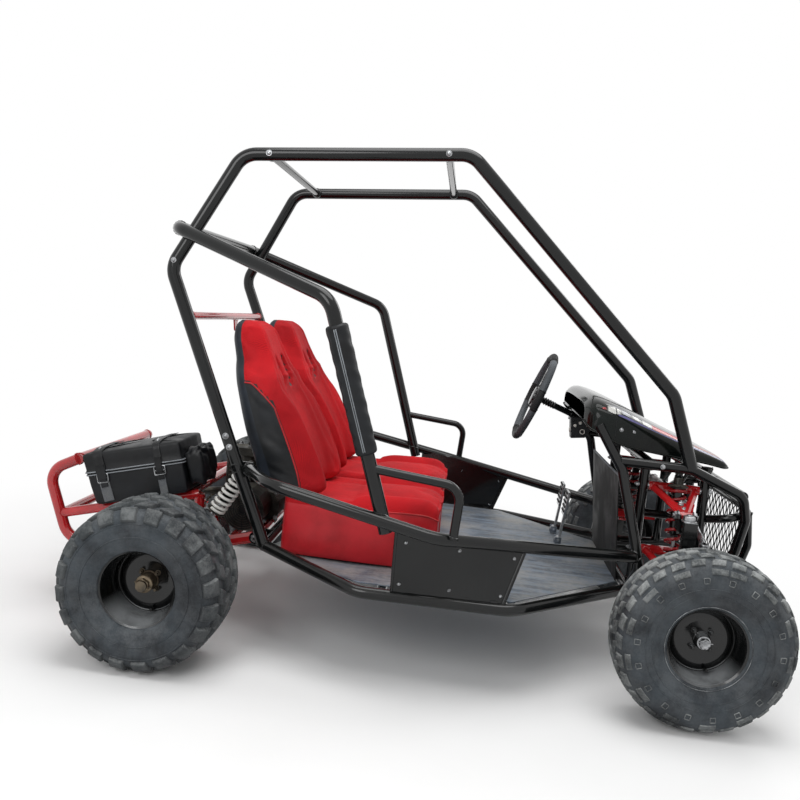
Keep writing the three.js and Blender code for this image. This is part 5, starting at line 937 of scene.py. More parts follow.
def build_side_rails():
    for tag, sign in SIDES:
        form = Form()
        out = Y * sign
        points = places(SIDE_RAIL, sign)
        tube(form, points, RAIL_TUBE, RAIL_BEND, 26, steps=12)
        tube(form, places(GRAB_LOOP, sign), BRACE_TUBE, BRACE_BEND, 22)
        knee, foot = places(GRAB_LOOP[1:], sign)
        weld(form, foot, along_of(foot, knee), BRACE_TUBE / 2, rail_at(SIDE_RAIL, 0.505, sign),
             along_of(points[1], points[2]), RAIL_TUBE / 2, 2.2)
        # Coped collar where the rail meets the rear pillar
        pillar_along = along_of(*places(CAGE[:2], sign))
        weld(form, points[0], along_of(points[0], points[1]), RAIL_TUBE / 2, points[0], pillar_along,
             CAGE_TUBE / 2, 3.2)
        weld(form, points[3], along_of(points[3], points[2]), RAIL_TUBE / 2, places(UPRIGHT, sign)[2],
             along_of(*places(UPRIGHT[1:3], sign)), BAR_TUBE / 2, 2.8)
        # Skirt: a dished sheet between the upper and lower rails, its front edge rolled round a rod
        top_front, top_rear = (rail_at(SIDE_RAIL, share, sign) for share in (SKIRT_TOP_FRONT, SKIRT_REAR))
        low_front, low_rear = (rail_at(PERIMETER, share, sign) for share in (SKIRT_LOW_FRONT, SKIRT_REAR))
        corners = [top_front, low_front, low_rear, top_rear]
        slab(form, corners[::-1] if sign > 0 else corners, 3, cuts=6)
        rod(form, top_front, low_front, 13, 18)
        rod(form, top_rear, low_rear, 9, 18)
        for share in (0.12, 0.4, 0.68, 0.93):
            at = low_rear.lerp(low_front, share) + Z * 17.2 + out * 1
            block(form, at - X * 9 - Z * 2 - out * 5, at + X * 9 + Z * 5 + out * 2.6)
        piece(f"side_rail_{tag}", form, "black_paint", "frame", 0.7)
        bolts = Form()
        for a, b, shares in ((top_rear, top_front, (0.08, 0.5, 0.94)),
                             (low_rear, low_front, (0.06, 0.5, 0.95))):
            for share in shares:
                edge = a.lerp(b, share)
                middle = low_rear.lerp(top_rear, 0.5).lerp(low_front.lerp(top_front, 0.5), share)
                at = edge.lerp(middle, 0.4)
                dome_bolt(bolts, at + out * 1.5, out, 8)
        piece(f"skirt_bolts_{tag}", bolts, "zinc", "frame")


def build_lower_frame():
    form = Form()
    for _, sign in SIDES:
        tube(form, places(PERIMETER, sign), RAIL_TUBE, RAIL_BEND, 26, steps=10)
        root = place((CROSS_MEMBERS[0], 0, PERIMETER[0][2]))
        y = sign * (SWING_ARM_Y + 18 + 0.3)
        pivot = Vector((SWING_PIVOT_X, y, SWING_PIVOT_Z))
        out = Y * sign
        turned(form, [(0, 0), (20, 0), (20, 5), (19, 6), (0, 6)], pivot, out, 36)
        block(form, Vector((root.x, y, root.z - 25)), Vector((pivot.x, y + sign * 6, root.z + 17)))
        rod(form, pivot + out * 6, pivot - out * 36, 14, 20)
        hex_bolt(form, pivot + out * 6, out, 14, 8)
    for share in CROSS_MEMBERS:
        end = rail_at(PERIMETER, max(share, PERIMETER[0][0] + 0.0001), 1)
        start = Vector((end.x, -end.y, end.z))
        rod(form, start, end, BAR_TUBE, 24)
        index = next(i for i, row in enumerate(PERIMETER) if row[0] > share) - 1
        for sign, at, inward in ((1, end, -Y), (-1, start, Y)):
            weld(form, at, inward, BAR_TUBE / 2, at, along_of(*places(PERIMETER[index:index + 2], sign)),
                 RAIL_TUBE / 2, 2.6)
    rod(form, place(PERIMETER[5], -1), place(PERIMETER[5], 1), BAR_TUBE, 24)
    piece("lower_frame", form, "black_paint", "frame", 0.7)


STEERING_CENTRE = place((0.702, 0, 0.5153)) + Y * 230
# Middle of each grey grip round the rim, in degrees, and half its span
GRIP_ANGLES, GRIP_HALF = (38, 142, 218, 322), 25
COLUMN_DROP = math.radians(19.5)
COLUMN = Vector((math.cos(COLUMN_DROP), 0, -math.sin(COLUMN_DROP)))
COLUMN_LENGTH = 312
TOWER_X = 75 + BAR_TUBE / 2 + 0.3
RACK = Vector((KINGPIN_X + 50, 0, 528))
RACK_EYE_Y, RACK_HALF, RACK_FORK = 255, 231, 36
PEDAL_X = REAR_AXLE_X + 0.79 * WHEELBASE
PEDALS = {"throttle_pedal": 140, "brake_pedal": 300}
PAN_LIP = 24
PAN_UNDER_Z = place(PERIMETER[2]).z + BAR_TUBE / 2 + 0.3 - 1.1
PEDAL_PIVOT_Z = PAN_UNDER_Z + 7 + 11.6


def share_at(x):
    return (x - REAR_AXLE_X) / WHEELBASE


def tower_rod(form, y, z, diameter, sides):
    """A pin between the two towers of one side."""
    rod(form, Vector((KINGPIN_X - TOWER_X, y, z)), Vector((KINGPIN_X + TOWER_X, y, z)), diameter, sides)


def build_front_frame():
    form = Form()
    top_z = place(NOSE_RAIL[1]).z
    for _, sign in SIDES:
        tube(form, places(UPRIGHT, sign), BAR_TUBE, BRACE_BEND, 24)
        tube(form, places(NOSE_RAIL, sign), BAR_TUBE, BRACE_BEND, 24)
        tube(form, places(BUMPER, sign), BRACE_TUBE, BRACE_BEND, 22)
        tube(form, places(GUARD, sign), BRACE_TUBE, BRACE_BEND, 22)
        for end in (-1, 1):
            x = KINGPIN_X + end * TOWER_X
            foot = rail_at(PERIMETER, share_at(x), sign)
            tower = Vector((x, sign * ARM_INNER_Y, foot.z))
            cap = Vector((x, sign * ARM_INNER_Y, top_z))
            rod(form, tower, cap, BAR_TUBE, 24)
            weld(form, cap, -Z, BAR_TUBE / 2, cap, Y, BAR_TUBE / 2, 2.4)
            weld(form, tower, Z, BAR_TUBE / 2, tower, X, RAIL_TUBE / 2, 2.4)
            rail = rail_at(NOSE_RAIL, share_at(x), sign)
            weld(form, rail, -Y * sign, BAR_TUBE / 2, rail, X, BAR_TUBE / 2, 2.4)
        tower_rod(form, sign * FRONT_SHOCK_TOP_Y, FRONT_SHOCK_TOP_Z, 16, 20)
        for z, _ in ARM_HEIGHTS.values():
            tower_rod(form, sign * ARM_INNER_Y, z, 12, 18)
        weld(form, places(UPRIGHT, sign)[3], along_of(*places(UPRIGHT[:1:-1], sign)), BAR_TUBE / 2,
             rail_at(PERIMETER, 0.8955, sign), along_of(*places(PERIMETER[2:4], sign)), RAIL_TUBE / 2, 2.4)
        bumper = places(BUMPER, sign)
        weld(form, places(GUARD, sign)[0], along_of(*places(GUARD[:2], sign)), BRACE_TUBE / 2,
             bumper[3], along_of(bumper[3], bumper[4]), BRACE_TUBE / 2, 2.2)
    for end in (-1, 1):
        rail = rail_at(NOSE_RAIL, share_at(KINGPIN_X + end * TOWER_X), 1)
        rod(form, Vector((rail.x, -rail.y, rail.z)), rail, BAR_TUBE, 24)
    for shares in (UPRIGHT[0], NOSE_RAIL[2]):
        rod(form, place(shares, -1), place(shares, 1), BAR_TUBE, 24)
    rod(form, place(BUMPER[4], -1), place(BUMPER[4], 1), BRACE_TUBE, 22)
    rod(form, place(GUARD[2], -1), place(GUARD[2], 1), BRACE_TUBE, 22)
    # Column bearing on the dash bar, the gear case and the rack's housing
    dash = place(UPRIGHT[0])
    reach = (dash.x - STEERING_CENTRE.x) / COLUMN.x
    start = STEERING_CENTRE + COLUMN * (reach - 17)
    bore = 12.3
    ring_of(form, [(bore, 0), (bore + 8, 0), (bore + 9, 3), (bore + 8, 6), (bore + 8, 28), (bore + 9, 31),
                   (bore + 8, 34), (bore, 34)], start, COLUMN, 36)
    block(form, Vector((dash.x - 8, 222, start.z + 14)), Vector((dash.x + 8, 238, dash.z)))
    centre = STEERING_CENTRE + COLUMN * COLUMN_LENGTH + X * 22
    prism(form, rounded_outline(44, 62, 9), centre - Y * -28, X, Z, 56)
    turned(form, [(0, 0), (17, 0), (17, 6), (14, 8), (0, 8)], centre - Y * 28, -Y, 28)
    ring_of(form, [(14.2, -120), (19, -120), (20.2, -117), (20.2, 117), (19, 120), (14.2, 120)], RACK, Y, 32)
    for _, sign in SIDES:
        y = sign * 86
        cap = rail_at(NOSE_RAIL, share_at(KINGPIN_X + TOWER_X), 1)
        rod(form, Vector((RACK.x, y, 545)), Vector((cap.x, y, cap.z)), 12, 14)
    piece("front_frame", form, "black_paint", "frame", 0.7)
    bolts = Form()
    for _, sign in SIDES:
        for z, _ in ARM_HEIGHTS.values():
            for end in (-1, 1):
                at = Vector((KINGPIN_X + end * (TOWER_X + 14), sign * ARM_INNER_Y, z))
                hex_bolt(bolts, at, X * end, 11, 7)
        at = place((0.93, 0.8, 0.437), sign) + Y * sign * 15
        hex_bolt(bolts, at, Y * sign, 10, 6)
    piece("front_frame_bolts", bolts, "zinc", "frame", bevel=0.3)


def build_mesh_guard():
    """Expanded metal: rows of slit strands that meet in flattened knots, in a folded rim."""
    form = Form()
    top, foot = place(GUARD[0]), place(GUARD[2])
    x, half, low, high = foot.x, foot.y, foot.z, top.z
    rows, columns = 9, 12
    cell_v, cell_u = (high - low) / rows, 2 * half / columns
    for row in range(rows + 1):
        base = low + row * cell_v
        stations = []
        for i in range(columns * 2 + 1):
            y = -half + i * cell_u / 2
            swing = cell_v / 2 * (1 if (i + row) % 2 else -1)
            for step in (-0.12, 0.12):
                z = min(max(base + swing, low), high)
                stations.append(Vector((x + 0.8 * math.sin(i * math.pi / 2 + row), y + step * cell_u, z)))
        path = [(p, heading) for p, heading in headed(stations) if abs(p.y) <= half + 0.1]
        sweep(form, path, 1.0, section=[(-0.9, -1.7), (0.9, -1.7), (0.9, 1.7), (-0.9, 1.7)])
    for y in (-half, half):
        rod(form, Vector((x, y, low)), Vector((x, y, high)), 6, 12)
    piece("mesh_guard", form, "black_paint", "frame", 0.2)


def build_seat_bar():
    form = Form()
    a, b = place(SEAT_BAR, -1), place(SEAT_BAR, 1)
    rod(form, a, b, BRACE_TUBE, 26)
    for sign, at in ((-1, a), (1, b)):
        weld(form, at, -Y * sign, BRACE_TUBE / 2, at, along_of(*places(CAGE[:2], sign)), CAGE_TUBE / 2, 2.4)
    corner = Vector((b.x - 2.5, 60, b.z))
    prism(form, [(0, 4), (60, 4), (52, -14), (36, -46), (30, -50), (24, -46), (8, -14)], corner, Y, Z, 5)
    for k in range(12):
        y = 62 + k * 4.8
        rod(form, Vector((b.x - 3.5, y, b.z - 10)), Vector((b.x + 3.5, y + 1, b.z - 12)), 3, 8)
    piece("seat_bar", form, "red_paint", "frame", 0.5)


def build_floor_pan():
    """Dished sheet on the cross members with pressed ribs, a bent-up toe board and the pedals' ears."""
    form = Form()
    z = PAN_UNDER_Z
    foot = place(PAN_FRONT)
    outline = [rail_at(PERIMETER, PAN_REAR, 1), *places(PERIMETER[1:3]), foot]
    edge = [(p.x, p.y - PAN_LIP) for p in outline]
    rear_x = REAR_AXLE_X + PAN_REAR * WHEELBASE
    columns, rows = 90, 44
    grid = []
    ribs = [share * foot.y for share in (-0.75, -0.45, -0.15, 0.15, 0.45, 0.75)]
    for i in range(columns + 1):
        x = rear_x + (foot.x - rear_x) * i / columns
        k = next((n for n in range(len(edge) - 1) if edge[n + 1][0] >= x - 0.001), len(edge) - 2)
        (x0, y0), (x1, y1) = edge[k], edge[k + 1]
        half = y0 + (y1 - y0) * (x - x0) / (x1 - x0)
        line = []
        for j in range(rows + 1):
            y = half * (2 * j / rows - 1)
            inside = min(1, max(0, (x - rear_x - 40) / 18)) * min(1, max(0, (foot.x - 40 - x) / 18))
            rib = max((max(0.0, 1 - abs(y - c) / 11) for c in ribs), default=0)
            dent = 0.9 * math.sin(x * 0.021 + y * 0.013) * math.cos(y * 0.017)
            line.append(Vector((x, y, z + 3 + 4 * inside * min(1, rib * 1.7) + dent)))
        grid.append(line)
    top = [p for line in grid for p in line]
    under = [Vector((p.x, p.y, z)) for p in top]
    width = rows + 1
    faces = []
    for i in range(columns):
        for j in range(rows):
            q = (i * width + j, (i + 1) * width + j, (i + 1) * width + j + 1, i * width + j + 1)
            faces += [q, tuple(len(top) + n for n in q[::-1])]
    border = [i * width for i in range(columns + 1)] + [columns * width + j for j in range(1, rows + 1)]
    border += [i * width + rows for i in range(columns - 1, -1, -1)] + [j for j in range(rows - 1, 0, -1)]
    for p, q in zip(border, border[1:] + border[:1]):
        faces.append((p, len(top) + p, len(top) + q, q))
    form.put(top + under, faces)
    toe_top = place(PAN_TOE_TOP)
    far_top = Vector((toe_top.x, -toe_top.y, toe_top.z))
    bottom = Vector((foot.x, foot.y - PAN_LIP, z))
    slab(form, [bottom, toe_top, far_top, Vector((bottom.x, -bottom.y, z))], 3, 1, 4)
    rod(form, toe_top, far_top, 7, 16)
    for y in PEDALS.values():
        for end in (-1, 1):
            a = Vector((PEDAL_X - 11, y + end * 15.3, z + 1))
            b = Vector((PEDAL_X + 11, y + end * 20.3, PEDAL_PIVOT_Z + 11))
            block(form, a, b)
            hex_bolt(form, Vector((PEDAL_X, y + end * 20.3, PEDAL_PIVOT_Z)), Y * end, 9, 5)
        pivot = Vector((PEDAL_X, y, PEDAL_PIVOT_Z))
        rod(form, pivot - Y * 20, pivot + Y * 20, 10, 18)
    piece("floor_pan", form, ["floor_steel", "black_rubber"], "frame", 0.4)


# Cowl, switches and steering

def smooth_rows(rows, steps):
    """Rows of equal length blended by Catmull-Rom, with some steps between each pair."""
    result = []
    for i in range(len(rows) - 1):
        p0, p1, p2, p3 = rows[max(i - 1, 0)], rows[i], rows[i + 1], rows[min(i + 2, len(rows) - 1)]
        for step in range(steps):
            t = step / steps
            result.append([0.5 * (2 * b + (c - a) * t + (2 * a - 5 * b + 4 * c - d) * t * t
                           + (3 * b - a - 3 * c + d) * t ** 3) for a, b, c, d in zip(p0, p1, p2, p3)])
    result.append(list(rows[-1]))
    return result


COWL_STATIONS = [(0.776, 0.64, 0.541, 0.505), (0.787, 0.73, 0.552, 0.493), (0.805, 0.765, 0.5545, 0.487),
                 (0.85, 0.785, 0.541, 0.469), (0.93, 0.715, 0.508, 0.457), (1.02, 0.655, 0.474, 0.4475),
                 (1.06, 0.62, 0.459, 0.441), (1.074, 0.585, 0.447, 0.4405)]
COWL_SECTION = [(1.0, 0.0), (1.005, 0.18), (1.0, 0.42), (0.985, 0.6), (0.945, 0.76), (0.88, 0.86),
                (0.78, 0.925), (0.6, 0.97), (0.4, 0.992), (0.2, 1.0), (0.0, 1.003)]


def cowl_ring(station, inset):
    along, across, top, foot = station
    base = place((along, across, foot))
    crown = top * CAGE_HEIGHT - inset
    half = base.y - inset
    right = [Vector((base.x, -y * half, base.z + z * (crown - base.z))) for y, z in COWL_SECTION]
    left = [Vector((base.x, -p.y, p.z)) for p in right[-2::-1]]
    return right + left


def build_cowl():
    """Moulded cover: a thin shell with a rolled rim, closed at the dash by a crowned face."""
    stations = smooth_rows(COWL_STATIONS, 7)
    outer = smooth_rows([cowl_ring(s, 0) for s in stations], 1)
    inner = [cowl_ring(s, 4) for s in stations]
    form = Form()
    wide = len(outer[0])
    rows = len(outer)
    points = [p for ring in outer for p in ring] + [p for ring in inner for p in ring]
    offset = rows * wide
    faces = []
    for i in range(rows - 1):
        for j in range(wide - 1):
            a, b = i * wide + j, (i + 1) * wide + j
            faces += [(a, a + 1, b + 1, b), (offset + a, offset + b, offset + b + 1, offset + a + 1)]
        for j in (0, wide - 1):
            a, b = i * wide + j, (i + 1) * wide + j
            faces.append((a, b, offset + b, offset + a))
    for i in (0, rows - 1):
        row = list(range(i * wide, (i + 1) * wide))
        faces += [tuple(row), tuple(offset + k for k in row[::-1])]
        faces.append((row[0], row[-1], offset + row[-1], offset + row[0]))
    form.put(points, faces)
    for j in (0, wide - 1):
        line = [ring[j] for ring in outer]
        sweep(form, headed(line), 3.4, 12)
    piece("hood_cowl", form, "striped_cowl", "frame", 0.6)
    trim = Form()
    for _, sign in SIDES:
        # Seam of the dash face and two flank bolts on each side
        ring = cowl_ring(stations[19], -0.4)
        side = ring[:6] if sign < 0 else ring[-6:]
        sweep(trim, headed(side), 1.1, 8, 1)
        for share, rise in ((0.845, 0.4), (0.87, 0.36)):
            y = 0.785 * PILLAR_HALF_WIDTH * (1.0 if share < 0.86 else 0.975)
            at = Vector((REAR_AXLE_X + share * WHEELBASE, sign * y, (0.47 + 0.07 * rise) * CAGE_HEIGHT))
            dome_bolt(trim, at, Y * sign, 9)
    piece("cowl_trim", trim, ["zinc", "black_rubber"], "frame")


def switch_frame():
    width, height = 84, 78
    dash = place(UPRIGHT[0])
    foot = Vector((dash.x - width * 0.4, 130, dash.z - BAR_TUBE / 2 - height * 1.15))
    return foot, width, height, dash


def build_switch_box():
    foot, width, height, dash = switch_frame()
    shares = [(0.2, 0), (0.75, 0.08), (1, 0.55), (0.8, 1), (0.1, 0.9)]
    outline = [(a * width, b * height) for a, b in shares]
    form = Form()
    prism(form, outline, foot + Y * 46, X, Z, 46)
    inner = [((a - 0.55) * 0.8 + 0.55, (b - 0.5) * 0.8 + 0.5) for a, b in shares]
    prism(form, [(a * width, b * height) for a, b in inner], foot + Y * 0.2, X, Z, 1.6)
    block(form, Vector((dash.x - 2.5, 135, foot.z + height / 2)), Vector((dash.x + 2.5, 171, dash.z)))
    for a, b in ((0.28, 0.14), (0.7, 0.2), (0.86, 0.56), (0.72, 0.86), (0.22, 0.78)):
        dome_bolt(form, foot + X * a * width + Z * b * height - Y * 0.4, -Y, 5)
    housing = piece("switch_box", form, "box_plastic", "frame", 1.6)
    middle, normal = button_place()
    bore(housing, middle - normal * 9, middle + normal * 6, 19.2)
    dots = Form()
    for a, b in ((0.3, 0.58), (0.5, 0.72)):
        at = foot + X * a * width + Z * b * height - Y * 1.4
        turned(dots, [(0, 0), (5.6, 0), (5.6, 1.6), (4.6, 3.0), (0, 3.6)], at, -Y, 24)
    at = foot + X * 0.62 * width + Z * 0.34 * height - Y * 1.4
    ring_of(dots, [(6, 0), (9, 0), (9, 2.4), (8, 3.2), (6.4, 3.2)], at, -Y, 32)
    piece("switch_dots", dots, "pale_plastic", "frame")


def button_place():
    """Middle of the button and the way that it faces."""
    low, high = (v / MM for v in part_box("start_button"))
    foot, width, height, _ = switch_frame()
    normal = along_of(foot + X * 0.2 * width, foot + X * 0.1 * width + Z * 0.9 * height).cross(Y).normalized()
    return (low + high) / 2, -normal if normal.x > 0 else normal


def bore(thing, start, end, diameter):
    """Cuts a round hole between two points and keeps the cut shape as the mesh."""
    form = Form()
    rod(form, start, end, diameter, 40)
    cutter = link_new("cutter", make_mesh("cutter", form, []))
    cut = thing.modifiers.new("bore", "BOOLEAN")
    cut.operation, cut.solver, cut.object = "DIFFERENCE", "EXACT", cutter
    graph = bpy.context.evaluated_depsgraph_get()
    thing.data = bpy.data.meshes.new_from_object(thing.evaluated_get(graph))
    thing.modifiers.clear()
    bpy.data.objects.remove(cutter)


def build_start_button():
    middle, normal = button_place()
    form = Form()
    base = middle - normal * 4.5
    turned(form, [(0, 0), (8.7, 0), (8.9, 0.5), (8.9, 7.2), (8.4, 8.3), (7.4, 8.9), (5.5, 8.6), (2.5, 8.1),
                  (0, 8.0)], base, normal, 40)
    piece("start_button", form, "pale_plastic", "start_button")


def build_steering_wheel():
    """Round rim with grey grips, a dished hub and three slotted spokes."""
    up = (Z - COLUMN * Z.dot(COLUMN)).normalized()
    side = Y.copy()
    back = -COLUMN
    radius, grip = 154.5, 13
    rim = Form()
    sections = 120
    rings = []
    for i in range(sections):
        angle = TURN * i / sections
        out = spun(side, up, angle)
        size = grip * (1.0 + 0.03 * math.cos(6 * angle))
        rings.append([STEERING_CENTRE + out * (radius + size * math.cos(TURN * k / 20))
                      + back * (size * math.sin(TURN * k / 20)) for k in range(20)])
    skin(rim, rings, closed=True)
    for n in range(len(rim.finishes)):
        angle = 360 * (n // 20) / sections
        if any(abs((angle - middle + 180) % 360 - 180) < GRIP_HALF for middle in GRIP_ANGLES):
            rim.finishes[n] = 1
    for k in range(8):
        angle = math.radians(GRIP_ANGLES[k // 2] + (GRIP_HALF + 1) * (1 if k % 2 else -1))
        out = spun(side, up, angle)
        ring_of(rim, [(grip - 0.6, -1.6), (grip + 1.3, -1.2), (grip + 1.3, 1.2), (grip - 0.6, 1.6)],
                STEERING_CENTRE + out * radius, out.cross(back), 24, 0)
    plates = Form()
    for angle in (90, -90, 180):
        angle = math.radians(angle)
        u = up * -math.cos(angle) + side * math.sin(angle)
        v = back.cross(u)
        for end in (-1, 1):
            outline = [(20, end * 4), (20, end * 17), (70, end * 14.5), (148, end * 11.5), (148, end * 4),
                       (92, end * 5.4), (54, end * 5.4)]
            prism(plates, outline, STEERING_CENTRE - back * 2, u, v, 4)
        prism(plates, [(14, -8), (54, -8), (54, 8), (14, 8)], STEERING_CENTRE - back * 2, u, v, 4)
        prism(plates, [(92, -6), (148, -6), (148, 6), (92, 6)], STEERING_CENTRE - back * 2, u, v, 4)
    turned(plates, [(0, -10), (45, -10), (45, -1), (43, 2), (36, 4), (34, 9), (30, 10.5), (12, 11.5),
                    (0, 11.5)], STEERING_CENTRE, back, 48)
    for k in range(6):
        angle = math.radians(60 * k + 30)
        at = STEERING_CENTRE + spun(side, up, angle) * 39.5 + back * 2.6
        dome_bolt(plates, at, back, 5)
    piece("steering_wheel_rim", rim, ["black_rubber", "grey_grip"], "steering_wheel",
          nodes=["steering_wheel"])
    piece("steering_wheel_spokes", plates, "black_paint", "steering_wheel", bevel=0.7)


def build_column():
    form = Form()
    start = STEERING_CENTRE + COLUMN * 10.3
    turned(form, [(0, 0), (22, 0), (22, 4), (21, 5), (14, 12), (12, 22), (11, 24), (11, 301), (0, 301)], start,
           COLUMN, 32)
    for k in range(5):
        ring_of(form, [(11, 0), (14.2 - 0.4 * k, 3), (14.2 - 0.4 * k, 5), (11, 8)],
                start + COLUMN * (26 + 9 * k), COLUMN, 32)
    piece("steering_column", form, "black_paint", "steering_wheel", 0.5)


def build_rack_and_tie_rods():
    form = Form()
    rod(form, RACK - Y * RACK_HALF, RACK + Y * RACK_HALF, 26, 28)
    for _, sign in SIDES:
        for end in (-1, 1):
            root = Vector((RACK.x + end * 7.3, sign * RACK_HALF, RACK.z - 12))
            block(form, root, Vector((RACK.x + end * 11.3, sign * (RACK_HALF + RACK_FORK), RACK.z + 12)))
            hex_bolt(form, Vector((RACK.x + end * 10.6, sign * RACK_EYE_Y, RACK.z)), X * end, 6, 1)
    piece("steering_rack", form, "zinc", "steering_rack", 0.8)
    for tag, sign in SIDES:
        form = Form()
        drop = 50 / 170
        inner = RACK + Y * sign * RACK_EYE_Y
        outer = Vector((RACK.x, sign * KINGPIN_Y, RACK.z - (KINGPIN_Y - RACK_EYE_Y) * drop))
        ring_of(form, [(4, -6.6), (11.6, -6.6), (12, -6), (12, 6), (11.6, 6.6), (4, 6.6)], inner, X, 28)
        heading = along_of(inner, outer)
        sweep(form, [(inner + heading * 9, heading), (outer - heading * 11, heading)], 7, 20)
        for a, b in ((0.16, 0.3), (0.74, 0.88)):
            turned(form, [(0, 0), (9.4, 0), (9.4, (b - a) * 220), (0, (b - a) * 220)], inner.lerp(outer, a),
                   heading, 6)
        ring_of(form, [(8.4, -5), (13, -5), (14, -3.5), (14, 3.5), (13, 5), (8.4, 5)], outer, Z, 30)
        boot = Form()
        turned(boot, [(0, 0), (7.2, 0), (9, 2), (7.4, 4), (10, 6), (8, 8), (11, 10), (8.4, 12), (11.5, 14),
                      (8, 16), (0, 16)], inner + heading * 8, heading, 28)
        piece(f"tie_rod_{tag}", form, "zinc", f"tie_rod_{tag}", 0.4)
        piece(f"tie_rod_boot_{tag}", boot, "black_rubber", f"tie_rod_{tag}")


def build_pedals():
    for name, y in PEDALS.items():
        base = Vector((PEDAL_X, y, PEDAL_PIVOT_Z))
        v = Vector((0.1, 0, 1)).normalized()
        out = Y.cross(v).normalized()
        form = Form()
        ring_of(form, [(5.6, -15), (10.4, -15), (11, -14), (11, 14), (10.4, 15), (5.6, 15)], base, Y, 28)
        prism(form, [(-11, 9), (11, 9), (9, 60), (11, 150), (-11, 150), (-9, 60)], base, Y, v, 8)
        low = 150 - 84 * 0.7
        back = base - out * 4
        w = 37
        outline = [(-w * 0.8, low), (w * 0.8, low), (w, low + 17), (w, low + 80), (w - 4, low + 84),
                   (-w + 4, low + 84), (-w, low + 80), (-w, low + 17)]
        prism(form, outline, back, Y, v, 8)
        for k in range(5):
            h = low + 12 + 16 * k
            prism(form, [(-w * 0.84, h), (w * 0.84, h), (w * 0.84, h + 6), (-w * 0.84, h + 6)], back - out * 3,
                  Y, v, 6, 1)
        piece(name, form, ["zinc", "black_rubber"], name, 0.7)


# Seats

SEAT_Y, SEAT_HALF, SEAT_BACK_HEIGHT, SEAT_BACK_DEPTH = 222, 200, 490, 222
SEAT_BASE_LENGTH, SEAT_BASE_TOP = 462, 456
SEAT_REAR_X, SEAT_BASE_X = REAR_AXLE_X + 92, REAR_AXLE_X + 300
SEAT_BASE_FOOT = 276.5
SEAT_CORE_X, SEAT_FACE_FROM = SEAT_REAR_X + 100, SEAT_REAR_X + 60
# Height, rear, depth and half width of the back's rings, as shares of its sizes
BACK_RINGS = [(0.0, 0.62, 0.8, 0.8), (0.02, 0.61, 0.88, 0.88), (0.06, 0.59, 0.94, 0.94),
              (0.16, 0.5, 0.96, 0.97), (0.3, 0.36, 0.95, 0.99), (0.42, 0.26, 0.89, 0.985),
              (0.53, 0.18, 0.81, 0.96), (0.62, 0.11, 0.72, 0.9), (0.68, 0.07, 0.67, 0.82),
              (0.72, 0.04, 0.63, 0.71), (0.76, 0.02, 0.6, 0.62), (0.82, -0.02, 0.56, 0.565),
              (0.88, -0.055, 0.52, 0.535), (0.94, -0.06, 0.45, 0.48), (0.975, -0.045, 0.36, 0.4),
              (1.0, 0.0, 0.22, 0.27)]
# Across and depth of one ring from the back's rear edge round its side and face, half of it
BACK_SECTION = [(0.0, -0.03), (0.3, -0.03), (0.58, -0.015), (0.78, 0.03), (0.91, 0.11), (0.985, 0.24),
                (1.0, 0.42), (0.985, 0.6), (0.955, 0.78), (0.9, 0.92), (0.82, 0.985), (0.73, 0.985),
                (0.63, 0.92), (0.52, 0.82), (0.36, 0.765), (0.18, 0.745), (0.0, 0.74)]
SHELL_TO, SIDE_TO = 5, 7.2
SLOT_OFFSET, SLOT_HALF_WIDTH, SLOT_HALF_HEIGHT, SLOT_DEPTH = 44, 19, 44, 20


def set_cloth(thing, pins, pressure, cap, frames=20):
    """Puffs the free points of a mesh between pinned seams, held to a cap in millimetres."""
    mesh = thing.data
    rest = [v.co.copy() for v in mesh.vertices]
    held = thing.vertex_groups.new(name="seams")
    for i, weight in enumerate(pins):
        if weight > 0:
            held.add([i], weight, "REPLACE")
    cloth = thing.modifiers.new("cloth", "CLOTH")
    cloth.settings.quality = 6
    cloth.settings.mass = 0.25
    cloth.settings.tension_stiffness = 12
    cloth.settings.compression_stiffness = 12
    cloth.settings.bending_stiffness = 0.6
    cloth.settings.vertex_group_mass = held.name
    cloth.settings.use_pressure = True
    cloth.settings.uniform_pressure_force = pressure
    cloth.settings.effector_weights.gravity = 0
    cloth.point_cache.frame_end = frames
    scene = bpy.context.scene
    for number in range(1, frames + 1):
        scene.frame_set(number)
    seen = thing.evaluated_get(bpy.context.evaluated_depsgraph_get()).data
    moved = [v.co.copy() for v in seen.vertices]
    thing.modifiers.remove(cloth)
    scene.frame_set(1)
    for vertex, start, end in zip(mesh.vertices, rest, moved):
        step = end - start
        if step.length > cap * MM:
            step *= cap * MM / step.length
        vertex.co = start + step
    thing.vertex_groups.remove(held)
    mesh.update()


def sew(name, rows, loop, points, pins, kind_of, end_kinds, finishes, cap):
    """A closed cover through rows of points, its patches each of a cloth, puffed between its pinned seams."""
    wide = len(loop)
    faces, kinds = [], []
    for row in range(len(rows) - 1):
        for k in range(wide):
            j = (k + 1) % wide
            here, there = row * wide, (row + 1) * wide
            faces.append((here + k, here + j, there + j, there + k))
            kinds.append(kind_of(row, min(loop[k][-1], loop[j][-1])))
    last = (len(rows) - 1) * wide
    faces += [tuple(range(wide))[::-1], tuple(last + k for k in range(wide))]
    mesh = bpy.data.meshes.new(name)
    mesh.from_pydata(points, [], faces)
    for face, kind in zip(mesh.polygons, kinds + end_kinds):
        face.material_index = kind
        face.use_smooth = True
    for finish in finishes:
        mesh.materials.append(FINISHES[finish])
    thing = link_new(shown_name(name), mesh)
    set_cloth(thing, pins, bpy.context.scene.kart_sizes.cushion_puff, cap)
    return thing


def seat_piece(thing, name):
    """Rounds a sewn cover and lets it ride on the frame in place of its node."""
    finer = thing.modifiers.new("rounding", "SUBSURF")
    finer.levels = finer.render_levels = 1
    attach(thing, "frame")
    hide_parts(name)


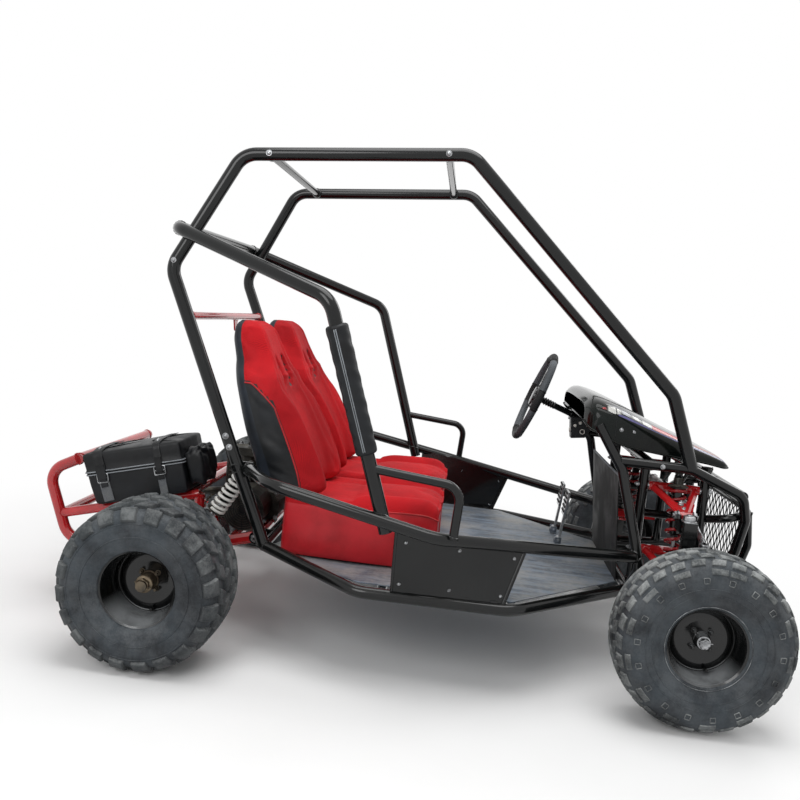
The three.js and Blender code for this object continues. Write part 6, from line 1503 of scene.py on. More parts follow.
def seat_back_point(sign, up, rear, depth, wide, across, out):
    return Vector((SEAT_REAR_X + rear * SEAT_BACK_DEPTH * 0.9 + out * depth * SEAT_BACK_DEPTH,
                   sign * SEAT_Y + across * wide * SEAT_HALF, SEAT_BASE_TOP + 0.3 + up * SEAT_BACK_HEIGHT))


def panel_top(column):
    """Height of the black side panel's top edge, which rounds over towards the face."""
    return 0.635 - 0.13 * max(0.0, (column - 5.6) / 1.6) ** 1.6


def panel_of(column, height):
    """Which cloth a patch of the back belongs to: 0 shell, 1 black side, 2 red side, 3 red face."""
    if column < SHELL_TO:
        return 0
    if column < SIDE_TO and height < panel_top(column):
        return 1
    return 2 if column < 8 else 3


def build_seat_backs():
    finishes = ["seat_shell", "black_vinyl", "red_cloth", "red_cloth"]
    rows = smooth_rows(BACK_RINGS, 5)
    half = smooth_rows(BACK_SECTION, 3)
    columns = [(across, out, i / 3) for i, (across, out) in enumerate(half)]
    for tag, sign in SIDES:
        loop = columns + [(-a, d, c) for a, d, c in columns[-2:0:-1]]
        points, pins = [], []
        for row, (up, rear, depth, width) in enumerate(rows):
            for across, out, column in loop:
                if column > SIDE_TO:
                    # The head is fuller between its wings than the back below it
                    out += (max(out, 0.93) - out) * max(0.0, min(1.0, (up - 0.56) / 0.12))
                p = seat_back_point(sign, up, rear, depth, width, across, out)
                # Centre panel sits lower between the bolsters, and the slots pass the shoulders
                seam = min(abs(column - SHELL_TO), abs(column - (SIDE_TO if up < panel_top(SIDE_TO) else 8)))
                if SHELL_TO < column < SIDE_TO and up > 0.05:
                    seam = min(seam, abs(up - panel_top(column)) * 24)
                channel = abs(abs(across) - 0.56) * 14 if column > 11 else 9
                press = 3.2 * math.exp(-min(seam * 2.2, 9) ** 2 / 2) + 3.4 * math.exp(-min(channel, 9) ** 2 / 2)
                middle = Vector((SEAT_CORE_X, sign * SEAT_Y, p.z))
                inward = (middle - p).normalized()
                p = p + inward * press
                if SHELL_TO < column < SIDE_TO and up < 0.42:
                    low = (0.42 - up) / 0.42
                    wave = math.sin(up * 95 + column * 1.7 + 1.6 * math.sin(up * 31))
                    wave += 0.5 * math.sin(up * 170 - column * 3)
                    p = p + inward * (3.4 * low * wave)
                points.append(p * MM)
                fixed = 1.0 if column <= SHELL_TO else 0.0
                if seam < 0.25 or channel < 0.6:
                    fixed = max(fixed, 0.85)
                if up < 0.015 or up > 0.985:
                    fixed = 1.0
                pins.append(fixed)
        name = f"seat_back_{tag}"
        thing = sew(name, rows, loop, points, pins, lambda row, column: panel_of(column, rows[row][0]),
                    [0, 2], finishes, 7)
        for at_y in (-SLOT_OFFSET, SLOT_OFFSET):
            press_slot(thing.data, sign * SEAT_Y + at_y)
        seat_piece(thing, name)
        build_seat_piping(tag, sign, thing.data, loop, rows)


def press_slot(mesh, y):
    """Sinks one belt slot of the seat's face and turns it black by its finish."""
    z_mid = SEAT_BASE_TOP + 0.7 * SEAT_BACK_HEIGHT
    deep = []
    for vertex in mesh.vertices:
        p = vertex.co / MM
        off = ((p.y - y) / SLOT_HALF_WIDTH) ** 2 + ((p.z - z_mid) / SLOT_HALF_HEIGHT) ** 2
        if off < 1.7 and p.x > SEAT_FACE_FROM:
            depth = SLOT_DEPTH * max(0.0, min(1.0, 1.5 - off))
            vertex.co.x -= depth * MM
            if off < 1.15:
                deep.append(vertex.index)
    marked = set(deep)
    for face in mesh.polygons:
        if sum(1 for i in face.vertices if i in marked) >= 3:
            face.material_index = 1


def build_seat_piping(tag, sign, mesh, loop, rows):
    """Red cord sewn along the black side panels, over their tops and down towards the seat."""
    form = Form()
    wide = len(loop)
    edge = [(SHELL_TO + (SIDE_TO - SHELL_TO) * i / 16) for i in range(17)]
    edge = [(column, panel_top(column)) for column in edge]
    edge += [(SIDE_TO, panel_top(SIDE_TO) * (1 - i / 30)) for i in range(1, 30)]

    def grid(row, column, mirror):
        k = min(int(column * 3), len(loop) // 2 - 1)
        k, j = (k, k + 1) if mirror > 0 else (-k % len(loop), (-k - 1) % len(loop))
        a, b = (mesh.vertices[row * wide + n].co / MM for n in (k, j))
        return a.lerp(b, column * 3 - int(column * 3))
    for mirror in (1, -1):
        line = []
        for column, up in edge:
            row = next(r for r in range(len(rows) - 1) if rows[r + 1][0] > up)
            low, high = grid(row, column, mirror), grid(row + 1, column, mirror)
            p = low.lerp(high, (up - rows[row][0]) / (rows[row + 1][0] - rows[row][0]))
            line.append(p + (p - Vector((SEAT_FACE_FROM, sign * SEAT_Y, p.z))).normalized() * 1.6)
        sweep(form, headed(line), 2.4, 8)
    piece(f"seat_piping_{tag}", form, "red_piping", "frame")


# Along, width, height and crown of the base's rings, as shares
BASE_RINGS = [(0.0, 0.84, 0.8, 0.0), (0.01, 0.9, 0.84, 0.0), (0.04, 0.95, 0.86, 0.0), (0.2, 0.985, 0.86, 0.0),
              (0.4, 1.0, 0.87, 0.1), (0.47, 1.0, 0.91, 0.7), (0.55, 1.0, 0.94, 1.0), (0.7, 1.0, 0.96, 1.0),
              (0.84, 0.995, 0.975, 0.95), (0.92, 0.98, 0.97, 0.85), (0.97, 0.945, 0.92, 0.6),
              (0.99, 0.9, 0.83, 0.35), (1.0, 0.84, 0.7, 0.1)]
BASE_SECTION = [(0.0, 0.0, 0.0), (0.5, 0.0, 0.0), (0.9, 0.0, 0.0), (0.965, 0.03, 0.0), (0.99, 0.12, 0.0),
                (1.0, 0.4, 0.0), (0.995, 0.7, 0.0), (0.975, 0.86, 0.05), (0.925, 0.965, 0.25),
                (0.84, 1.0, 0.48), (0.75, 0.995, 0.45), (0.66, 0.965, 0.2), (0.58, 0.955, 0.12),
                (0.4, 0.97, 0.3), (0.2, 0.98, 0.38), (0.0, 0.98, 0.4)]
BASE_SIDE_TO = 7


def build_seat_bases():
    rows = smooth_rows(BASE_RINGS, 4)
    half = smooth_rows(BASE_SECTION, 3)
    columns = [(a, b, c, i / 3) for i, (a, b, c) in enumerate(half)]
    height = SEAT_BASE_TOP - SEAT_BASE_FOOT
    for tag, sign in SIDES:
        loop = columns + [(-a, b, r, c) for a, b, r, c in columns[-2:0:-1]]
        wide = len(loop)
        points, pins = [], []
        for along, width, tall, crown in rows:
            for across, up, rise, column in loop:
                lift = height * (1 + 0.1 * crown) * (1 - crown * (1 - tall))
                p = Vector((SEAT_BASE_X + along * SEAT_BASE_LENGTH,
                            sign * SEAT_Y + across * width * (SEAT_HALF - 1),
                            SEAT_BASE_FOOT + up * min(lift, height * 1.1) + rise * crown * 30))
                if crown < 0.5:
                    p.z = min(p.z, SEAT_BASE_TOP - 1)
                seam = min(abs(column - BASE_SIDE_TO), abs(column - 11.5) * 0.8) if column > 3 else 9
                p.z -= 3.0 * math.exp(-(seam * 2.2) ** 2 / 2) * (1 if crown > 0.2 else 0.2)
                points.append(p * MM)
                fixed = 1.0 if column < 3 or along < 0.42 else (0.8 if seam < 0.3 else 0.0)
                if along > 0.985:
                    fixed = 0.7
                pins.append(fixed)
        name = f"seat_base_{tag}"
        thing = sew(name, rows, loop, points, pins, lambda row, column: 0 if column < BASE_SIDE_TO - 0.1 else 1,
                    [0, 0], ("red_cushion", "red_cloth"), 6)
        mesh = thing.data
        seat_piece(thing, name)
        form = Form()
        for mirror in (1, -1):
            wanted = next(k for k, row in enumerate(loop) if abs(row[3] - BASE_SIDE_TO) < 0.01
                          and row[0] * mirror > 0)
            line = [mesh.vertices[r * wide + wanted].co / MM + Vector((0, mirror * 0.8, 1.2))
                    for r in range(len(rows)) if rows[r][0] > 0.42]
            sweep(form, headed(line), 2.4, 8)
        piece(f"seat_base_piping_{tag}", form, "red_piping", "frame")


# Wheels and front suspension

# Distance from the tyre's middle and radius of its carcass, from the crown round the shoulder to the bead
FRONT_CARCASS = [(0, 235.5), (34, 233.5), (58, 226), (75, 212.5), (85, 194), (88, 172), (86, 150), (80, 129),
                 (74, 115), (70, 106), (60, 103)]
REAR_CARCASS = [(0, 217.5), (50, 216.5), (84, 213), (105, 203), (116, 184), (118.5, 162), (116, 141),
                (109, 123), (103, 112), (98, 105), (88, 103)]


class Tyre:
    """A carcass turned about its axle, whose surface is found by angle and by distance round its section."""

    def __init__(self, centre, sign, carcass):
        self.centre, self.sign = Vector(centre), sign
        self.line = [Vector((a, r)) for a, r in smooth_rows(carcass, 4)]
        self.walk = [0.0]
        for a, b in zip(self.line, self.line[1:]):
            self.walk.append(self.walk[-1] + (b - a).length)

    def at(self, angle, arc, lift=0.0):
        far = min(abs(arc), self.walk[-1] - 0.01)
        k = next(i for i in range(len(self.walk) - 1) if self.walk[i + 1] > far)
        step = self.line[k + 1] - self.line[k]
        p = self.line[k] + step * ((far - self.walk[k]) / step.length)
        normal = Vector((-step.y, step.x)).normalized()
        p = p + normal * lift
        across = p.x if arc >= 0 else -p.x
        return self.centre + Vector((p.y * math.sin(angle), self.sign * across, p.y * math.cos(angle)))

    def shell(self, form, sides=96, finish=0):
        """The carcass, open at its bore, with an inner face a little way in."""
        outer = [(p.x, p.y) for p in self.line]
        section = [(r, a) for a, r in outer] + [(r, -a) for a, r in outer[::-1][:-1]]
        ring_of(form, section, self.centre, Y * self.sign, sides, finish)

    def rings(self, form, arcs, lift, radius):
        """Round ribs moulded along the outer sidewall."""
        for arc in arcs:
            p = self.at(0, arc, lift) - self.centre
            section = [(p.z + c * radius, abs(p.y) + s * radius) for c, s in circle_outline(1, 8)]
            ring_of(form, section, self.centre, Y * self.sign, 96, 0)

    def block(self, form, angle, wide, low, high, height, taper=0.86, skew=0.0, finish=0, cuts=3):
        """One tread block over a span of angle and a span round the section."""
        rings = []
        low, high = sorted((low, high))
        mid, half = (low + high) / 2, (high - low) / 2
        for lift, share in ((-1.5, 1.04), (height * 0.8, (1 + taper) / 2), (height, taper - 0.04)):
            loop = []
            for a in range(-cuts, cuts + 1):
                loop.append((-1, a / cuts))
            for a in (0.0, 1.0):
                loop.append((a, 1))
            for a in range(cuts - 1, -cuts - 1, -1):
                loop.append((1, a / cuts))
            loop.append((0.0, -1))
            rings.append([self.at(angle + wide / 2 * u * share + skew * v, mid + half * v * share, lift)
                          for u, v in loop])
        skin(form, rings, finish, caps=False)
        count = len(rings[0])
        top = [len(form.points) - count + i for i in range(count)]
        middle = len(form.points)
        form.points.append(self.at(angle, mid, height))
        for i in range(count):
            form.faces.append((top[i], top[(i + 1) % count], middle))
            form.finishes.append(finish)


def build_tyres():
    sizes = bpy.context.scene.kart_sizes
    worn, tall = sizes.front_tread, sizes.rear_tread
    for tag, sign in SIDES:
        form = Form()
        tyre = Tyre((FRONT_AXLE_X, sign * FRONT_Y, FRONT_RADIUS), sign, FRONT_CARCASS)
        tyre.shell(form)
        steps = 27
        pitch = TURN / steps
        for k in range(steps):
            a = TURN * k / steps
            tyre.block(form, a, pitch * 0.66, -13, 13, worn, finish=1)
            for side in (1, -1):
                tyre.block(form, a + pitch * 0.5, pitch * 0.68, side * 20, side * 43, worn, finish=1,
                           skew=0.012 * side)
                tyre.block(form, a, pitch * 0.7, side * 50, side * 72, worn, finish=1, skew=-0.01 * side)
                if k % 2 == 0:
                    tyre.block(form, a + pitch, pitch * 0.9, side * 80, side * 96, worn * 0.6, finish=1)
        for k in range(18):
            a = TURN * (k + 0.5) / 18
            for du, dv, wide, long in ((-1, 0, 0.012, 15), (1, 0, 0.012, 15),
                                       (0, -1, 0.075, 2.4), (0, 1, 0.075, 2.4)):
                mid = 112 + dv * 7
                tyre.block(form, a + du * 0.037, wide, mid - long / 2, mid + long / 2, 2.4, taper=0.8, finish=1,
                           cuts=1)
        tyre.rings(form, (134, 152), 0.2, 1.3)
        piece(f"front_tyre_{tag}", form, ["sidewall_rubber", "dusty_tread"], f"front_wheel_{tag}",
              bevel=0.8, smooth=50)
        form = Form()
        tyre = Tyre((REAR_AXLE_X, sign * REAR_Y, REAR_RADIUS), sign, REAR_CARCASS)
        tyre.shell(form)
        steps = 20
        pitch = TURN / steps
        for k in range(steps):
            a = TURN * k / steps
            tyre.block(form, a, pitch * 0.62, -36, -4, tall, finish=1, skew=0.035)
            tyre.block(form, a + pitch * 0.5, pitch * 0.62, 4, 36, tall, finish=1, skew=0.035)
            for side, shift in ((1, 0.0), (-1, 0.5)):
                tyre.block(form, a + pitch * shift, pitch * 0.6, side * 45, side * 80, tall, finish=1,
                           skew=-0.04 * side)
                tyre.block(form, a + pitch * (shift + 0.5), pitch * 0.66, side * 86, side * 128, tall * 0.95,
                           finish=1, skew=0.012)
        tyre.rings(form, (133, 168), 0.4, 1.8)
        piece(f"rear_tyre_{tag}", form, ["sidewall_rubber", "tread_rubber"], "rear_axle",
              bevel=1.0, smooth=50)


# Width of the rim, place of its disc, and the hub's radius, inner end, outer end and bore
FRONT_WHEEL = 146, -6, (23, -78, 22, 10.5)
REAR_WHEEL = 200, -8, (27, -60, 34, 15)


def wheel(name, centre, sign, width, disc, hub, trim, body):
    """A dished steel rim with its rolled lips, hub, studs and valve."""
    form = Form()
    half, out = width / 2, Y * sign
    outer = [(113, half), (113.5, half - 3), (109, half - 6), (103.5, half - 9), (102.5, half - 24),
             (93, half - 38)]
    inner = [(89, half - 38), (98.5, half - 24), (99.5, half - 9), (105, half - 5), (109.5, half - 1.5)]
    section = outer + [(r, -a) for r, a in outer[::-1]] + [(r, -a) for r, a in inner[::-1]] + inner
    ring_of(form, section, centre, out, 96, 0)
    bead = [(111.8 + 1.3 * c, half + 0.5 + 1.3 * s) for c, s in circle_outline(1, 10)]
    ring_of(form, bead, centre, out, 96, 1)
    ring_of(form, [(90.5, disc - 1), (84, disc + 1), (76, disc + 9), (62, disc + 12), (50, disc + 7),
                   (22, disc + 7), (22, disc + 3), (50, disc + 3), (61, disc + 8), (73, disc + 5),
                   (82, disc - 3), (90.5, disc - 5)],
            centre, out, 96, 0)
    ring_of(form, [(90, disc + 3), (87, disc + 4), (84.5, disc + 1), (90, disc - 2)], centre, out, 96, 0)
    radius, low, high, bore = hub
    ring_of(form, [(bore, low), (radius - 2, low), (radius, low + 2), (radius, disc + 12),
                   (radius - 3, disc + 14), (radius - 4, high - 3), (radius - 6, high), (bore, high)],
            centre, out, 48, 2)
    for k in range(4):
        angle = math.radians(45 + 90 * k)
        at = centre + Vector((31 * math.sin(angle), sign * (disc + 7), 31 * math.cos(angle)))
        rod(form, at, at + out * 17, 8, 16, 3)
        hex_bolt(form, at, out, 11, 8, 3)
    foot = centre + Vector((18, sign * (disc + 5), -80))
    rod(form, foot, foot + out * 18 + Z * 3, 7, 12, 4)
    rod(form, foot + out * 18 + Z * 3, foot + out * 27 + Z * 5, 8.5, 12, 4)
    return piece(name, form, ["rim_paint", "bright_edge", *trim, "black_rubber"], body,
                 bevel=0.8)


def build_rims():
    for tag, sign in SIDES:
        centre = Vector((FRONT_AXLE_X, sign * FRONT_Y, FRONT_RADIUS))
        wheel(f"front_rim_{tag}", centre, sign, *FRONT_WHEEL, ("rim_paint", "rim_paint"), f"front_wheel_{tag}")
        centre = Vector((REAR_AXLE_X, sign * REAR_Y, REAR_RADIUS))
        wheel(f"rear_rim_{tag}", centre, sign, *REAR_WHEEL, ("rusty_brass", "dark_chain"), "rear_axle")


def dress(finish, *names):
    """Gives a CAD node whose shape is right its finish."""
    for name in names:
        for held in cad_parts[name].material_slots:
            held.material = FINISHES[finish]


def build_wishbones():
    for tag, sign in SIDES:
        for level, (high, low) in ARM_HEIGHTS.items():
            dress("red_paint", f"{level}_wishbone_{tag}")
            form = Form()
            inner = Vector((KINGPIN_X, sign * ARM_INNER_Y, high))
            outer = Vector((KINGPIN_X, sign * ARM_OUTER_Y, low))
            body = f"{level}_wishbone_{tag}"
            for end in (-1, 1):
                hex_bolt(form, inner + X * (end * 75), X * end, 17, 8, 0)
                rod(form, inner + X * (end * 74), inner + X * (end * 79), 24, 20, 0)
                foot = inner + X * (end * 64)
                weld(form, foot, along_of(foot, outer), 11, inner, X, 14, 2.6, 1)
            if level == "upper":
                for share in (0.62, 0.84):
                    hex_bolt(form, inner + (outer - inner) * share + Z * 2, Z, 13, 6, 0)
            else:
                at = Vector((KINGPIN_X, sign * FRONT_SHOCK_FOOT_Y, FRONT_SHOCK_FOOT_Z))
                for end in (-1, 1):
                    hex_bolt(form, at + X * (end * 43), X * end, 18, 8, 0)
            piece(f"{level}_wishbone_bolts_{tag}", form, ["zinc", "red_paint"], body)


KINGPIN_TOP_Z, SPINDLE_END_Y = 528.5, 619.5
BOOT_FOOT_Z, BOOT_PITCH, BOOT_RINGS = 356, 13.4, 12


def build_carriers():
    for tag, sign in SIDES:
        dress("black_paint", f"kingpin_carrier_{tag}")
        dress("rim_paint", f"steering_knuckle_{tag}")
        form = Form()
        centre = Vector((KINGPIN_X, sign * KINGPIN_Y, 0))
        for k in range(BOOT_RINGS):
            z = BOOT_FOOT_Z + k * BOOT_PITCH
            ring_of(form, [(15.5, z - 4.5), (18.2, z - 2.5), (18.8, z), (18.2, z + 2.5), (15.5, z + 4.5)],
                    centre, Z, 32, 0)
        for _, height in ARM_HEIGHTS.values():
            for end in (-1, 1):
                hex_bolt(form, Vector((KINGPIN_X + end * 21, sign * ARM_OUTER_Y, height)), X * end, 22, 9, 1)
        piece(f"carrier_ribs_{tag}", form, ["black_rubber", "zinc"], f"kingpin_carrier_{tag}")
        form = Form()
        top = Vector((KINGPIN_X, sign * KINGPIN_Y, KINGPIN_TOP_Z))
        hex_bolt(form, top, Z, 30, 13, 0)
        rod(form, top + Z * 12, top + Z * 18, 16, 20, 0)
        out = Vector((FRONT_AXLE_X, sign * SPINDLE_END_Y, FRONT_RADIUS))
        ring_of(form, [(10, 0), (17, 0), (17, 3), (10, 3)], out, Y * sign, 32, 0)
        hex_bolt(form, out + Y * (sign * 2), Y * sign, 25, 10.5, 0)
        for k in range(6):
            u = math.radians(60 * k + 30)
            at = out + Vector((10 * math.sin(u), sign * 12, 10 * math.cos(u)))
            side, up = Vector((math.cos(u), 0, -math.sin(u))), Vector((math.sin(u), 0, math.cos(u)))
            prism(form, [(-4, -3), (4, -3), (4, 3), (-4, 3)], at, side, up, 5, 0)
        rod(form, out + Y * (sign * 12), out + Y * (sign * 19), 18, 20, 0)
        rod(form, out + Vector((-20, sign * 15, 4)), out + Vector((20, sign * 15, 4)), 3, 8, 0)
        piece(f"knuckle_nuts_{tag}", form, "zinc", f"steering_knuckle_{tag}", bevel=0.5)


# Shocks: a body, a rod and a coil that is squeezed between them

def shock_frames():
    for tag, sign in SIDES:
        top = Vector((KINGPIN_X, sign * FRONT_SHOCK_TOP_Y, FRONT_SHOCK_TOP_Z))
        foot = Vector((KINGPIN_X, sign * FRONT_SHOCK_FOOT_Y, FRONT_SHOCK_FOOT_Z))
        yield "front", tag, top, foot, X, 190, 46, 34
        top, foot = (Vector((x, sign * REAR_SHOCK_Y, z)) for x, z in (REAR_SHOCK_TOP, REAR_SHOCK_FOOT))
        yield "rear", tag, top, foot, Y, 140, 40, 32


def eye(form, at, pin):
    """A round eye with its rubber bush, sleeve and bolt head on both sides."""
    ring_of(form, [(8.5, -10), (12, -10.5), (13, -9), (13, 9), (12, 10.5), (8.5, 10)], at, pin, 40, 0)
    ring_of(form, [(6, -11), (8.5, -11.3), (8.5, 11.3), (6, 11)], at, pin, 32, 2)
    for way in (-1, 1):
        turned(form, [(0, 10), (8, 10), (8, 12.4), (0, 12.4)], at, pin * way, 24, 1)


def build_shocks():
    for end, tag, top, foot, pin, body_length, collar_at, low_collar in shock_frames():
        axis = along_of(top, foot)
        length = (foot - top).length
        finishes = ["cast_alloy", "zinc", "black_rubber", "black_paint"]
        form = Form()
        eye(form, top, pin)
        turned(form, [(0, 8), (9, 10), (12.5, 16), (13.5, 24), (14, 30), (14, body_length - 8),
                      (12.6, body_length - 3), (11, body_length), (0, body_length)], top, axis, 40, 3)
        for k in range(7):
            z = 24 + k * 3.4
            ring_of(form, [(13.4, z - 1.3), (15.3, z - 0.5), (15.3, z + 0.5), (13.4, z + 1.3)],
                    top, axis, 40, 0)
        turned(form, [(13, collar_at - 5), (20, collar_at - 4.5), (28, collar_at - 1), (29, collar_at + 0.6),
                      (29, collar_at + 3), (27.5, collar_at + 4.6), (22.5, collar_at + 4.6),
                      (21, collar_at + 8), (15, collar_at + 8)], top, axis, 48, 0)
        for k in range(4):
            u, v = square_to(axis)
            out = spun(u, v, k * math.pi / 2)
            at = top + axis * (collar_at + 1)
            rod(form, at + out * 24, at + out * 29.6, 5, 10, 2)
        ring_of(form, [(5.4, body_length), (9.5, body_length), (10.5, body_length + 3), (7, body_length + 6),
                       (5.4, body_length + 6)], top, axis, 32, 2)
        piece(f"{end}_shock_{tag}_damper", form, finishes, f"{end}_damper_{tag}", bevel=0.4)
        form = Form()
        eye(form, foot, pin)
        back = -axis
        turned(form, [(0, 8), (8.5, 10), (10, 16), (9, low_collar - 6), (6, low_collar), (5, low_collar + 4),
                      (5, length - body_length + 14), (0, length - body_length + 14)], foot, back, 32, 1)
        turned(form, [(5, low_collar - 6), (20, low_collar - 5.5), (28, low_collar - 3), (29, low_collar - 1.5),
                      (29, low_collar - 0.4), (22, low_collar - 0.3), (21, low_collar + 3),
                      (5, low_collar + 4)], foot, back, 48, 0)
        stop = 20 if end == "front" else 7
        turned(form, [(5.4, low_collar + 3), (10, low_collar + 3.5), (11, low_collar + 3 + stop / 2),
                      (9.5, low_collar + 2 + stop), (5.4, low_collar + 3 + stop)], foot, back, 32, 2)
        piece(f"{end}_shock_{tag}_rod", form, finishes, f"{end}_shock_rod_{tag}", bevel=0.4)
        start, last = top + axis * (collar_at + 9.6), foot - axis * (low_collar + 4.9)
        u, v = square_to(axis)
        span = (last - start).length
        curls, steps = 7.6, 40
        stations = []
        for i in range(int(curls * steps) + 1):
            turn = i / steps
            # The end turns lie flat on the seats
            free = min(max(turn - 0.75, 0) / (curls - 1.5), 1)
            rise = 9.8 * min(turn, 0.75) + free * (span - 9.8 * 1.5) + 9.8 * max(turn - (curls - 0.75), 0)
            angle = turn * TURN
            stations.append(start + axis * rise + spun(u, v, angle) * 22.5)
        form = Form()
        last_one = len(stations) - 1
        heads = [along_of(stations[max(i - 1, 0)], stations[min(i + 1, last_one)]) for i in range(last_one + 1)]
        sweep(form, list(zip(stations, heads)), bpy.context.scene.kart_sizes.coil_wire / 2, 14)
        name = f"{end}_shock_{tag}_spring"
        finish = FINISHES["white_coil" if end == "rear" else "red_coil"]
        coil = link_new(shown_name(name), make_mesh(name, form, [finish], 60))
        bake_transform(coil)
        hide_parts(name)


# Rear: axle, swing arm, engine, chain, rack and box

CHAIN_Y, CHAIN_PITCH, ROLLER_RADIUS, CHAIN_PIN_RADIUS = 130, 12.7, 3.9, 1.9
AXLE_HALF, AXLE_NUT_Y = 714, 690
DRIVE_CENTRE, DRIVE_RADIUS, DRIVEN_RADIUS = Vector((-473, CHAIN_Y, 345)), 38, 95
TILT = math.radians(14.7)
ALONG, RISE = Vector((math.cos(TILT), 0, math.sin(TILT))), Vector((-math.sin(TILT), 0, math.cos(TILT)))
ENGINE_PLUG, FAN_CENTRE = Vector((-541, 0, 510)), Vector((-495, -228, 346))
BOX_CORNER = Vector((-923, -346, 334))
BOX_LENGTH, BOX_WIDTH, BOX_LOWER, BOX_LID, BOX_TAPER = 292, 222, 98, 62, 20
# Share of the box's length and width of its two straps
BOX_STRAPS = ((0.16, 32), (0.76, 24))
HINGE_V, LEAF_V = 228.3, 224.5


def build_rear_axle():
    form = Form()
    middle = Vector((REAR_AXLE_X, 0, REAR_RADIUS))
    rod(form, middle - Y * AXLE_HALF, middle + Y * AXLE_HALF, 30, 32, 0)
    for sign in (-1, 1):
        hex_bolt(form, middle + Y * (sign * AXLE_NUT_Y), Y * sign, 32, 13, 1)
        washer = middle + Y * (sign * (AXLE_NUT_Y + 1))
        ring_of(form, [(15, -3), (24, -3), (24, 0), (15, 0)], washer, Y * sign, 40, 1)
        pin = middle + Y * (sign * (AXLE_NUT_Y + 7))
        rod(form, pin + Vector((-24, 0, 6)), pin + Vector((24, 0, -6)), 4, 8, 0)
    teeth = 32
    outline = []
    for k in range(teeth):
        for du, r in ((-0.5, 0.915), (-0.22, 0.925), (-0.1, 1.0), (0.1, 1.0), (0.22, 0.925)):
            u = TURN * (k + du) / teeth
            outline.append((DRIVEN_RADIUS * r * math.cos(u), DRIVEN_RADIUS * r * math.sin(u)))
    prism(form, outline, middle + Y * (CHAIN_Y + 3), X, Z, 6, 2)
    disc = []
    for k in range(48):
        r, u = 90 * (1 - 0.03 * (k % 2)), math.pi * k / 24
        disc.append((r * math.cos(u), r * math.sin(u)))
    prism(form, disc, middle + Y * -147.5, X, Z, 5, 2)
    for y in (CHAIN_Y + 14, -164):
        ring_of(form, [(15, -12), (28, -12), (30, -10), (30, 10), (28, 12), (15, 12)], middle + Y * y, Y, 40, 0)
        for k in range(4):
            u = math.pi / 4 + math.pi / 2 * k
            hex_bolt(form, middle + spoke(22, u, y + (12 if y > 0 else -12)), Y if y > 0 else -Y, 8, 5, 1)
    piece("rear_axle_turned", form, ["dark_chain", "rusty_brass", "bright_edge"], "rear_axle",
          bevel=0.5, nodes=("rear_axle",))


def build_chain():
    a, b = DRIVE_CENTRE, Vector((REAR_AXLE_X, CHAIN_Y, REAR_RADIUS))
    ra, rb = DRIVE_RADIUS, DRIVEN_RADIUS
    span = b - a
    reach = math.hypot(span.x, span.z)
    heading, lean = math.atan2(span.z, span.x), math.acos((ra - rb) / reach)
    path = []

    def arc(centre, radius, start, stop):
        for i in range(41):
            u = start + (stop - start) * i / 40
            path.append(centre + spoke(radius, u))
    arc(a, ra, heading + lean, heading + TURN - lean)
    arc(b, rb, heading - lean, heading + lean)
    path.append(path[0])
    walk = [0.0]
    for p, q in zip(path, path[1:]):
        walk.append(walk[-1] + (q - p).length)
    links = int(round(walk[-1] / CHAIN_PITCH / 2)) * 2
    pins, k = [], 0
    for i in range(links):
        far = walk[-1] * i / links
        while walk[k + 1] < far:
            k += 1
        pins.append(path[k].lerp(path[k + 1], (far - walk[k]) / (walk[k + 1] - walk[k])))
    form = Form()
    for i, p in enumerate(pins):
        q = pins[(i + 1) % links]
        u = along_of(p, q)
        v = u.cross(Y)
        gap = (q - p).length
        turned(form, [(0, -3), (ROLLER_RADIUS, -3), (ROLLER_RADIUS, 3), (0, 3)], p, Y, 12, 0)
        turned(form, [(0, -4.6), (CHAIN_PIN_RADIUS, -4.6), (CHAIN_PIN_RADIUS, 4.6), (0, 4.6)], p, Y, 8, 1)
        outline = [(gap * 0.5 + 0.5 * gap * s + 4 * c, d) for s, c, d in
                   ((-1, 0, -4), (0, 0, -2.6), (1, 0, -4), (1, 0.7, -2.8), (1, 1, 0), (1, 0.7, 2.8), (1, 0, 4),
                    (0, 0, 2.6), (-1, 0, 4), (-1, -0.7, 2.8), (-1, -1, 0), (-1, -0.7, -2.8))]
        out = 3.9 if i % 2 else 2.9
        for low in (-out, out - 0.9):
            prism(form, outline, p + Y * -low, u, v, 0.9, 0)
    piece("drive_chain_links", form, ["dark_chain", "zinc"], "swing_arm", nodes=("drive_chain",))


def build_swing_arm():
    dress("red_paint", "swing_arm")
    form = Form()
    for _, sign in SIDES:
        pivot = Vector((SWING_PIVOT_X, sign * SWING_ARM_Y, SWING_PIVOT_Z))
        end = Vector((REAR_AXLE_X, sign * SWING_ARM_Y, REAR_RADIUS))
        for way in (-1, 1):
            hex_bolt(form, pivot + Y * (way * 18), Y * way, 24, 11, 0)
        ring_of(form, [(15.5, -18.5), (27, -18.5), (27, -17), (15.5, -17)], end, Y, 40, 1)
        ring_of(form, [(15.5, 17), (27, 17), (27, 18.5), (15.5, 18.5)], end, Y, 40, 1)
        foot = Vector((REAR_SHOCK_FOOT[0], sign * REAR_SHOCK_Y, REAR_SHOCK_FOOT[1]))
        for way in (-1, 1):
            hex_bolt(form, foot + Y * (way * 18), Y * way, 18, 8, 0)
        weld(form, end, along_of(end, pivot), 18, end, Y, 31, 3.4, 2)
    piece("swing_arm_bolts", form, ["zinc", "black_rubber", "red_paint"], "swing_arm")


RACK_RAIL_DROP = 15.8
STRUT_FOOT_Z = 243.5


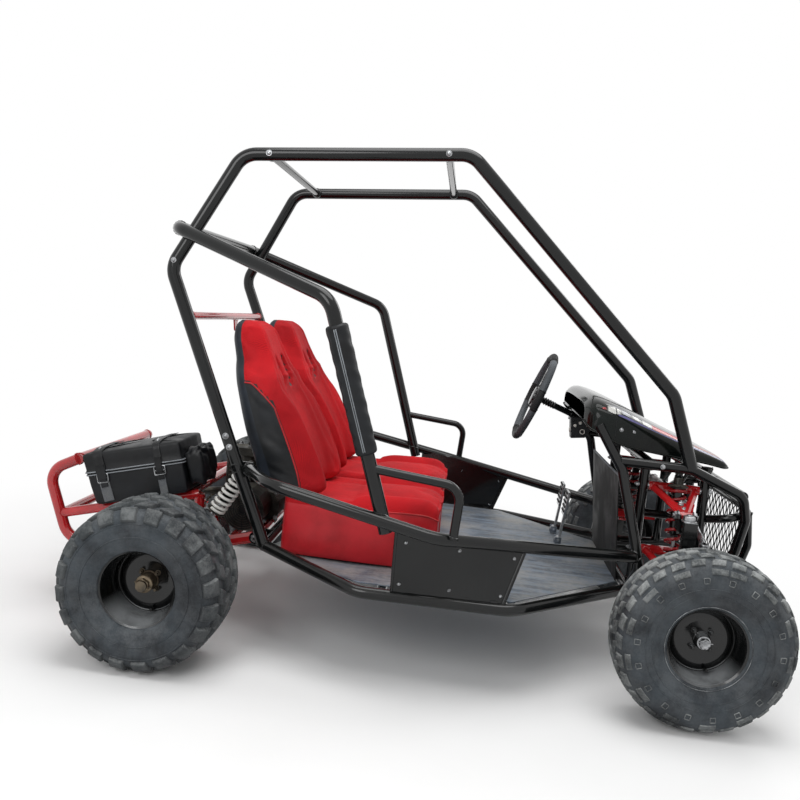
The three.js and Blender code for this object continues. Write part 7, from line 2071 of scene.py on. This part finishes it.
def build_rack():
    """Two bent loops with their rails, the bar across their tops and the struts down to the swing arm."""
    form = Form()
    start, stop = (Vector((x, 0, BOX_CORNER.z + (x - BOX_CORNER.x) * math.tan(TILT) - RACK_RAIL_DROP))
                   for x in (REAR_AXLE_X - 424.65, REAR_AXLE_X + 17.9))
    for _, sign in SIDES:
        aside = Y * (sign * RACK_RAIL_Y)
        loop = [Vector((REAR_AXLE_X + x * WHEELBASE, sign * RACK_RAIL_Y, z * CAGE_HEIGHT))
                for x, z in REAR_LOOP]
        tube(form, loop, RAIL_TUBE, CAGE_BEND, 28)
        rod(form, start + aside, stop + aside, BAR_TUBE, 24)
        rod(form, stop + aside, Vector((stop.x, sign * RACK_RAIL_Y, STRUT_FOOT_Z)), BAR_TUBE, 24)
        weld(form, start + aside, along_of(start, stop), BAR_TUBE / 2, start + aside,
             along_of(loop[1], loop[2]), RAIL_TUBE / 2, 2.6)
        weld(form, stop + aside, -Z, BAR_TUBE / 2, stop + aside, along_of(start, stop), BAR_TUBE / 2, 2.4)
        weld(form, loop[3], -Y * sign, RAIL_TUBE / 2, loop[3], along_of(loop[2], loop[3]), RAIL_TUBE / 2, 2.6)
    rod(form, loop[3] - Y * (2 * RACK_RAIL_Y), loop[3], RAIL_TUBE, 28)
    for share in (0.02, 0.48, 0.9):
        at = start.lerp(stop, share)
        rod(form, at - Y * RACK_RAIL_Y, at + Y * RACK_RAIL_Y, BAR_TUBE, 24)
        for sign in (-1, 1):
            weld(form, at + Y * (sign * RACK_RAIL_Y), -Y * sign, BAR_TUBE / 2, at + Y * (sign * RACK_RAIL_Y),
                 along_of(start, stop), BAR_TUBE / 2, 2.4)
    piece("rear_rack", form, "red_paint", "swing_arm")


def build_engine():
    dress("cast_alloy", "engine")
    form = Form()
    for dx in (-42, 42):
        for dy in (-42, 42):
            hex_bolt(form, ENGINE_PLUG + Vector((dx, dy, 1)), Z, 12, 7, 0)
    plug = ENGINE_PLUG
    turned(form, [(0, -3), (10, -3), (10, 4), (7, 6), (6, 12), (0, 12)], plug, Z, 6, 0)
    lead = [plug + Z * 10, plug + Z * 34, plug + Vector((70, -30, 34)), Vector((-470, -60, 430))]
    tube(form, lead, 9, 18, 12, 1)
    turned(form, [(0, 8), (9, 8), (9.5, 12), (8.5, 30), (5, 34), (0, 34)], plug, Z, 20, 1)
    fan = FAN_CENTRE
    for k in range(7):
        r = 14 + k * 7.5
        ring_of(form, [(r, -0.5), (r + 2.6, -0.5), (r + 2.6, 2.6), (r, 2.6)], fan, -Y, 48, 2)
    for k in range(8):
        u = math.pi * k / 4
        rod(form, fan + spoke(12, u, 0.5), fan + spoke(60, u, 0.5), 3.4, 8, 2)
    turned(form, [(0, -1), (12, -1), (13, 1), (12, 4), (0, 5)], fan, -Y, 32, 2)
    for x in (-575, -540, -415):
        for z in (305, 385):
            hex_bolt(form, Vector((x, -107, z)), -Y, 10, 5, 0)
    piece("engine_fittings", form, ["zinc", "black_rubber", "box_plastic"], "swing_arm", bevel=0.3)


def box_at(u, v, w):
    """A place of the box; its rear side leans in towards the rack as it goes down."""
    lean = BOX_TAPER * (1 - w / (BOX_LOWER + BOX_LID)) - BOX_TAPER
    return BOX_CORNER + ALONG * (u + max(0.0, 1 - u / BOX_LENGTH) * lean) + Y * v + RISE * w


def box_ring(w, inset, corner=9, steps=5):
    outline = rounded_outline(BOX_LENGTH - 2 * inset, BOX_WIDTH - 2 * inset, corner - inset * 0.5, steps,
                              (BOX_LENGTH / 2, BOX_WIDTH / 2))
    return [box_at(u, v, w) for u, v in outline]


def box_cord(form, w, inset, radius, finish):
    sweep(form, looped(box_ring(w, inset)), radius, 8, finish, closed=True)


def strap(form, line, wide, thick, finish):
    """A flat strap laid along points given with their outward directions."""
    rings = []
    for i, (p, out) in enumerate(line):
        a, b = line[max(i - 1, 0)][0], line[min(i + 1, len(line) - 1)][0]
        side = along_of(a, b).cross(out).normalized()
        rings.append([p + side * (wide / 2 * s) + out * (thick * t) for s, t in
                      ((-1, 0), (1, 0), (1, 0.7), (0.9, 1), (0.5, 0.82), (-0.5, 0.82), (-0.9, 1), (-1, 0.7))])
    skin(form, rings, finish)


def hinge_leaf(form, low, high, foot, head):
    """A stretch of the hinge's knuckle with its leaf below or above it."""
    rod(form, box_at(low, HINGE_V, BOX_LOWER), box_at(high, HINGE_V, BOX_LOWER), 12, 20, 3)
    leaf = [(low, foot), (high, foot), (high, head), (low, head)]
    prism(form, leaf, box_at(0, LEAF_V, BOX_LOWER), ALONG, RISE, 2, 3)


def build_box():
    form = Form()
    rings = [(0, 26), (0, 10), (1.5, 5), (5, 1.6), (10, 0.4), (30, 0), (60, -0.6), (86, 0), (90, 0.4), (92, -2),
             (96, -2.4), (BOX_LOWER - 0.6, -1.6), (BOX_LOWER - 0.6, 4), (10, 6), (5, 9), (5, 26)]
    skin(form, [box_ring(w, inset) for w, inset in rings], 0, closed=True)
    outline = rounded_outline(BOX_LENGTH - 50, BOX_WIDTH - 50, 14, 7, (BOX_LENGTH / 2, BOX_WIDTH / 2))
    skin(form, [[box_at(u, v, 1) for u, v in outline], [box_at(u, v, 4) for u, v in outline]], 0)
    box_cord(form, BOX_LOWER - 4.4, -2.2, 2.1, 1)
    for share, wide in BOX_STRAPS:
        u = BOX_LENGTH * share
        line = [(box_at(u, -0.4, w), -Y) for w in (8, 30, 55, 80, 90)]
        line = [(p - Y * (2.5 if 85 < k * 20 else 0), out) for k, (p, out) in enumerate(line)]
        strap(form, line, wide, 2.6, 4)
        frame_mid = box_at(u, -4.5, 80)
        loop = [frame_mid + ALONG * a + RISE * b for a, b in rounded_outline(34, 26, 4, 3)]
        sweep(form, looped(loop), 2.0, 8, 3, closed=True)
        rod(form, frame_mid - ALONG * 16, frame_mid + ALONG * 16, 3.4, 10, 3)
        line = [(box_at(u, -3.6, w), -Y) for w in (52, 60, 70, 78)]
        strap(form, line, 22, 2.2, 2)
    for low, high in ((14, 100), (192, 278)):
        hinge_leaf(form, low, high, -14, 0)
    piece("cargo_box_shell", form, ["box_plastic", "piping", "black_vinyl", "zinc", "grey_webbing"],
          "swing_arm", bevel=0.5, nodes=("cargo_box",))


def build_pocket():
    """Slack black pocket of coated cloth strapped to the box's front."""
    form = Form()
    rings = []
    for i in range(25):
        share = i / 24
        v = 18 + 150 * share
        ring = []
        for k in range(40):
            a = TURN * k / 40
            fold = 2.6 * math.sin(5 * a + 9 * share) + 2.2 * math.sin(3 * a - 14 * share)
            fold += 1.6 * math.sin(9 * a + 23 * share)
            full = min(1.0, 0.8 + 2.4 * min(share, 1 - share)) * (1 + 0.03 * fold)
            bulge = math.copysign(abs(math.cos(a)) ** 0.6, math.cos(a))
            rise = math.copysign(abs(math.sin(a)) ** 0.45, math.sin(a))
            ring.append(box_at(BOX_LENGTH + 29 + 27 * full * bulge, v, 72 + 56 * full * rise))
        rings.append(ring)
    skin(form, rings)
    pocket = piece("box_pocket", form, "black_vinyl", "swing_arm", rounds=1)


def build_lid():
    form = Form()
    top = BOX_LOWER + BOX_LID
    rings = [(BOX_LOWER + 0.6, 4), (BOX_LOWER + 0.6, -2.4), (BOX_LOWER + 5, -3), (BOX_LOWER + 9, -1.6),
             (BOX_LOWER + 12, 0), (BOX_LOWER + 30, 0.2), (top - 10, 0.6), (top - 4, 2), (top - 1, 5),
             (top + 1.5, 14), (top + 4.5, 34), (top + 7, 58), (top + 8.8, 82), (top + 9.4, 100)]
    inner = [(w - 5, inset + 4) for w, inset in rings[:2:-1]]
    outer = [box_ring(w, min(inset, 104)) for w, inset in rings]
    skin(form, outer, 0, caps=False)
    form.cover(len(form.points) - len(outer[-1]), len(outer[-1]))
    lining = [box_ring(w, min(inset, 104)) for w, inset in inner] + [box_ring(BOX_LOWER + 0.6, 4)]
    skin(form, lining, 0, caps=False)
    form.cover(len(form.points) - len(lining) * len(lining[0]), len(lining[0]))
    box_cord(form, BOX_LOWER + 4.4, -3.4, 2.1, 1)
    for share, wide in BOX_STRAPS:
        u = BOX_LENGTH * share
        line = [(box_at(u, -4.2, BOX_LOWER + 2), -Y), (box_at(u, -4, BOX_LOWER + 8), -Y),
                (box_at(u, -1, BOX_LOWER + 16), -Y), (box_at(u, -0.6, top - 18), -Y),
                (box_at(u, 1.5, top - 6), (RISE * 0.35 - Y).normalized()),
                (box_at(u, 9, top + 1.5), (RISE - Y).normalized()),
                (box_at(u, 24, top + 5), (RISE * 2.5 - Y * 0.6).normalized())]
        line += [(box_at(u, v, top + 9.9 - 5 * abs(v / 111 - 1) ** 3.2), RISE) for v in range(44, 190, 12)]
        strap(form, line, wide, 2.4, 2)
        line = [(box_at(u, -6, BOX_LOWER + 24), -Y), (box_at(u, -5, BOX_LOWER + 10), -Y),
                (box_at(u, -7.5, BOX_LOWER - 6), -Y), (box_at(u, -7.5, BOX_LOWER - 22), -Y)]
        strap(form, line, wide - 4, 2.2, 2)
        for v in (30, 40):
            dome_bolt(form, box_at(u, v, top + 8), RISE, 6, 3)
    hinge_leaf(form, 102, 190, 0, 14)
    piece("cargo_lid_shell", form, ["box_plastic", "piping", "black_vinyl", "zinc"],
          "cargo_lid", bevel=0.5, nodes=("cargo_lid",))


# Stage: floor, lamps and the camera at the photograph's view

FLOOR_HALF = 9000
CAMERA_AT = Vector((0.1483, -2.9059, 1.0161))
CAMERA_AXES = ((0.991409, 0.078087, 0.104934), (-0.111871, 0.090517, 0.989592), (0.067776, -0.992829, 0.098476))


def background_rays(tree):
    """1 for rays of the camera, of gloss and of glass, which see the surround at full strength."""
    path = tree.nodes.new("ShaderNodeLightPath")
    seen = maths(tree, "MAXIMUM", path.outputs["Is Camera Ray"], path.outputs["Is Glossy Ray"])
    return maths(tree, "MAXIMUM", seen, path.outputs["Is Transmission Ray"])


def floor_finish():
    """Pale floor that fades to the background by distance and keeps the shadow under the kart."""
    material = bpy.data.materials.new("pale_floor")
    material.use_nodes = True
    tree = material.node_tree
    shader = next(n for n in tree.nodes if n.type == "BSDF_PRINCIPLED")
    out = next(n for n in tree.nodes if n.type == "OUTPUT_MATERIAL")
    shader.inputs["Roughness"].default_value = 0.9
    place = tree.nodes.new("ShaderNodeTexCoord").outputs["Object"]
    mottle = noise(tree, place, 3.0, 5.0)
    mix = tree.nodes.new("ShaderNodeMix")
    mix.data_type = "RGBA"
    mix.inputs[6].default_value = (0.86, 0.86, 0.855, 1)
    mix.inputs[7].default_value = (0.9, 0.9, 0.9, 1)
    tree.links.new(mottle, mix.inputs["Factor"])
    tree.links.new(mix.outputs[2], shader.inputs["Base Color"])
    distance = tree.nodes.new("ShaderNodeVectorMath")
    distance.operation = "LENGTH"
    tree.links.new(place, distance.inputs[0])
    far = band(tree, distance.outputs["Value"], 0.9, 2.3)
    glow = tree.nodes.new("ShaderNodeEmission")
    glow.inputs["Strength"].default_value = 1.0
    seen = background_rays(tree)
    fade = maths(tree, "MULTIPLY", far, seen)
    blend = tree.nodes.new("ShaderNodeMixShader")
    tree.links.new(fade, blend.inputs[0])
    tree.links.new(shader.outputs[0], blend.inputs[1])
    tree.links.new(glow.outputs[0], blend.inputs[2])
    tree.links.new(blend.outputs[0], out.inputs["Surface"])
    return material


def build_stage():
    scene = bpy.context.scene
    looks = scene.kart_looks
    form = Form()
    corners = [(x * FLOOR_HALF, y * FLOOR_HALF, 0) for x, y in ((-1, -1), (1, -1), (1, 1), (-1, 1))]
    form.put(corners, [(0, 1, 2, 3)])
    floor = link_new("floor", make_mesh("floor", form, [floor_finish()]))
    floor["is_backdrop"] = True
    world = bpy.data.worlds.new("pale_surround")
    scene.world = world
    world.use_nodes = True
    tree = world.node_tree
    back = next(n for n in tree.nodes if n.type == "BACKGROUND")
    back.inputs["Color"].default_value = (1, 1, 1, 1)
    seen = background_rays(tree)
    tree.links.new(band(tree, seen, 0.0, 1.0, looks.surround_light, 1.0), back.inputs["Strength"])
    for name, at, size, power in (("sky_panel", (0.2, -0.6, 3.9), 3.2, looks.lamp_power),
                                  ("near_panel", (-1.6, -3.8, 2.6), 2.2, looks.lamp_power * 0.55),
                                  ("far_panel", (2.6, 2.4, 2.9), 2.0, looks.lamp_power * 0.35)):
        data = bpy.data.lights.new(name, "AREA")
        data.shape = "DISK"
        data.size = size
        data.energy = power
        lamp = link_new(name, data)
        lamp.location = at
        lamp.rotation_euler = (Vector((0, 0, 0.5)) - Vector(at)).to_track_quat("-Z", "Y").to_euler()
    data = bpy.data.cameras.new("photo_view")
    data.lens = 39.27
    data.sensor_width = 36
    data.dof.use_dof = False
    camera = link_new("photo_view", data)
    right, up, back_way = (Vector(a) for a in CAMERA_AXES)
    camera.matrix_world = Matrix((right, up, back_way)).transposed().to_4x4()
    camera.location = CAMERA_AT
    scene.camera = camera
    scene.view_settings.view_transform = "Standard"


# The add-on: sizes and colours, one operator for each piece or group of like pieces, and a panel

class KartSizes(bpy.types.PropertyGroup):
    """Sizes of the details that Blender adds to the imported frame."""
    rear_tread: bpy.props.FloatProperty(
        name="Rear tread", description="Height of the rear tyres' blocks in millimetres",
        default=10.5, min=2, max=11, unit="NONE")
    front_tread: bpy.props.FloatProperty(
        name="Front tread", description="Height of the front tyres' worn blocks in millimetres",
        default=5.2, min=1, max=6, unit="NONE")
    coil_wire: bpy.props.FloatProperty(
        name="Coil wire", description="Thickness of the shocks' coils in millimetres",
        default=9.6, min=5, max=11, unit="NONE")
    cushion_puff: bpy.props.FloatProperty(
        name="Cushion puff", description="Pressure inside the seat covers",
        default=3.5, min=0, max=8, unit="NONE")


class KartLooks(bpy.types.PropertyGroup):
    """Colours of the kart and the light on it."""
    frame_colour: bpy.props.FloatVectorProperty(
        name="Frame", description="Paint of the cage and the frame",
        default=linear("#050607")[:3], subtype="COLOR", min=0, max=1)
    suspension_colour: bpy.props.FloatVectorProperty(
        name="Suspension", description="Paint of the arms and the rear rack",
        default=linear("#c01a20")[:3], subtype="COLOR", min=0, max=1)
    seat_colour: bpy.props.FloatVectorProperty(
        name="Seats", description="Cloth of the seats' faces",
        default=linear("#c81a22")[:3], subtype="COLOR", min=0, max=1)
    tyre_colour: bpy.props.FloatVectorProperty(
        name="Tyres", description="Rubber of the tyres' tread",
        default=linear("#26282b")[:3], subtype="COLOR", min=0, max=1)
    lamp_power: bpy.props.FloatProperty(
        name="Lamp", description="Power of the main panel lamp in watts", default=95, min=0, unit="NONE")
    surround_light: bpy.props.FloatProperty(
        name="Surround", description="Light of the surroundings on the kart", default=0.5, min=0, max=2)


class Builder:
    """Runs the build functions of one operator in order; a failure in one stops the script."""
    steps = ()

    def execute(self, context):
        for step in self.steps:
            step()
        return {"FINISHED"}


class KART_OT_finishes(Builder, bpy.types.Operator):
    """Makes the node groups and the materials"""
    bl_idname, bl_label, steps = "kart.finishes", "Finishes", (make_finishes,)


class KART_OT_cage(Builder, bpy.types.Operator):
    """Builds the two side loops of the cage and the bars of its roof"""
    bl_idname, bl_label, steps = "kart.cage", "Cage", (build_cage_sides, build_roof_bars)


class KART_OT_hoop(Builder, bpy.types.Operator):
    """Builds the hoop behind the seats and the padded sleeve on its near leg"""
    bl_idname, bl_label, steps = "kart.hoop", "Shoulder hoop", (build_shoulder_hoop, build_shoulder_pad)


class KART_OT_rails(Builder, bpy.types.Operator):
    """Builds the side rails with their grab loops and skirts"""
    bl_idname, bl_label, steps = "kart.rails", "Side rails", (build_side_rails,)


class KART_OT_lower(Builder, bpy.types.Operator):
    """Builds the lower frame, the bar behind the seats and the floor pan"""
    bl_idname, bl_label = "kart.lower", "Lower frame"
    steps = (build_lower_frame, build_seat_bar, build_floor_pan)


class KART_OT_nose(Builder, bpy.types.Operator):
    """Builds the front frame and its mesh guard"""
    bl_idname, bl_label, steps = "kart.nose", "Front frame", (build_front_frame, build_mesh_guard)


class KART_OT_cowl(Builder, bpy.types.Operator):
    """Builds the painted cowl over the front frame"""
    bl_idname, bl_label, steps = "kart.cowl", "Cowl", (build_cowl,)


class KART_OT_switches(Builder, bpy.types.Operator):
    """Builds the switch box and its button"""
    bl_idname, bl_label, steps = "kart.switches", "Switch box", (build_switch_box, build_start_button)


class KART_OT_steering(Builder, bpy.types.Operator):
    """Builds the steering wheel, the column, the rack and the tie rods"""
    bl_idname, bl_label = "kart.steering", "Steering"
    steps = (build_steering_wheel, build_column, build_rack_and_tie_rods)


class KART_OT_pedals(Builder, bpy.types.Operator):
    """Builds the two pedals"""
    bl_idname, bl_label, steps = "kart.pedals", "Pedals", (build_pedals,)


class KART_OT_seats(Builder, bpy.types.Operator):
    """Builds the two bucket seats, puffing their covers with cloth"""
    bl_idname, bl_label, steps = "kart.seats", "Seats", (build_seat_backs, build_seat_bases)


class KART_OT_tyres(Builder, bpy.types.Operator):
    """Builds the four tyres"""
    bl_idname, bl_label, steps = "kart.tyres", "Tyres", (build_tyres,)


class KART_OT_rims(Builder, bpy.types.Operator):
    """Builds the four dished rims"""
    bl_idname, bl_label, steps = "kart.rims", "Rims", (build_rims,)


class KART_OT_arms(Builder, bpy.types.Operator):
    """Finishes the wishbones, the kingpin carriers and the steering knuckles"""
    bl_idname, bl_label, steps = "kart.arms", "Front arms", (build_wishbones, build_carriers)


class KART_OT_shocks(Builder, bpy.types.Operator):
    """Builds the four shocks with their coils"""
    bl_idname, bl_label, steps = "kart.shocks", "Shocks", (build_shocks,)


class KART_OT_rear(Builder, bpy.types.Operator):
    """Builds the rear axle and the chain, and finishes the swing arm and the engine"""
    bl_idname, bl_label = "kart.rear", "Rear drive"
    steps = (build_rear_axle, build_chain, build_swing_arm, build_rack, build_engine)


class KART_OT_box(Builder, bpy.types.Operator):
    """Builds the box on the rear rack and its lid"""
    bl_idname, bl_label, steps = "kart.box", "Box", (build_box, build_pocket, build_lid)


class KART_OT_stage(Builder, bpy.types.Operator):
    """Builds the floor, the lamps, the surroundings and the camera"""
    bl_idname, bl_label, steps = "kart.stage", "Stage", (build_stage,)


OPERATORS = (KART_OT_finishes, KART_OT_cage, KART_OT_hoop, KART_OT_rails, KART_OT_lower, KART_OT_nose,
             KART_OT_cowl, KART_OT_switches, KART_OT_steering, KART_OT_pedals, KART_OT_seats, KART_OT_tyres,
             KART_OT_rims, KART_OT_arms, KART_OT_shocks, KART_OT_rear, KART_OT_box, KART_OT_stage)


class KART_PT_sidebar(bpy.types.Panel):
    """Lists the kart's sizes, colours and pieces"""
    bl_idname, bl_label, bl_category = "KART_PT_sidebar", "Off road go kart", "Kart"
    bl_space_type, bl_region_type = "VIEW_3D", "UI"

    def draw(self, context):
        for group in (context.scene.kart_sizes, context.scene.kart_looks):
            column = self.layout.column(align=True)
            for name in group.__annotations__:
                column.prop(group, name)
        for operator in OPERATORS:
            self.layout.operator(operator.bl_idname)


CLASSES = (KartSizes, KartLooks) + OPERATORS + (KART_PT_sidebar,)


def register():
    for made in CLASSES:
        bpy.utils.register_class(made)
    bpy.types.Scene.kart_sizes = bpy.props.PointerProperty(type=KartSizes)
    bpy.types.Scene.kart_looks = bpy.props.PointerProperty(type=KartLooks)


def unregister():
    del bpy.types.Scene.kart_looks
    del bpy.types.Scene.kart_sizes
    for made in reversed(CLASSES):
        bpy.utils.unregister_class(made)


def main():
    register()
    for operator in OPERATORS:
        group, name = operator.bl_idname.split(".")
        getattr(getattr(bpy.ops, group), name)()
    {"packed": plain(PACKED_BOUNDS), "shown": plain(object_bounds())}


def plain(value):
    """Vectors and tuples as plain lists."""
    if isinstance(value, dict):
        return {key: plain(item) for key, item in value.items()}
    if isinstance(value, (int, float, str)) or value is None:
        return value
    return [plain(item) for item in value]


if __name__ == "__main__":
    main()
